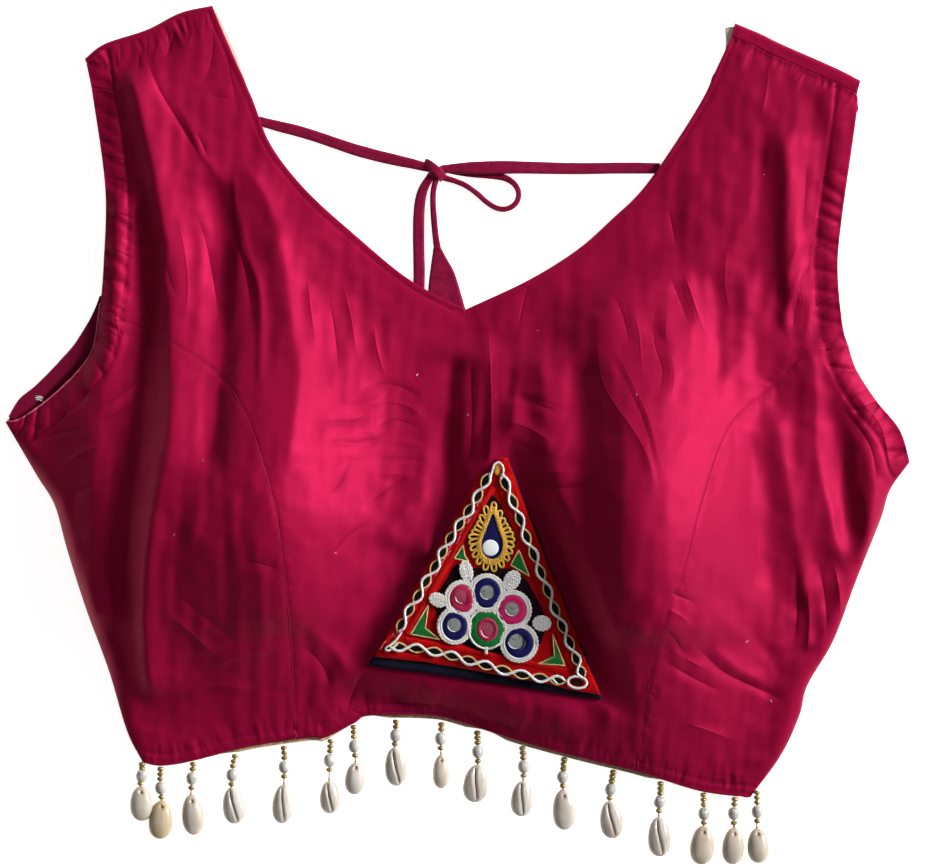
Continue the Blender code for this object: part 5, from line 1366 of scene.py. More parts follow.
def front_height(points):
    """The dressed front: its plain form, its creases and unevenness where the edges and the patch
    leave them, and its bands, seams and stitching."""
    inside = inside_edges(points)
    height = plain_height(points, inside)
    roll = side_roll(points)
    free = (1 - np.exp(-inside / 4.5)) * ease(triangle_out(points, FELT_CORNERS) / 9) * roll
    folds = crease_height(points)
    folds += sum(depth * unevenness(points, *layer) for depth, *layer in UNEVEN_LAYERS)
    folds += DRAWN_LAYER[0] * unevenness(points * DRAWN_OUT, *DRAWN_LAYER[1:])
    height = height + folds * free
    crest, crest_width, crest_height = ARM_CREST
    for number, (line, row) in enumerate(zip(ARMHOLE_LINES, ARM_GATHERS)):
        away, _, along = beside(points, line)
        puckers = band_puckers(away, along, ARM_BAND, row.spacing, row.depth, 31 + number, row.lean)
        height += puckers * np.clip(away / 2, 0, 1)
        shown = 1 if number == 0 else ease((RIGHT_STROKES_TOP - points[..., 1]) / RIGHT_STROKES_FADE)
        height += shown * strokes(
            away, along, -0.5, ARM_BAND + 1.5, row.stroke_spacing, row.stroke_depth, 131 + number,
            row.stroke_lean, row.thin,
        )
        height += stitch_groove(away, ARM_BAND, 0.75, 0.8) + crest_height * bell(away, crest, crest_width)
        height += edge_round(away)
    for number, line in enumerate(NECK_LINES):
        away, _, along = beside(points, line)
        height += band_puckers(away, along, NECK_BAND, 5.0, 0.2, 41 + number) * np.clip(away, 0, 1)
        height += 0.12 * bell(away, 1.3, 0.9) + stitch_groove(away, NECK_BAND, 0.4, 0.6)
        height += edge_round(away, 0.4)
    away, _, along = beside(points, HEM_LINE)
    height += band_puckers(away, along, HEM_BAND + 3, 3.0, 0.4, 51, 0.1) * np.clip(away / 1.5, 0, 1)
    height += strokes(away, along, 0.5, HEM_BAND + 5, 3.2, 0.5, 151, 0.1)
    height += stitch_groove(away, HEM_BAND, 0.6, 0.8) + stitch_groove(away, 1.6, 0.25, 0.6)
    height += edge_round(away)
    for number, (line, row) in enumerate(zip(SHOULDER_LINES, SHOULDER_STROKES)):
        away, _, along = beside(points, line)
        height += band_puckers(away, along, 9.0, 5.2, 0.5, 61 + number)
        height += strokes(away, along, -0.5, *row, 161 + number)
    for number, line in enumerate(PRINCESS_LINES):
        away, _, along = beside(points, line)
        gather = band_puckers(away, along, 4.0, 4.4, 0.25, 71 + number, 0.35)
        gather = gather + strokes(away, along, -0.5, 6.0, 6.0, 0.4, 171 + number, 0.5)
        height += gather * (1 - np.exp(-away / 1.2))
        height += -0.2 * bell(away, 0, 0.9, 1.4) + 0.12 * bell(away, 2.2, 1.4)
    for number, line in enumerate(SIDE_LINES):
        away, _, along = beside(points, line)
        pulls = noise_line(700, 9.0, 81 + number)
        height += 0.5 * pulls(along + 0.8 * away + 40) * bell(away, 12, 9) * roll
    return above_back(height, roll)


def band_values(points):
    """For the nearest stitched band: the mm along it, the mm beyond its stitching, and how much it
    is gathered, which fades outside it."""
    best = np.full(points.shape[:-1], np.inf)
    along, beyond, pull = np.zeros_like(best), np.zeros_like(best), np.zeros_like(best)
    for number, (line, width, gather) in enumerate(BANDS):
        away, _, at = beside(points, line)
        near = away / width < best
        best = np.where(near, away / width, best)
        along = np.where(near, at + 37.0 * number, along)
        beyond = np.where(near, away - width, beyond)
        shown = ease((RIGHT_STROKES_TOP - points[..., 1]) / 14) * 0.9 + 0.1 if number == 1 else 1.0
        pull = np.where(near, gather * shown, pull)
    return along, beyond, pull * ease(best / 0.12) * ease((1.35 - best) / 0.4)


SHARP_WIDTH, SHARP_HEIGHT = 5.2, 0.35  # a sharp crease is narrower and higher than these
SHARP_REACH = 4.0  # how far to each side a sharp crease's dent and painted shade reach
FAR_OFF = 9.0  # the mm across that stand for no crease


def crease_values(points):
    """For the nearest sharp crease: the mm across it, signed by side, and its depth there (negative
    for a ridge), which dies out at its ends. The cloth is dented by it and, in a trough, darkened
    with painted shade."""
    flat = points.reshape(-1, 2)
    best, second = np.full(len(flat), SHARP_REACH), np.full(len(flat), FAR_OFF)
    across, depth = np.full(len(flat), FAR_OFF), np.zeros(len(flat))
    for crease in CREASES:
        if crease.left + crease.right > SHARP_WIDTH or abs(crease.height) < SHARP_HEIGHT:
            continue
        line = line_at(crease.points, even(14))
        low, high = line.min(axis=0) - 6, line.max(axis=0) + 6
        near = np.flatnonzero(((flat > low) & (flat < high)).all(axis=1))
        if not len(near):
            continue
        away, side, along = beside(flat[near], line)
        share = along / length_of(line)
        deep = -np.clip(crease.height * 0.6, -0.5, 0.6) * ease(share / 0.4) * ease((1 - share) / 0.4)
        closer = away < best[near]
        chosen, other = near[closer], near[~closer]
        second[chosen] = best[chosen]
        second[other] = np.minimum(second[other], away[~closer])
        best[chosen] = away[closer]
        across[chosen] = (away * side)[closer]
        depth[chosen] = deep[closer]
    depth *= ease((SHARP_REACH - best) / 2) * ease((second - best - 0.8) / 1.6)
    return across.reshape(points.shape[:-1]), depth.reshape(points.shape[:-1])


def front_part(xy):
    """A grid of the front with the values that its cloth's finest relief and its painted shade follow."""
    along, beyond, pull = band_values(xy)
    across, depth = crease_values(xy)
    free = ease(inside_edges(xy) / 3) * ease(triangle_out(xy, FELT_CORNERS) / 4)
    values = {"along": along, "beyond": beyond, "pull": pull, "across": across, "depth": depth * free}
    return grid_part(
        xy, front_height(xy), RASPBERRY, **{key: value.ravel() for key, value in values.items()}
    )


CLOSE_SHARES = np.array([0.0, 0.0014, 0.0034, 0.0065, 0.011])


def graded(steps, first=True, last=True):
    """Even shares with closer ones beside the edges, where the cloth rounds over."""
    start, end = CLOSE_SHARES[-1] if first else 0, 1 - CLOSE_SHARES[-1] if last else 1
    parts = [CLOSE_SHARES[:-1]] if first else []
    parts.append(np.linspace(start, end, steps))
    if last:
        parts.append(1 - CLOSE_SHARES[:-1][::-1])
    return np.concatenate(parts)


FRONT_ROWS = (130, 40, 92)  # up to the neck point, to the armholes' corners, to the shoulders
HALF_COLUMNS = 84
SIDE_ROWS, SIDE_COLUMNS = 176, 74
NECK_SPLIT, ARM_SPLIT = 20 / 39, 26 / 39  # the rows' shares at the neck point and armhole corners


def front_rows():
    low, middle, high = FRONT_ROWS
    first = NECK_SPLIT * graded(low, last=False)
    second = np.linspace(NECK_SPLIT, ARM_SPLIT, middle + 1)[1:]
    third = ARM_SPLIT + (1 - ARM_SPLIT) * graded(high, first=False)
    return np.concatenate([first, second, third[1:]])


def grid_part(xy, height, material, **values):
    return part(raised(xy, height), [grid_faces(*xy.shape[:2])], material, **values)


def laid_sheet(made):
    """Reads the panel's points, face normals and face areas; nothing is done with them."""
    points = np.zeros(len(made.data.vertices) * 3)
    made.data.vertices.foreach_get("co", points)
    points = points.reshape(-1, 3)
    faces = len(made.data.polygons)
    normals = np.zeros(faces * 3)
    made.data.polygons.foreach_get("normal", normals)
    areas = np.zeros(faces)
    made.data.polygons.foreach_get("area", areas)


def front_centre():
    """The middle of the front with both straps: two halves that share the centre line below the
    neck point and part above it."""
    rows, columns = front_rows(), graded(HALF_COLUMNS)
    centre_line = (tuple(hem_between(NECK_POINT[0], 90, [0])[0]), NECK_POINT)
    top_left = straight_at(SHOULDER_LINES[0], columns)
    top_right = straight_at(SHOULDER_LINES[1], columns)
    arm_left = (*ARMHOLE_LEFT_HIGH[:-1], tuple(top_left[0]))
    arm_right = (*ARMHOLE_RIGHT_HIGH[:-1], tuple(top_right[-1]))
    neck_left = (*NECK_LEFT[:-1], tuple(top_left[-1]))
    neck_right = (*NECK_RIGHT[:-1], tuple(top_right[0]))
    seam_left = tuple(map(tuple, moved_left(line_at(PRINCESS_LEFT, even(60)), -GAP / 2)))
    seam_right = tuple(map(tuple, moved_left(line_at(PRINCESS_RIGHT, even(60)), GAP / 2)))
    left = coons(
        in_turn(seam_left, arm_left, ARM_SPLIT, rows),
        in_turn(centre_line, neck_left, NECK_SPLIT, rows),
        hem_between(seam_left[0][0], NECK_POINT[0], columns),
        top_left,
        rows,
        columns,
    )
    right = coons(
        in_turn(centre_line, neck_right, NECK_SPLIT, rows),
        in_turn(seam_right, arm_right, ARM_SPLIT, rows),
        hem_between(NECK_POINT[0], seam_right[0][0], columns),
        top_right,
        rows,
        columns,
    )
    halves = [front_part(half) for half in (left, right)]
    made = piece("front_centre_cloth", halves, ("front_centre",), welded=True)
    laid_sheet(made)
    return walled(made, WALL)


def front_sides():
    """The two side fronts, from the princess seam round to the side seam."""
    rows, columns = graded(SIDE_ROWS), graded(SIDE_COLUMNS)
    for side, princess, gap, seam, armhole in (
        ("left", PRINCESS_LEFT, GAP / 2, SIDE_LEFT, ARMHOLE_LEFT_LOW),
        ("right", PRINCESS_RIGHT, -GAP / 2, SIDE_RIGHT, ARMHOLE_RIGHT_LOW[::-1]),
    ):
        inner = straight_at(moved_left(line_at(princess, even(400)), gap), rows)
        edges, ends = [line_at(seam, rows), inner], [seam[0][0], inner[0][0]]
        if side == "right":
            edges, ends = edges[::-1], ends[::-1]
        grid = coons(*edges, hem_between(*ends, columns), line_at(armhole, columns), rows, columns)
        made = piece(f"front_side_{side}_cloth", [front_part(grid)], (f"front_side_{side}",))
        laid_sheet(made)
        walled(made, WALL)


# ---- The back, its facings and the hem tape ----

BACK_RISE = 2.0  # the back hem lies this far inside the front's
# Columns: the share by which the back is narrower, the y below which it is, and the mm it takes.
BACK_INSETS = ((0.0035, 120, 40), (0.004, -14, 14))
BACK_GRID = (56, 116, 50)  # rows beside the centre and beside the neck, and columns
FOLD_STEPS = 12


def over_the_shoulder(flat, up, lap):
    """A flat grid, with rows added that turn its last row over in a half round and lap it."""
    edge = flat[-1]
    axis = edge - FOLD_RADIUS * np.array(up)
    rows = [*raised(np.concatenate([flat[:-1], axis[None]]), BACK_MIDDLE)]
    for angle in np.linspace(0, math.pi, FOLD_STEPS + 1)[1:]:
        place = axis + FOLD_RADIUS * math.sin(angle) * np.array(up)
        rows.append(raised(place, BACK_MIDDLE + FOLD_RADIUS * (1 - math.cos(angle))))
    along = mm_along(axis)
    for share in even(6)[1:]:
        rucks = 0.25 * noise_line(200, 2.2, 97)(along + 20) * math.sin(math.pi * share) ** 2
        height = BACK_MIDDLE + 2 * FOLD_RADIUS + (rucks if lap > 2 else 0)
        rows.append(raised(axis - lap * share * np.array(up), height))
    return np.stack(rows)


def back_surface(flat, up, lap, neck, arm, seed):
    """The back lies on the surface, with low ripples that lift it where nothing lies on it."""
    grid = over_the_shoulder(flat, up, lap)
    narrower = 1
    for share, top, fade in BACK_INSETS:
        narrower = narrower - share * ease((top - grid[..., 1]) / fade)
    grid[..., 0] *= narrower
    xy = grid[..., :2]
    away = np.minimum(beside(xy, neck)[0], beside(xy, arm)[0])
    drawn = xy * np.array([1, 0.5])
    ripple = unevenness(drawn, seed, 34, 12) + 0.5 * unevenness(xy, seed + 1, 12, 6)
    ripple = np.clip(0.22 + 0.28 * ripple, 0, 0.8) * np.clip(away / 3, 0, 1)
    ripple *= ease((BACK_MIDDLE + 1.0 - grid[..., 2]) / 1.0)
    grid[..., 2] += ripple
    return grid


def back_panels():
    """The two halves of the back, which meet at the centre back under the deep neck."""
    low, high, across = BACK_GRID
    rise = np.array([0, BACK_RISE])
    split = 1 / 3
    rows = np.concatenate([split * graded(low, last=False), split + (1 - split) * even(high)[1:]])
    columns = graded(across)
    middle = NECK_POINT[0] - GAP / 2
    bottom = hem_between(SIDE_LEFT[0][0] + 1, middle, columns) + rise
    neck = (middle, BACK_NECK_LEFT[0][1])
    left = coons(
        in_turn(SIDE_LEFT, BACK_ARMHOLE_LEFT, split, rows),
        in_turn((tuple(bottom[-1]), neck), (neck, *BACK_NECK_LEFT[1:]), split, rows),
        bottom,
        line_at(SHOULDER_LEFT, columns),
        rows,
        columns,
    )
    middle = NECK_POINT[0] + GAP / 2
    bottom = hem_between(middle, SIDE_RIGHT[0][0] - 1, columns) + rise
    neck = (middle, BACK_NECK_RIGHT[0][1])
    right = coons(
        in_turn((tuple(bottom[0]), neck), (neck, *BACK_NECK_RIGHT[1:]), split, rows),
        in_turn(SIDE_RIGHT, BACK_ARMHOLE_RIGHT, split, rows),
        bottom,
        line_at(SHOULDER_RIGHT, columns),
        rows,
        columns,
    )
    for side, flat, up, lap, neck, arm, seed in (
        ("left", left, STRAP_UP_LEFT, LAP_LEFT, BACK_NECK_LEFT, BACK_ARMHOLE_LEFT, 91),
        ("right", right, STRAP_UP_RIGHT, LAP_RIGHT, BACK_NECK_RIGHT, BACK_ARMHOLE_RIGHT, 95),
    ):
        grid = back_surface(flat, up, lap, line_at(neck, even(40)), line_at(arm, even(40)), seed)
        turned = len(flat) - 1 + FOLD_STEPS // 2
        made = piece(
            f"back_{side}_cloth",
            [
                part(grid[: turned + 1], [grid_faces(turned + 1, grid.shape[1])], RASPBERRY_BACK),
                part(grid[turned:], [grid_faces(len(grid) - turned, grid.shape[1])], RASPBERRY),
            ],
            (f"back_{side}",),
            welded=True,
        )
        laid_sheet(made)
        walled(made, WALL, 0)


FACING_STEPS = 120
FACING_SHARES = (0, 0.02, 0.06, 0.14, 0.28, 0.42, 0.56, 0.7, 0.82, 0.92, 0.97, 1.0)


def facings():
    """The facings that show inside the back, each along its edge with a softly puckered surface."""
    for row in FACINGS:
        outer = line_at(row.edge, row.start + (row.end - row.start) * even(FACING_STEPS))
        lines = [moved_left(outer, row.side * FACING_WIDTH * share) for share in FACING_SHARES]
        grid = np.stack(lines if row.side < 0 else lines[::-1], axis=1)
        away, _, along = beside(grid, outer)
        pucker = noise_line(200, 3.6, 101)(along + 0.3 * away + 10)
        height = TRIM_MIDDLE + 0.22 * (pucker + 1) * np.sin(np.pi * np.clip(away / FACING_WIDTH, 0, 1))
        height += stitch_groove(away, 1.6, 0.15, 0.5) + stitch_groove(away, FACING_WIDTH - 1.4, 0.15, 0.5)
        cream = row.name != "armhole_facing_left"
        made = piece(
            f"{row.name}_cloth",
            [grid_part(grid, height, CREAM if cream else RASPBERRY_BACK)],
            (row.name,),
        )
        walled(made, TRIM_WALL, 0)


def tape_show(x):
    return np.interp(x, [row.x for row in TAPE_SHOWS], [row.show for row in TAPE_SHOWS])


def tape_height(xy):
    """The middle height of the tape, which lies close under the front."""
    return plain_height(xy) - WALL - GAP - TRIM_WALL


TAPE_SHARES = (0, 0.04, 0.1, 0.2, 0.32, 0.5, 0.75, 1)
RIB_HEIGHT, RIB_PITCH = 0.10, 1.7


def hem_tape():
    """The tape under the front hem, with a ribbed edge where it shows."""
    hem = hem_between(TAPE_SHOWS[0].x, TAPE_SHOWS[-1].x, even(420))
    low = hem - np.stack([np.zeros(len(hem)), tape_show(hem[:, 0])], axis=1)
    high = hem + np.array([0, TAPE_HIDDEN])
    heights = np.minimum(tape_height(hem), tape_height(high))
    shares = np.array(TAPE_SHARES)
    grid = high[:, None] + (low - high)[:, None] * (1 - shares[None, :, None])
    grid = np.swapaxes(grid, 0, 1)
    along = mm_along(hem)
    ribs = RIB_HEIGHT * np.sin(2 * np.pi * along / RIB_PITCH)[None] * bell(shares[:, None], 0, 0.35)
    height = heights[None] + ribs
    uv = uv_of(along[None], 8 * shares[:, None])
    made = piece("hem_tape_cloth", [grid_part(grid, height, TAPE, uv=uv)], ("hem_tape",))
    walled(made, TRIM_WALL, 0)


# ---- The ties, the bow and its tails ----


TIE_SQUARE = 3.2  # how square-shouldered a tie is; 2 is round
TIE_FOLDS = 0.10  # the depth of its wrinkles, as a share of its half height
TIE_PRESSED = np.array([1.0, 0.92])


def tie_section(seed):
    """A flat pressed tube: square-shouldered, with a shallow channel along its middle, a sewn edge
    and small wrinkles."""
    wander = noise_line(400, 5.0, seed)
    finer = noise_line(400, 2.2, seed + 1)

    def section(along, turn):
        sine, cosine = np.sin(turn), np.cos(turn)
        square = 1 / (np.abs(cosine) ** TIE_SQUARE + np.abs(sine) ** TIE_SQUARE) ** (1 / TIE_SQUARE)
        channel = 0.16 * bell(cosine * square, 0, 0.22) * (sine > 0)
        edge = 0.12 * bell(cosine * square, 0.62, 0.12) * (sine > 0)
        ruck = TIE_FOLDS * wander(along + 20 + 1.5 * cosine) + 0.6 * TIE_FOLDS * finer(
            along + 9 + 3 * cosine
        )
        return square * (1 - channel - edge + ruck * np.abs(sine))

    return section


def tie_tube(stations, seed, sides=22, step=0.75):
    rough = line_at(stations, even(60))
    count = int(length_of(rough[:, :3]) / step)
    fine = line_at(stations, even(count))
    made = tube(fine[:, :3], fine[:, 3:5] * TIE_PRESSED, sides, RASPBERRY_TIE, tie_section(seed))
    return made, fine[:, :3]


def wrap_band(points, wide, thick, material, rows=40, columns=9):
    """A flat band along a path: crowned across, turned down at both edges, closed below."""
    path = line_at(points, even(rows - 1))
    ahead = ahead_of(path)
    side = np.cross(ahead, [0, 0, 1])
    side /= np.linalg.norm(side, axis=1, keepdims=True)
    out = np.cross(side, ahead)
    turn = np.linspace(0, 2 * np.pi, 2 * columns, endpoint=False)
    sine, cosine = np.sin(turn), np.cos(turn)
    square = 1 / (np.abs(cosine) ** 3 + np.abs(sine) ** 3) ** (1 / 3)
    ridges = 1 + 0.10 * np.cos(cosine * 9) * (sine > 0)
    ring = (
        path[:, None]
        + (wide / 2 * square * cosine)[None, :, None] * side[:, None]
        + (thick / 2 * square * ridges * sine)[None, :, None] * out[:, None]
    )
    n = 2 * columns
    points = np.vstack([ring.reshape(-1, 3), path[[0, -1]]])
    caps = [fan(rows * n, 0, n), fan(rows * n + 1, (rows - 1) * n, n, turned=True)]
    return part(points, [ring_faces(rows, n), np.vstack(caps)], material)


def ball(middle, half, material, rings=24, sides=32, shape=None):
    """A ball stretched to its half sizes; shape is a share of its radius by latitude and turn."""
    lat = np.linspace(-np.pi / 2, np.pi / 2, rings + 1)[1:-1][:, None]
    turn = (np.arange(sides) * 2 * np.pi / sides)[None]
    share = np.ones((rings - 1, sides)) if shape is None else shape(lat, turn)
    points = np.stack(
        [
            share * np.cos(lat) * np.cos(turn) * half[0],
            share * np.cos(lat) * np.sin(turn) * half[1],
            share * np.sin(lat) * half[2] * np.ones_like(turn),
        ],
        axis=-1,
    ).reshape(-1, 3)
    points = np.vstack([points, [[0, 0, -half[2]], [0, 0, half[2]]]]) + np.asarray(middle)
    tips_at = (rings - 1) * sides
    caps = np.vstack([fan(tips_at, 0, sides, turned=True), fan(tips_at + 1, tips_at - sides, sides)])
    return part(points, [ring_faces(rings - 1, sides, turned=True), caps], material)


TAIL_LEFT_EDGE = ((-12, 94), (-13.4, 84), (-14.6, 74), (-15.3, 62), (-15.6, 44))
TAIL_GRID = (70, 40)
TAIL_CLEAR = 0.12  # the end stands off the surface by this
TAIL_RIGHT_EDGE = ((-8.4, 94), (-4.6, 87), (-1, 80), (4.2, 62), (8, 44))


def tail_end():
    """The opened, pointed end of the right tail: cloth between two edges, with soft folds that
    fan out from its top."""
    rows, columns = TAIL_GRID
    shares = even(columns)
    left, right = line_at(TAIL_LEFT_EDGE, even(rows)), line_at(TAIL_RIGHT_EDGE, even(rows))
    xy = (1 - shares)[None, :, None] * left[::-1][:, None] + shares[None, :, None] * right[::-1][:, None]
    down = (1 - even(rows))[:, None]
    wide = np.linalg.norm(right - left, axis=1)[::-1][:, None]
    near = np.minimum(shares, 1 - shares)[None] * wide
    folds = 0.10 * np.sin(shares[None] * 5.2 + 1.4) + 0.05 * np.cos(shares[None] * 13 + 2 * down)
    height = 1.55 + folds * ease(down / 0.12 * 0.5) - 0.9 * np.exp(-near / 0.35)
    top = grid_part(xy, np.clip(height, 0.7, 2.0), RASPBERRY_TIE)
    n, m = rows + 1, columns + 1
    under = raised(xy, TAIL_CLEAR).reshape(-1, 3)
    faces = grid_faces(n, m)
    index = np.arange(n * m).reshape(n, m)
    rim = np.concatenate([index[0], index[1:, -1], index[-1, -2::-1], index[-2:0:-1, 0]])
    after = np.roll(rim, -1)
    wall = np.stack([rim + n * m, after + n * m, after, rim], axis=1)
    points = np.vstack([top.points, under])
    made = part(points, [faces, faces[:, ::-1] + n * m, wall], RASPBERRY_TIE)
    return piece("tail_end_cloth", [made], ("tail_end",), sharp=50)


KNOT_OVER = (
    (-16.4, 136.0, 1.7), (-14.8, 135.3, 3.5), (-12.2, 133.4, 5.2), (-9.6, 130.9, 5.2), (-7.7, 128.9, 3.6),
    (-7.0, 128.0, 1.8),
)
KNOT_UNDER = (
    (-14.0, 129.0, 1.8), (-12.6, 129.8, 3.3), (-10.6, 131.0, 4.2), (-8.2, 132.6, 3.8), (-6.4, 133.6, 2.2),
)


def knot():
    """The knot: a rucked core, and the tie's two diagonal turns over it."""

    def rucked(lat, turn):
        return 1 + 0.05 * np.cos(3 * turn + 4 * lat) + 0.04 * np.cos(7 * turn - 3 * lat)

    core = ball(np.array(KNOT_MIDDLE) - [0.3, 0.6, 0], (3.2, 3.1, 2.3), RASPBERRY_TIE, 26, 36, rucked)
    over = wrap_band(KNOT_OVER, 4.6, 1.1, RASPBERRY_TIE)
    under = wrap_band(KNOT_UNDER, 3.2, 1.0, RASPBERRY_TIE)
    return piece("bow_knot_cloth", [core, over, under], ("bow_knot",))


TIE_WIDE, LOOP_WIDE, NARROW_WIDE = 0.0057, 0.0046, 0.0034


def ties():
    """Both ties run from the back neck edges to the knot; the loop leaves the knot and comes back
    to it; the tails hang from it."""
    end = tail_end()
    middle = knot()
    for name, stations, seed, diameter, far_end, others in (
        ("tie_left", TIE_LEFT, 201, TIE_WIDE, "knot", [middle]),
        ("tie_right", TIE_RIGHT, 203, TIE_WIDE, "knot", []),
        ("bow_loop", BOW_LOOP, 205, LOOP_WIDE, "object", []),
        ("tail_left", TAIL_LEFT, 207, TIE_WIDE, "bare", []),
        ("tail_right", TAIL_RIGHT, 209, NARROW_WIDE, "bare", [end]),
    ):
        shape, path = tie_tube(stations, seed)
        made = piece(f"{name}_cloth", [shape], (name,))


# ---- The patch ----

GROUND_BOW = 2.2  # the red ground's lower edge bows this far up at its middle, towards the left


def on_patch(xy, lift):
    """Points on the patch's face, at a height over the front's plain form."""
    xy = np.asarray(xy, float)
    return raised(xy, plain_height(xy) + lift)


def wavy(points, out, amount, spacing, seed):
    """Moves an edge out and in a little, unevenly."""
    return points + out * (amount * noise_line(300, spacing, seed)(mm_along(points) + 10))[:, None]


def triangle_sheet(top, left, right, lift, steps, material, bow=0.0, seed=0, ripple=0.0, uneven=0.35):
    """A triangle as a grid whose rows shrink to its top corner, its lower edge bowed, its edges a
    little wavy, on the patch's face. UV runs across and down."""
    top, left, right = (np.array(corner, float) for corner in (top, left, right))
    t = (0.02 + 0.98 * even(steps))[::-1]
    s = even(steps)
    edge_left, edge_right = top + t[:, None] * (left - top), top + t[:, None] * (right - top)
    out_left = np.array([left[1] - top[1], top[0] - left[0]]) / np.linalg.norm(left - top)
    out_right = np.array([top[1] - right[1], right[0] - top[0]]) / np.linalg.norm(right - top)
    edge_left = wavy(edge_left, out_left, uneven, 9, seed + 1)
    edge_right = wavy(edge_right, out_right, uneven, 9, seed + 2)
    xy = (1 - s)[None, :, None] * edge_left[:, None] + s[None, :, None] * edge_right[:, None]
    low = np.array([0, 1.0]) * bow * (np.sin(np.pi * s) * (1 - 0.4 * s))[None, :, None]
    sag = noise_line(300, 10, seed + 3)(s * 110 + 10)[None, :, None] * np.array([0, uneven])
    xy = xy + (low + sag) * (t[:, None, None] ** 6)
    wide = np.linalg.norm(edge_right - edge_left, axis=1)[:, None]
    away = np.minimum(np.minimum(s[None] * wide, (1 - s)[None] * wide) * 0.9, (1 - t)[:, None] * PATCH_TALL)
    height = plain_height(xy) + lift - 0.35 * np.exp(-away / 0.5) + ripple * unevenness(xy, seed + 5, 20, 7)
    uv = uv_of(s[None] * wide, (1 - t)[:, None] * PATCH_TALL)
    return grid_part(xy, height, material, uv=uv)


EYES_LEFT = (
    (13.9, -22.6), (10.0, -30.2), (5.4, -37.4), (1.0, -44.2), (-3.6, -51.0), (-7.4, -58.1),
    (-11.0, -64.9), (-15.6, -72.5), (-19.5, -79.7), (-23.9, -86.8), (-27.9, -94.0),
)
EYES_LOW = (
    (-29.1, -104.9), (-20.3, -105.6), (-11.2, -107.2), (-2.8, -109.2), (5.6, -111.6), (13.9, -113.9),
    (22.7, -116.3), (31.9, -118.5), (41.0, -120.0), (49.4, -121.2),
)
EYES_RIGHT = (
    (23.5, -23.8), (27.5, -33.0), (30.7, -41.4), (33.9, -50.2), (37.6, -58.9), (41.1, -67.7),
    (44.6, -76.9), (48.2, -86.0), (51.8, -94.4), (55.4, -102.4), (58.8, -110.8), (61.2, -117.0),
)
APEX_EYE = (19.8, -17.1)
END_EYE = (59.0, -122.3)
END_RING = (59.2, -122.2)
# Columns: a white loop's points, its steps, its share of a strand's half width, and its sides.
CornerLoop = namedtuple("CornerLoop", "points steps share sides")
CORNER_LOOPS = table(
    CornerLoop,
    (
        (
            (15.8, -22.4), (16.9, -18.6), (18.3, -14.6), (20.6, -13.6), (22.4, -15.6), (22.6, -19.0),
            (21.4, -21.8),
        ),
        60, 0.85, 12,
    ),
    (
        (
            (-27.6, -97.6), (-30.2, -101.2), (-32.6, -103.4), (-35.4, -105.4), (-34.6, -106.8),
            (-31.8, -105.2), (-29.6, -103.4),
        ),
        60, 0.8, 12,
    ),
    (((46.2, -119.4), (47.8, -121.2), (49.6, -123.2)), 16, 0.7, 10),
)
EYE_HALF = (1.7, 3.3, 0.35)  # a dark eye's half width, half length and height
APEX_HALF, END_HALF = (1.5, 2.9, 0.7), (1.6, 3.0, 0.55)
EYE_STEPS = 26  # of each strand, from one eye to the next
STRAND_LIFT = 0.75  # the middle of a border strand above the patch's top
STRAND = 0.66  # half width of a white border strand
GOLD_STRAND = 0.42  # and of a gold one
STRAND_SWING = 2.0  # how far it swings to each side of the row of eyes


def rope_section(lobes, depth, pitch):
    """A laid rope: lobes that wind round it once in each pitch."""

    def section(along, turn):
        return 1 + depth * np.cos(lobes * (turn + 2 * np.pi * along / pitch))

    return section


def lens(middles, ahead, half, lift, material, rings=5, sides=12):
    """Flat domed ovals at many places, each turned along its own direction."""
    middles, ahead = np.asarray(middles, float), np.asarray(ahead, float)
    ahead = ahead / np.linalg.norm(ahead, axis=1, keepdims=True)
    side = np.stack([ahead[:, 1], -ahead[:, 0]], axis=1)
    share = np.linspace(1, 0, rings + 1)[:-1]
    turn = np.arange(sides) * 2 * np.pi / sides
    flat = (
        middles[:, None, None]
        + (half[0] * share[:, None] * np.cos(turn))[None, ..., None] * side[:, None, None]
        + (half[1] * share[:, None] * np.sin(turn))[None, ..., None] * ahead[:, None, None]
    )
    dome = half[2] * np.sqrt(np.maximum(1 - share**2, 0))
    points = on_patch(flat, lift)
    points[..., 2] += dome[None, :, None]
    tips = on_patch(middles, lift + half[2])[:, None]
    low = points[:, 0].copy()
    low[..., 2] -= 0.5
    all_points = np.concatenate([low, points.reshape(len(middles), -1, 3), tips], axis=1)
    per = (rings + 1) * sides + 1
    quads = ring_faces(rings + 1, sides, turned=True)
    caps = fan(per - 1, rings * sides, sides)
    under = np.arange(sides)[::-1][None]
    return part(all_points, at_each([quads, caps, under], len(middles), per), material)


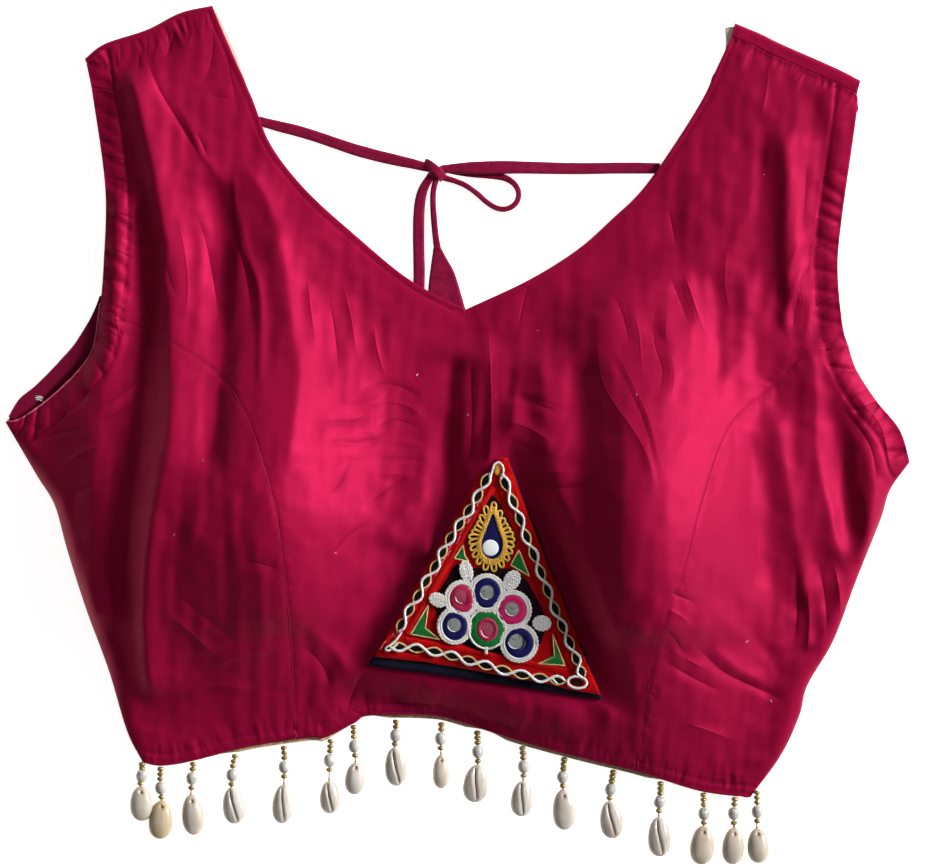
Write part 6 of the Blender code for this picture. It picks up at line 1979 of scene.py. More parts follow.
def eye_row(eyes, first_side):
    """A row of dark eyes with two strands that swing round them, crossing between eyes: each
    strand is a sine about the line through the eyes, one crest to an eye."""
    eyes = np.array(eyes, float)
    count = len(eyes)
    lead, tail = 2 * eyes[0] - eyes[1], 2 * eyes[-1] - eyes[-2]
    line = np.vstack([(lead + eyes[0]) / 2, eyes, (tail + eyes[-1]) / 2])
    places = np.concatenate([[0], np.arange(count) + 0.5, [count]])
    at = np.linspace(0, count, count * EYE_STEPS + 1)
    middle = np.stack([np.interp(at, places, line[:, k]) for k in range(2)], axis=1)
    for _ in range(6):
        middle[1:-1] = (middle[:-2] + 2 * middle[1:-1] + middle[2:]) / 4
    swing = STRAND_SWING * np.sin(np.pi * at) * first_side
    white = moved_left(middle, swing)
    gold = moved_left(middle, -swing * 1.02)
    white = on_patch(white, PATCH_TOP + STRAND_LIFT + 0.35)
    gold = on_patch(gold, PATCH_TOP + STRAND_LIFT - 0.05)
    ahead = ahead_of(middle)
    near = [int(round((k + 0.5) * EYE_STEPS)) for k in range(count)]
    eye_parts = lens(middle[near], ahead[near], EYE_HALF, PATCH_TOP + 0.8, BLACK_EYE)
    taper = np.clip(np.minimum(at, count - at) / 0.12, 0.35, 1)
    whites = tube(white, STRAND * taper, 12, WHITE_THREAD, rope_section(3, 0.12, 7.0))
    golds = tube(gold, GOLD_STRAND * taper, 8, CREAM_THREAD, rope_section(2, 0.16, 2.6))
    return [eye_parts, whites, golds]


def ring_path(middle, reach, count=48, start=0.0, squash=1.0, lean=0.0):
    """Points of an ellipse round a middle."""
    turn = start + np.arange(count) * 2 * np.pi / count
    x, y = reach * np.cos(turn), reach * squash * np.sin(turn)
    c, s = math.cos(lean), math.sin(lean)
    return np.array(middle) + np.stack([c * x - s * y, s * x + c * y], axis=1)


def patch_border():
    """The rows of eyes inside the patch's three edges, with the corner loops."""
    parts = []
    for eyes, side in ((EYES_LEFT, 1), (EYES_LOW, -1), (EYES_RIGHT, 1)):
        parts += eye_row(eyes, side)
    parts.append(lens([APEX_EYE], [(0.1, 1)], APEX_HALF, PATCH_TOP + 0.1, GOLD_THREAD))
    parts.append(lens([END_EYE], [(1, -0.12)], END_HALF, PATCH_TOP + 0.1, BLACK_EYE))
    rope = rope_section(3, 0.12, 7.0)
    for loop in CORNER_LOOPS:
        path = on_patch(line_at(loop.points, even(loop.steps)), PATCH_TOP + 1.0)
        parts.append(tube(path, STRAND * loop.share, loop.sides, WHITE_THREAD, rope))
    ring = on_patch(ring_path(END_RING, 4.7, 60, squash=0.62, lean=-0.12), PATCH_TOP + 0.95)
    parts.append(tube(ring, STRAND * 0.95, 12, WHITE_THREAD, rope_section(3, 0.12, 6.0), closed=True))
    piece("patch_border_thread", parts, ("patch_border",))


def satin_band(start, end, wide, high, material, lift, bend):
    """A band of satin stitch: a low arched strip whose surface is ribbed across, one rib to a
    stitch."""
    start, end = np.array(start, float), np.array(end, float)
    count = int(np.linalg.norm(end - start) / SATIN_STEP)
    line = start + even(count)[:, None] * (end - start)
    line = moved_left(line, bend * np.sin(np.pi * even(count)))
    across = np.linspace(-1, 1, 9)
    grid = np.stack([moved_left(line, -wide / 2 * a) for a in across], axis=1)
    along = mm_along(line)
    arch = np.sqrt(np.maximum(1 - across**2 * 0.98, 0))[None]
    rib = SATIN_RIB * np.sin(2 * np.pi * along / SATIN_PITCH)[:, None] * arch
    height = plain_height(grid) + lift + high * arch + rib
    uv = uv_of(along[:, None], across[None])
    return grid_part(grid, height, material, uv=uv)


PAD_WALL = 0.6  # how far the rim of a padded patch reaches down
PAD_GRAIN = np.array([[0.94, -0.34], [0.34, 0.94]])  # its stitches lie about 20 degrees off level


def filled_shape(corners, lift, high, material, steps):
    """A padded patch of stitches inside a closed outline: rings that shrink from the outline to
    its middle, rising quickly at the rim."""
    outline = np.array(corners, float)
    middle = outline.mean(axis=0)
    share = np.linspace(1, 0.04, steps)[:, None, None]
    xy = middle + share * (outline - middle)[None]
    rise = np.sqrt(np.maximum(1 - share[..., 0] ** 3, 0))
    points = raised(xy, plain_height(xy) + lift + high * rise)
    count = len(outline)
    quads = ring_faces(steps, count, turned=True)
    tip = raised(middle[None], plain_height(middle[None]) + lift + high)
    caps = fan(steps * count, (steps - 1) * count, count)
    low = points[0].copy()
    low[:, 2] -= PAD_WALL
    points = np.vstack([points.reshape(-1, 3), tip, low])
    k = np.arange(count)
    beyond, rim = (k + 1) % count, steps * count + 1
    wall = np.stack([rim + k, rim + beyond, beyond, k], axis=1)
    uv = points[:, :2] @ PAD_GRAIN.T
    return part(points, [quads, caps, wall], material, uv=uv)


def closed_curve(points, count):
    """A smooth closed curve through the points."""
    p = np.array(points, float)
    wrapped = np.vstack([p[-2:], p, p[:3]])
    fine = line_at(wrapped, even(count * 6))
    steps = mm_along(fine)
    first = steps[np.argmin(np.linalg.norm(fine - p[0], axis=1)[: len(fine) // 2])]
    tail = len(fine) // 2
    last = steps[tail + np.argmin(np.linalg.norm(fine[tail:] - p[0], axis=1))]
    at = np.linspace(first, last, count, endpoint=False)
    return np.stack([np.interp(at, steps, fine[:, k]) for k in range(2)], axis=1)


def cornered(points, count):
    """Points evenly along the straight sides of a closed outline, its corners kept."""
    p = np.array(points, float)
    sides = np.linalg.norm(np.roll(p, -1, axis=0) - p, axis=1)
    shares = np.maximum(np.round(sides / sides.sum() * count).astype(int), 2)
    return np.vstack(
        [np.linspace(a, b, n, endpoint=False) for a, b, n in zip(p, np.roll(p, -1, axis=0), shares)]
    )


def anticlockwise(points):
    p = np.asarray(points, float)
    after = np.roll(p, -1, axis=0)
    turning = (p[:, 0] * after[:, 1] - after[:, 0] * p[:, 1]).sum()
    return p if turning > 0 else p[::-1]


def chain(path, lift, material, radius=0.42, pitch=2.0, swing=0.55, closed=True, sides=7):
    """Chain stitch along a path: two threads that swing to both sides, one loop to each pitch."""
    path = np.asarray(path, float)
    looped = np.vstack([path, path[:1]]) if closed else path
    total = length_of(looped)
    loops = max(int(round(total / pitch)), 3)
    count = loops * 8
    shares = np.arange(count) / count if closed else even(count)
    middle = straight_at(looped, shares)
    if closed:
        ahead = np.roll(middle, -1, axis=0) - np.roll(middle, 1, axis=0)
    else:
        ahead = np.gradient(middle, axis=0)
    ahead /= np.linalg.norm(ahead, axis=1, keepdims=True)
    left = np.stack([-ahead[:, 1], ahead[:, 0]], axis=1)
    phase = 2 * np.pi * shares * loops
    found = []
    for way in (1, -1):
        off = way * swing * np.sin(phase / 2) ** 2 + way * 0.12
        xy = middle + off[:, None] * left
        height = plain_height(xy) + lift + 0.16 * way * np.cos(phase)
        found.append(tube(raised(xy, height), radius, sides, material, closed=closed))
    return found


LEAVES = (
    ((2.8, -54.5), (-1.6, -60.9), (5.6, -62.5), (3.6, -59.6)), ((30.3, -56.9), (26.3, -64.1),
    (35.5, -69.7), (32.6, -62.6)), ((-14.4, -84.0), (-23.1, -98.6), (-8.8, -101.2), (-16.0, -95.6)),
    ((47.0, -98.4), (48.0, -109.6), (39.9, -113.1), (53.0, -113.9)),
)


def patch_leaves():
    """The four green corner pieces with their gold outlines."""
    parts = []
    for corners in LEAVES:
        outline = anticlockwise(cornered(corners, 48))
        parts.append(filled_shape(outline, PATCH_TOP - 0.1, 0.55, GREEN_THREAD, 8))
        path = on_patch(outline, PATCH_TOP + 0.28)
        parts.append(tube(path, 0.34, 6, CREAM_THREAD, closed=True))
    return parts


BLACK_FIELD = (
    (-1.6, -62.6), (-6.4, -69.6), (-11.0, -77.6), (-13.2, -84.4), (-11.2, -92.6), (-8.4, -100.2),
    (-1.0, -103.8), (6.4, -106.4), (14.6, -109.4), (22.4, -111.8), (30.6, -113.6), (38.4, -110.4),
    (43.2, -102.4), (45.4, -94.2), (43.4, -86.4), (39.6, -78.4), (35.2, -71.0), (29.6, -65.6),
    (21.0, -64.4), (13.0, -64.6), (5.4, -64.2),
)


TALL_FIELD = (
    (16.6, -28.0), (8.2, -40.0), (3.6, -52.0), (12.0, -66.0), (22.0, -67.0), (30.4, -54.0), (25.4, -40.0),
)
# Columns: a red band's two ends, its width and height, and how far it bends.
RedBand = namedtuple("RedBand", "start end wide high bend")
RED_BANDS = table(
    RedBand,
    ((17.6, -25.4), (-24.9, -98.4), 3.4, 0.75, 0),
    ((20.6, -25.4), (56.4, -114.6), 3.4, 0.75, 0),
    ((-25.6, -101.6), (53.6, -117.2), 3.2, 0.70, 0.8),
    ((12.2, -20.6), (-35.6, -104.6), 3.6, 0.55, 0),
    ((24.6, -19.4), (66.2, -124.0), 3.8, 0.55, 0),
    ((-36.0, -108.2), (64.2, -125.8), 3.2, 0.50, 1.6),
)
SATIN_STEP, SATIN_PITCH, SATIN_RIB = 0.35, 0.72, 0.07  # mm between rows, between ribs, and a rib's height


def patch_ground():
    """The red satin ground with its inner bands, dark field, corner pieces and loose threads, the threads
    pale pink with painted glint.
    """
    top, left, right = GROUND_CORNERS
    sheet = triangle_sheet(top, left, right, GROUND_LIFT, 84, RED_GROUND, GROUND_BOW, 301, 0.05, 0.45)
    made = piece("patch_ground_cloth", [sheet], ("patch_ground",))
    laid_sheet(made)
    walled(made, GROUND_WALL, 1)
    lift = PATCH_TOP - 0.45
    bands = [satin_band(*row[:4], RED_BAND, lift, row.bend) for row in RED_BANDS]
    field = filled_shape(anticlockwise(closed_curve(BLACK_FIELD, 72)), PATCH_TOP - 0.4, 0.35, DARK_FILL, 12)
    tall = filled_shape(anticlockwise(closed_curve(TALL_FIELD, 48)), PATCH_TOP - 0.4, 0.3, DARK_FILL, 8)
    piece("patch_ground_stitching", [*bands, field, tall, *patch_leaves()])
    rng = np.random.default_rng(305)
    parts = []
    top, left = np.array(GROUND_CORNERS[0]), np.array(GROUND_CORNERS[1])
    for share in np.linspace(0.2, 0.95, 60):
        way = (left - top) / np.linalg.norm(left - top)
        inward = np.array([-way[1], way[0]]) * rng.uniform(0.5, 4.2)
        start = top + share * (left - top) + inward + way * rng.uniform(-1, 1)
        reach = rng.uniform(1.5, 4.5)
        bend = rng.uniform(-0.5, 0.5)
        middle = start + way * reach / 2 + np.array([bend, -bend * 0.5])
        line = line_at((start, middle, start + way * reach), even(8))
        lift_line = GROUND_LIFT + 1.1 + rng.uniform(0.1, 0.7) * np.sin(np.pi * even(8))
        parts.append(tube(raised(line, plain_height(line) + lift_line), 0.2, 5, LOOSE_THREAD_GLINT))
    piece("patch_loose_thread", parts)


def patch_felt():
    """The dark felt under the ground, which shows below it and to its right."""
    top, left, right = FELT_CORNERS
    sheet = triangle_sheet(top, left, right, FELT_LIFT, 66, FELT, 0.6, 321, 0.06, 0.3)
    made = piece("patch_felt_cloth", [sheet], ("patch_felt",))
    laid_sheet(made)
    walled(made, FELT_WALL, 1)


TEARDROP = (
    (17.5, -39.0), (14.4, -45.6), (11.8, -53.4), (13.0, -58.6), (17.1, -60.8), (21.2, -58.6),
    (22.5, -53.4), (20.2, -45.6),
)
LOOPS = 23
LOOP_HALF = 1.15  # of a loop's width
DROPLET_MIDDLE, DROPLET_HALF = (16.9, -50.2), (11.2, 17.2)
MIRROR_MIDDLE, MIRROR_REACH = (16.3, -55.7), 4.1
DROPLET_NARROW = 0.42  # how much narrower it is at its top


def patch_droplet():
    """The gold droplet: a deep gold field, painted shade between its loops; a ring of loops that point
    outwards; a chain inside it; and a navy drop with a round mirror, near white as painted reflection."""
    parts = []
    turn = np.linspace(0, 2 * np.pi, LOOPS, endpoint=False) + 0.14
    middle = np.array(DROPLET_MIDDLE)
    across, along = DROPLET_HALF

    def reach(angle):
        wide = across * (1 - DROPLET_NARROW * np.clip(np.sin(angle), 0, 1))
        return wide * along / np.hypot(along * np.cos(angle), wide * np.sin(angle))

    rim = closed_curve([middle + (reach(a) - 4.6) * np.array([math.cos(a), math.sin(a)]) for a in turn], 96)
    # The deep gold field paints the shade between the loops.
    field = filled_shape(anticlockwise(rim), PATCH_TOP - 0.3, 0.45, GOLD_PAINTED_SHADE, 8)
    parts.append(field)
    for a in turn:
        out = np.array([math.cos(a), math.sin(a)])
        side = np.array([-out[1], out[0]])
        far = middle + reach(a) * out
        near = middle + (reach(a) - 5.4) * out
        wide = side * LOOP_HALF
        loop = (
            near + side * 0.5, (near + far) / 2 + wide, far - out * 0.7 + wide * 0.8, far,
            far - out * 0.7 - wide * 0.8, (near + far) / 2 - wide, near - side * 0.5,
        )
        line = line_at(loop, even(26))
        parts.append(
            tube(on_patch(line, PATCH_TOP + 0.55), 0.56, 7, GOLD_THREAD, rope_section(3, 0.14, 1.8))
        )
    drop = closed_curve(TEARDROP, 72)
    for grow, radius in ((1.12, 0.55), (1.27, 0.5)):
        path = (drop - drop.mean(axis=0)) * grow + drop.mean(axis=0)
        parts += chain(path, PATCH_TOP + 0.75, GOLD_THREAD, radius, 1.8, 0.35)
    parts.append(filled_shape(anticlockwise(drop), PATCH_TOP + 0.2, 0.6, NAVY_THREAD, 10))
    rim = on_patch(closed_curve(TEARDROP, 90), PATCH_TOP + 0.7)
    parts.append(tube(rim, 0.42, 7, NAVY_THREAD, rope_section(3, 0.12, 1.6), closed=True))
    # The droplet's mirror, near white: painted reflection.
    parts.append(mirror(MIRROR_MIDDLE, MIRROR_REACH, MIRROR_PAINTED_REFLECTION, PATCH_TOP + 0.85, 0.25))
    piece("patch_droplet_thread", parts, ("patch_droplet",))


SLOPE_STEP = 3.0  # a mirror leans as the front does over this reach


def mirror(middle, reach, material, lift, dome, squash=1.0, rings=8, sides=40):
    """A small mirror: a slightly domed disc that leans as the front does, its edge turned down."""
    share = np.concatenate([[1.0], np.linspace(0.98, 0.06, rings)])
    rim = ring_path((0, 0), 1.0, sides, squash=squash)
    xy = np.array(middle) + reach * share[:, None, None] * rim[None]
    level = plain_height(np.array(middle)[None])[0] + lift
    beside_it = np.array(middle) + SLOPE_STEP * np.eye(2)
    slope = (plain_height(beside_it) + lift - level) / SLOPE_STEP
    height = level + (xy - np.array(middle)) @ slope + dome * (1 - share[:, None] ** 2)
    height[0] -= 0.5
    points = raised(xy, height)
    rows = len(share)
    quads = ring_faces(rows, sides, turned=True)
    tip = [[middle[0], middle[1], level + dome]]
    caps = fan(rows * sides, (rows - 1) * sides, sides)
    return part(np.vstack([points.reshape(-1, 3), tip]), [quads, caps], material)


# Columns: a round's middle, its coloured ring's outer radius and squash, its mirror's middle and
# radius, its thread and its mirror, and the outer radius of its white chains.
Medal = namedtuple("Medal", "x y reach squash mx my mirror thread glass rim")
MEDALS = table(
    Medal,
    (2.2, -81.0, 6.1, 1.16, 1.8, -79.8, 3.2, ROSE_THREAD, ROSE_MIRROR, 8.6),
    (14.5, -78.1, 6.7, 1.10, 14.6, -77.8, 3.75, NAVY_THREAD, MIRROR, 9.5),
    (27.1, -86.4, 7.0, 1.06, 27.0, -86.0, 3.75, MAGENTA_THREAD, MIRROR, 10.0),
    (-1.4, -94.4, 6.1, 1.16, -1.6, -94.0, 3.65, NAVY_THREAD, MIRROR, 8.9),
    (14.7, -95.8, 8.6, 1.08, 14.8, -96.4, 3.5, GREEN_THREAD, ROSE_MIRROR, 9.5),
    (30.5, -102.8, 6.9, 1.06, 28.7, -102.0, 4.1, NAVY_THREAD, MIRROR, 9.8),
)
# Columns: a petal's middle, its half sizes, and how far its tip is turned from upright.
Petal = namedtuple("Petal", "x y wide long turn")
PETAL_SHAPES = table(
    Petal,
    (4.4, -67.4, 2.5, 4.6, 14), (26.9, -71.8, 3.2, 4.5, -30), (-9.6, -81.6, 2.7, 3.9, 65),
    (41.7, -93.0, 3.1, 3.9, -95),
)


def ring_band(middle, inner, outer, high, material, lift, squash, sides=64):
    """A raised ring of satin stitch: a half-round section carried round an ellipse."""
    across = np.linspace(-1, 1, 9)
    turn = np.arange(sides + 1) * 2 * np.pi / sides
    mid, half = (inner + outer) / 2, (outer - inner) / 2
    rings = [ring_path(middle, mid - half * a, sides, squash=squash) for a in across]
    grid = np.stack([np.vstack([ring, ring[:1]]) for ring in rings])
    arch = np.sqrt(np.maximum(1 - 0.97 * across**2, 0))[:, None]
    rib = 0.05 * np.sin(turn * sides / 2)[None] * arch
    height = plain_height(grid) + lift + high * arch + rib
    uv = uv_of((turn * mid)[None], across[:, None])
    points = raised(grid, height)
    return part(points, [grid_faces(*grid.shape[:2])], material, uv=uv)


PAINTED_GLINT_STEPS = 17  # of a mirror's ring of 60 that its painted glint covers
CHAIN_PITCH = 1.2  # from one ring of chain stitch to the next
ROSETTE_STEM = ((14.4, -104.6), (14.2, -106.4), (14.1, -108.2))
INNER_ROSE = (14.9, -96.2)  # the middle of the rose ring inside the green one


def patch_rosette():
    """The white rosette: a grey padded base that paints the shade between the chain rows, a chain of
    white stitches round each round, petals, and in each round a coloured satin ring that holds a small
    mirror with a bright arc of painted reflection."""
    parts = []
    fill_lift = PATCH_TOP + 0.15
    for medal in MEDALS:
        base = ring_path((medal.x, medal.y), medal.rim - 0.6, 56)
        # Grey padding under the chains: painted shade between their rows.
        parts.append(filled_shape(base, fill_lift - 0.3, 0.45, GREY_PAINTED_SHADE, 8))
        first = medal.reach + 0.55
        path = ring_path((medal.x, medal.y), first, 90, squash=medal.squash)
        path = on_patch(path, PATCH_TOP + 0.95)
        parts.append(tube(path, 0.55, 8, WHITE_THREAD, rope_section(2, 0.14, 1.6), closed=True))
        for reach in np.arange(first + 1.35, medal.rim, CHAIN_PITCH):
            path = ring_path((medal.x, medal.y), reach, 90, squash=1 + (medal.squash - 1) * 0.5)
            parts += chain(path, PATCH_TOP + 0.9, WHITE_THREAD, 0.44, 1.9, 0.36)
    for petal in PETAL_SHAPES:
        middle, squash, lean = (petal.x, petal.y), petal.long / petal.wide, math.radians(petal.turn)
        for share in (1.0, 0.62, 0.28):
            path = ring_path(middle, petal.wide * share, 40, squash=squash, lean=lean)
            parts += chain(path, PATCH_TOP + 0.85, WHITE_THREAD, 0.46, 1.7, 0.38)
        base = ring_path(middle, petal.wide, 40, squash=squash, lean=lean)
        parts.append(filled_shape(base, fill_lift - 0.2, 0.45, GREY_PAINTED_SHADE, 6))
    parts.append(tube(on_patch(line_at(ROSETTE_STEM, even(10)), PATCH_TOP + 0.7), 0.8, 8, WHITE_THREAD))
    for medal in MEDALS:
        middle, inner = (medal.x, medal.y), medal.mirror * 0.8
        lift = PATCH_TOP + 0.75
        parts.append(ring_band(middle, inner, medal.reach, 0.85, medal.thread, lift, medal.squash))
        if medal.thread == GREEN_THREAD:
            parts.append(ring_band(INNER_ROSE, 3.1, 5.4, 0.9, ROSE_THREAD, PATCH_TOP + 1.05, 1.12))
        squash = 1.2 if medal.glass == ROSE_MIRROR else 1.0
        middle = (medal.mx, medal.my)
        parts.append(mirror(middle, medal.mirror, medal.glass, PATCH_TOP + 1.5, 0.25, squash))
        rim = ring_path(middle, medal.mirror + 0.1, 44, squash=squash)
        parts.append(tube(on_patch(rim, PATCH_TOP + 1.5), 0.3, 6, medal.thread, closed=True))
        # A bright arc inside each mirror: painted reflection.
        painted_glint = ring_path(middle, medal.mirror * 0.86, 60, 3.2, squash)[:PAINTED_GLINT_STEPS]
        parts.append(tube(on_patch(painted_glint, PATCH_TOP + 1.72), 0.2, 6, MIRROR_PAINTED_REFLECTION))
    piece("patch_rosette_thread", parts, ("patch_rosette",))


# ---- The drops ----

# The cowries that show their slit; the others show their backs.
SLIT_UP = (4, 5, 6, 8, 10, 11, 13, 14)
# How yellow each of these shells is; the others are at PLAIN_TONE.
YELLOW = {1: 0.35, 2: 0.8, 3: 0.25, 9: 0.3, 12: 0.15, 15: 0.45, 16: 0.35, 17: 0.4}


def bead_places(start, end):
    """Each bead with its place along the string, as a share from the start. A string too short
    for all five leaves out the first."""
    length = float(np.linalg.norm(end - start))
    beads = list(BEADS)
    if length < sum(bead.length for bead in beads):
        beads = beads[1:]
    total = max(sum(bead.length for bead in beads), length - LOOSE_THREAD)
    used, places = 0.0, []
    for bead in beads:
        places.append(((used + bead.length / 2) / total, bead))
        used += bead.length
    return places


# Columns: a bead's half length and radius, how square its outline is, its steps, and how far its
# ends stand out.
GOLD_SHAPE, MILKY_SHAPE = (1.2, 1.75, 2.4, 9, 0.15), (3.3, 2.9, 2.3, 13, 0.3)
STRING_RADIUS = 0.42
LARGE_BEAD = 2  # a bead of a larger radius is a milky one


def turned_profile(half, radius, power, steps, hole):
    """A bead's profile: a rounded outline between its two ends."""
    at = -np.cos(np.linspace(0, np.pi, steps))
    reach = radius * np.maximum(1 - np.abs(at) ** power, 0) ** (1 / power)
    reach[[0, -1]] = 0
    at = at * half
    at[0], at[-1] = at[1] + hole, at[-2] - hole
    return np.stack([at, reach], axis=1)


# Places across half of a shell's top, closer near its slit.
SHELL_SHARES = np.array(
    [0, 0.03, 0.06, 0.09, 0.125, 0.165, 0.21, 0.27, 0.34, 0.43, 0.54, 0.66, 0.78, 0.88, 0.95, 0.99]
)
TOOTH_PITCH = 1.25
PLAIN_TONE = 0.06


def cowrie(drop, number):
    """A cowrie: an egg-shaped outline, wider at its upper end, over a flat underside. Its back is
    a smooth dome with a small hole; its mouth is a slit between two rolled lips with fine teeth."""
    rng = np.random.default_rng(400 + number)
    half_long, half_wide = drop.length / 2, drop.width / 2
    u = np.sin(np.linspace(-np.pi / 2, np.pi / 2, 46))[1:-1][:, None]
    top = np.concatenate([SHELL_SHARES[::-1], -SHELL_SHARES[1:]])
    under = np.cos(np.linspace(np.pi, 2 * np.pi, 13))[1:-1]
    x = np.concatenate([top, under])[None]
    upper = np.concatenate([np.ones(len(top)), -np.ones(len(under))])[None]
    reach = np.maximum(1 - np.abs(u) ** SHELL_BLUNT, 0) ** (1 / 2.0)
    egg = 1.03 - 0.9 * SHELL_TAPER * u
    across = x * half_wide * reach * egg
    rise = np.maximum(1 - np.abs(x) ** SHELL_FULL, 0) ** (1 / 2.0) * reach
    bottom = (1 - SHELL_FLAT) * SHELL_HEIGHT / 2
    up = SHELL_HEIGHT / 2
    lifted = np.where(upper > 0, rise**0.92 * up, -np.minimum(rise * SHELL_HEIGHT / 2, bottom))
    slit = np.zeros_like(across)
    lip = np.zeros_like(across)
    along = u * half_long
    on_top = upper > 0
    if number in SLIT_UP:
        window = ease((0.93 - np.abs(u)) / 0.22)
        bent = across + half_wide * (0.10 * np.sin(u * 2.4 + 0.5) + 0.12 * u)
        share = bent / half_wide
        off = np.abs(share)
        flatten = 0.45 * bell(share, 0, 0.45) * window
        groove = 0.75 * bell(share, 0, 0.055) * window
        rolls = 0.26 * bell(off, 0.27, 0.15) * window
        ridges = np.cos(2 * np.pi * along / TOOTH_PITCH)
        teeth = 0.17 * ridges * bell(off, 0.17, 0.09) * window
        lifted = lifted + np.where(on_top, rolls + teeth - groove - flatten, 0)
        # The slit, which the finish makes dark brown: painted shade of the opening.
        slit = np.where(on_top, bell(share, 0, 0.05) * window * (0.55 + 0.45 * u), 0)
        stripes = 0.5 + 0.5 * ridges
        lip = np.where(on_top, bell(off, 0.13, 0.09) * window * (0.45 + 0.55 * stripes), 0)
    else:
        hole = np.hypot(across - 0.3, along - half_long * 0.66)
        # The back's hole, which the finish makes dark brown: painted shade.
        slit = np.where(on_top, bell(hole, 0, 0.75), 0)
        lifted = lifted - np.where(on_top, 1.1 * bell(hole, 0, 0.8), 0)
        lip = np.where(on_top, 0.45 * bell(hole, 1.4, 0.7), 0)
    lumps = 0.10 * np.sin(u * 3.1 + rng.uniform(0, 6)) * np.cos(x * 2.3 + rng.uniform(0, 6))
    lifted = lifted + np.where(on_top, lumps * rise, 0)
    # The outline and ends, which the finish greys: painted shade.
    edge = np.maximum(np.exp(-(1 - np.minimum(np.abs(x), 1)) / 0.13), np.exp(-(1 - np.abs(u)) / 0.05))
    tone = YELLOW.get(number, PLAIN_TONE) * (0.55 + 0.45 * np.abs(u)) * np.ones_like(across)
    tone = np.clip(tone + 0.16 * np.exp(-((1 - np.abs(u)) / 0.08)), 0, 1)
    turn = math.radians(drop.turn)
    c, s = math.cos(turn), math.sin(turn)
    base = bottom + SHELL_CLEAR
    rows, columns = across.shape
    flat = np.stack(
        [
            drop.shell_x + c * across - s * (along * np.ones_like(across)),
            drop.shell_y + s * across + c * (along * np.ones_like(across)),
            base + lifted,
        ],
        axis=-1,
    ).reshape(-1, 3)
    tips = [[drop.shell_x - s * a, drop.shell_y + c * a, base - 0.4] for a in (-half_long, half_long)]
    points = np.vstack([flat, tips])
    quads = ring_faces(rows, columns)
    last = (rows - 1) * columns
    caps = np.vstack([fan(rows * columns, 0, columns), fan(rows * columns + 1, last, columns, turned=True)])
    values = {
        key: np.concatenate([value.ravel(), [tip, tip]])
        for key, value, tip in (
            ("slit", slit, 0), ("lip", lip, 0), ("edge", edge * np.ones_like(across), 1),
            ("tone", tone, YELLOW.get(number, PLAIN_TONE) + 0.15),
        )
    }
    made = part(points, [quads, caps], COWRIE, **values)
    piece(f"cowrie_{number:02d}_shell", [made], (f"cowrie_{number:02d}",))


def drops():
    """Each drop: its string, its small gold beads and large milky bead, and its cowrie."""
    low_edge = np.array([SIDE_LEFT[1], *HEM, SIDE_RIGHT[1]])
    gold, milky = turned_profile(*GOLD_SHAPE), turned_profile(*MILKY_SHAPE)
    for number, drop in enumerate(DROPS, 1):
        edge = float(np.interp(drop.top_x, low_edge[:, 0], low_edge[:, 1]))
        show = max(tape_show(drop.top_x + side) for side in (-3, 0, 3))
        height = float(tape_height(np.array([drop.top_x, edge])))
        start = np.array([drop.top_x, edge - show - GAP - STRING_LET_OFF, max(STRING_TOP, height)])
        turn = math.radians(drop.turn)
        tip = drop.length / 2 + GAP
        end = np.array([drop.shell_x - tip * math.sin(turn), drop.shell_y + tip * math.cos(turn), STRING_Z])
        rng = np.random.default_rng(500 + number)
        sway = rng.uniform(-0.5, 0.5, 3)
        line = start + even(24)[:, None] * (end - start)
        line[:, 0] += sway[0] * np.sin(np.pi * even(24)) + 0.3 * sway[1] * np.sin(2 * np.pi * even(24))
        parts = [tube(line, STRING_RADIUS, 7, STRING, rope_section(3, 0.15, 1.4))]
        way, reach = end - start, np.linalg.norm(end - start)
        for large, profile, material, sides in ((False, gold, GOLD_BEAD, 16), (True, milky, PEARL, 24)):
            shares = [share for share, bead in bead_places(start, end) if (bead.radius > LARGE_BEAD) == large]
            places = np.stack([straight_at(line, [share])[0] for share in shares])
            ways = way[None] + rng.uniform(-0.16, 0.16, (len(shares), 3)) * reach
            parts.append(lathe(profile, places, ways, sides, material))
        near_end = end + way / reach * 0.25
        parts.append(ball(near_end + np.array([0, 0.5, 0.1]), (0.75, 0.7, 0.7), STRING, 8, 10))
        piece(f"bead_string_{number:02d}_thread", parts, (f"bead_string_{number:02d}",))
        cowrie(drop, number)


# ---- Sewing, lint and tacks ----


def over_cloth(xy, lift=0.0):
    return raised(xy, front_height(xy) + lift)


def inset(line, distance, start=0.0, end=1.0, steps=300):
    """A line moved sideways to its left, between two shares of its length."""
    moved = moved_left(straight_at(np.asarray(line, float), even(400)), distance)
    return straight_at(moved, start + (end - start) * even(steps))


STITCH = (0.02, 2.2, 0.5, 0.22)  # a stitch's height over the cloth, length, gap and radius
ROLL_RADIUS = 0.42  # of the rolled edge along a shoulder seam and an armhole
SEAM_RADIUS, SEAM_THREAD_RADIUS = 0.46, 0.15


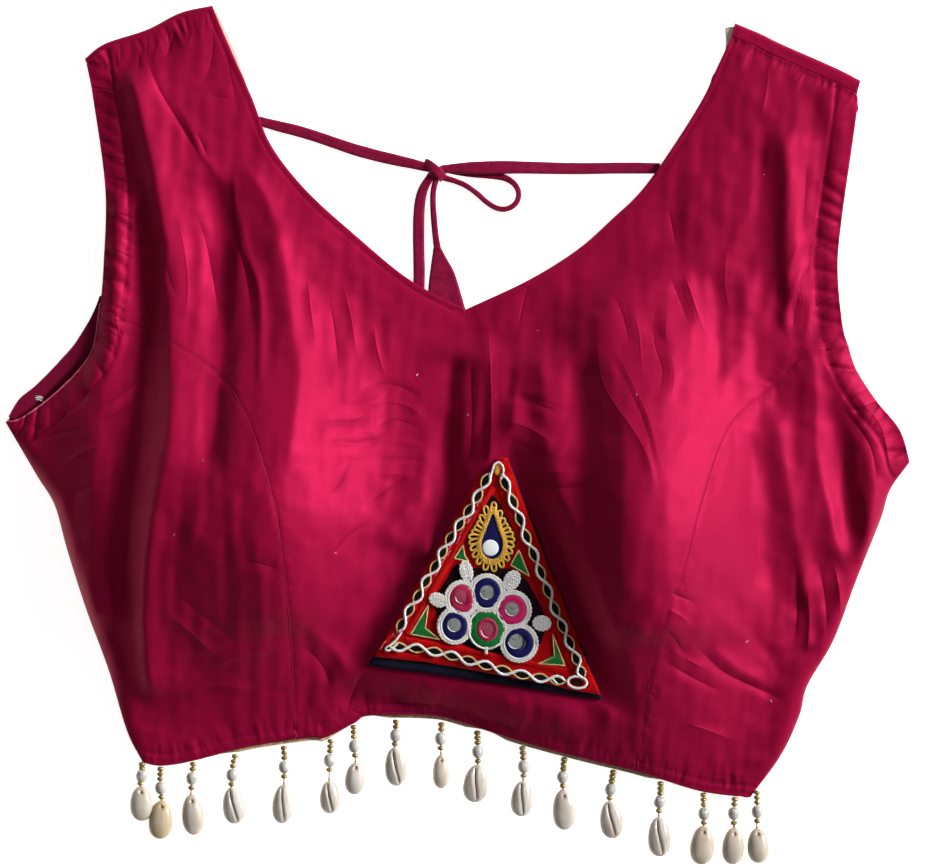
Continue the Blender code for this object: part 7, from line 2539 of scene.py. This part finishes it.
def sewing():
    """The rows of stitches along the bands, the neck, the hem and a shoulder, in a dark thread that
    paints the shade of their grooves; the rolled edges of the shoulders and the left armhole, the left
    armhole's pale with painted highlight; and the princess seams with their thread, the left one pale
    with painted highlight."""
    rows = []
    for line, side, bands, start in (
        (ARMHOLE_LINES[0], -1, (ARM_BAND,), 0.05),
        (ARMHOLE_LINES[1], 1, (ARM_BAND,), 0.05),
        (NECK_LINES[0], 1, (NECK_BAND,), 0.012),
        (NECK_LINES[1], -1, (NECK_BAND,), 0.012),
        (HEM_LINE, 1, (HEM_BAND, 1.6), 0.012),
    ):
        for band in bands:
            rows.append(inset(line, side * band, start, 0.988, 420))
    rows.append(inset(SHOULDER_LINES[1], -1.2, 0.02, 0.98, 80))
    # The stitches' dark thread paints the shade of their grooves.
    parts = [stitches(over_cloth(row), *STITCH, STITCH_THREAD_AND_SHADE) for row in rows]
    for line in SHOULDER_LINES:
        rolled = over_cloth(line_at(line, 0.01 + 0.98 * even(90)), -0.35)
        parts.append(tube(rolled, ROLL_RADIUS, 7, RASPBERRY))
    # The left armhole's rolled edge is pale pink: painted highlight.
    rim = inset(ARMHOLE_LINES[0], 0.25, 0.004, 0.40, 240)
    parts.append(tube(over_cloth(rim, -0.25), ROLL_RADIUS, 7, EDGE_PAINTED_HIGHLIGHT))
    # The left seam's thread is pale: painted highlight; the right one's is the cloth's colour.
    for line, material in zip(PRINCESS_LINES, (SEAM_GLINT, RASPBERRY)):
        seam = line_at(line, 0.003 + 0.997 * even(360))
        parts.append(tube(over_cloth(seam, -0.3), SEAM_RADIUS, 7, RASPBERRY))
        parts.append(tube(over_cloth(seam, 0.02), SEAM_THREAD_RADIUS, 5, material))
    piece("topstitching", parts)


SPECKS = (
    (-124.8, -12.5), (-138.8, -49), (5.2, 10), (143.8, -102.5), (156.2, -132.5), (152.8, 130), (-60, -58),
    (88, 20), (-20, 30), (40, 52),
)
TACK_ENDS = ((-211.0, 19.5), (-206.8, 18.6))
TACK_STEP, TACK_HEIGHT = 0.9, 2.9


def lint():
    """A few white specks of lint on the cloth, and the white tack inside the left armhole."""
    rng = np.random.default_rng(601)
    parts = []
    for speck in SPECKS:
        way = rng.uniform(0, 2 * np.pi)
        step = rng.uniform(0.25, 0.7) * np.array([math.cos(way), math.sin(way)])
        line = line_at((speck - step, speck + step[::-1] * 0.3, speck + step), even(6))
        parts.append(tube(over_cloth(line, 0.22), 0.11, 5, LINT))
    piece("lint", parts)
    tack = []
    for k in range(3):
        a, b = np.array(TACK_ENDS) - [0, TACK_STEP * k]
        line = line_at((a, (a + b) / 2 + [0, 0.3], b), even(8))
        line = raised(line, TACK_HEIGHT + 0.35 * np.sin(np.pi * even(8)))
        tack.append(tube(line, 0.22, 6, LINT))
    piece("facing_tack", tack)


# ---- The stage ----

# Columns: a lamp's name, its place and the point it faces in metres, its size, its power and the
# angle it spreads over.
Lamp = namedtuple("Lamp", "name place target size power spread")
LAMPS = (
    Lamp("window", (2.45, 0.95, 1.25), (-0.02, 0.08, 0.0), 1.1, 5.7, 24),
    Lamp("ceiling", (-0.2, 0.4, 2.4), (0.0, 0.0, 0.0), 2.2, 5.0, 180),
)
DAYLIGHT = 0.1
FLOOR, FLOOR_GLOW = 6.0, 0.85  # half the floor's width in metres, and how much it glows


def stage():
    """A pale floor, a soft window light from the right and a weak even light."""
    scene = bpy.context.scene
    mesh = bpy.data.meshes.new("floor")
    corners = [(-FLOOR, -FLOOR, 0), (FLOOR, -FLOOR, 0), (FLOOR, FLOOR, 0), (-FLOOR, FLOOR, 0)]
    mesh.from_pydata(corners, [], [(0, 1, 2, 3)])
    mesh.materials.append(floor_finish())
    floor = bpy.data.objects.new("floor", mesh)
    scene.collection.objects.link(floor)
    for lamp in LAMPS:
        light = bpy.data.lights.new(lamp.name, "AREA")
        light.shape, light.size, light.energy = "DISK", lamp.size, lamp.power
        stand = bpy.data.objects.new(lamp.name, light)
        stand.location = lamp.place
        light.spread = math.radians(lamp.spread)
        facing = mathutils.Vector(lamp.place) - mathutils.Vector(lamp.target)
        stand.rotation_euler = facing.to_track_quat("Z", "Y").to_euler()
        scene.collection.objects.link(stand)
    world = bpy.data.worlds.new("daylight")
    world.use_nodes = True
    world.node_tree.nodes["Background"].inputs["Color"].default_value = (1, 1, 1, 1)
    world.node_tree.nodes["Background"].inputs["Strength"].default_value = DAYLIGHT
    scene.world = world
    scene.view_settings.view_transform = "Standard"


def build():
    camera()
    ties()
    front_centre()
    front_sides()
    back_panels()
    facings()
    hem_tape()
    patch_felt()
    patch_ground()
    patch_border()
    patch_droplet()
    patch_rosette()
    drops()
    sewing()
    lint()
    stage()


build()
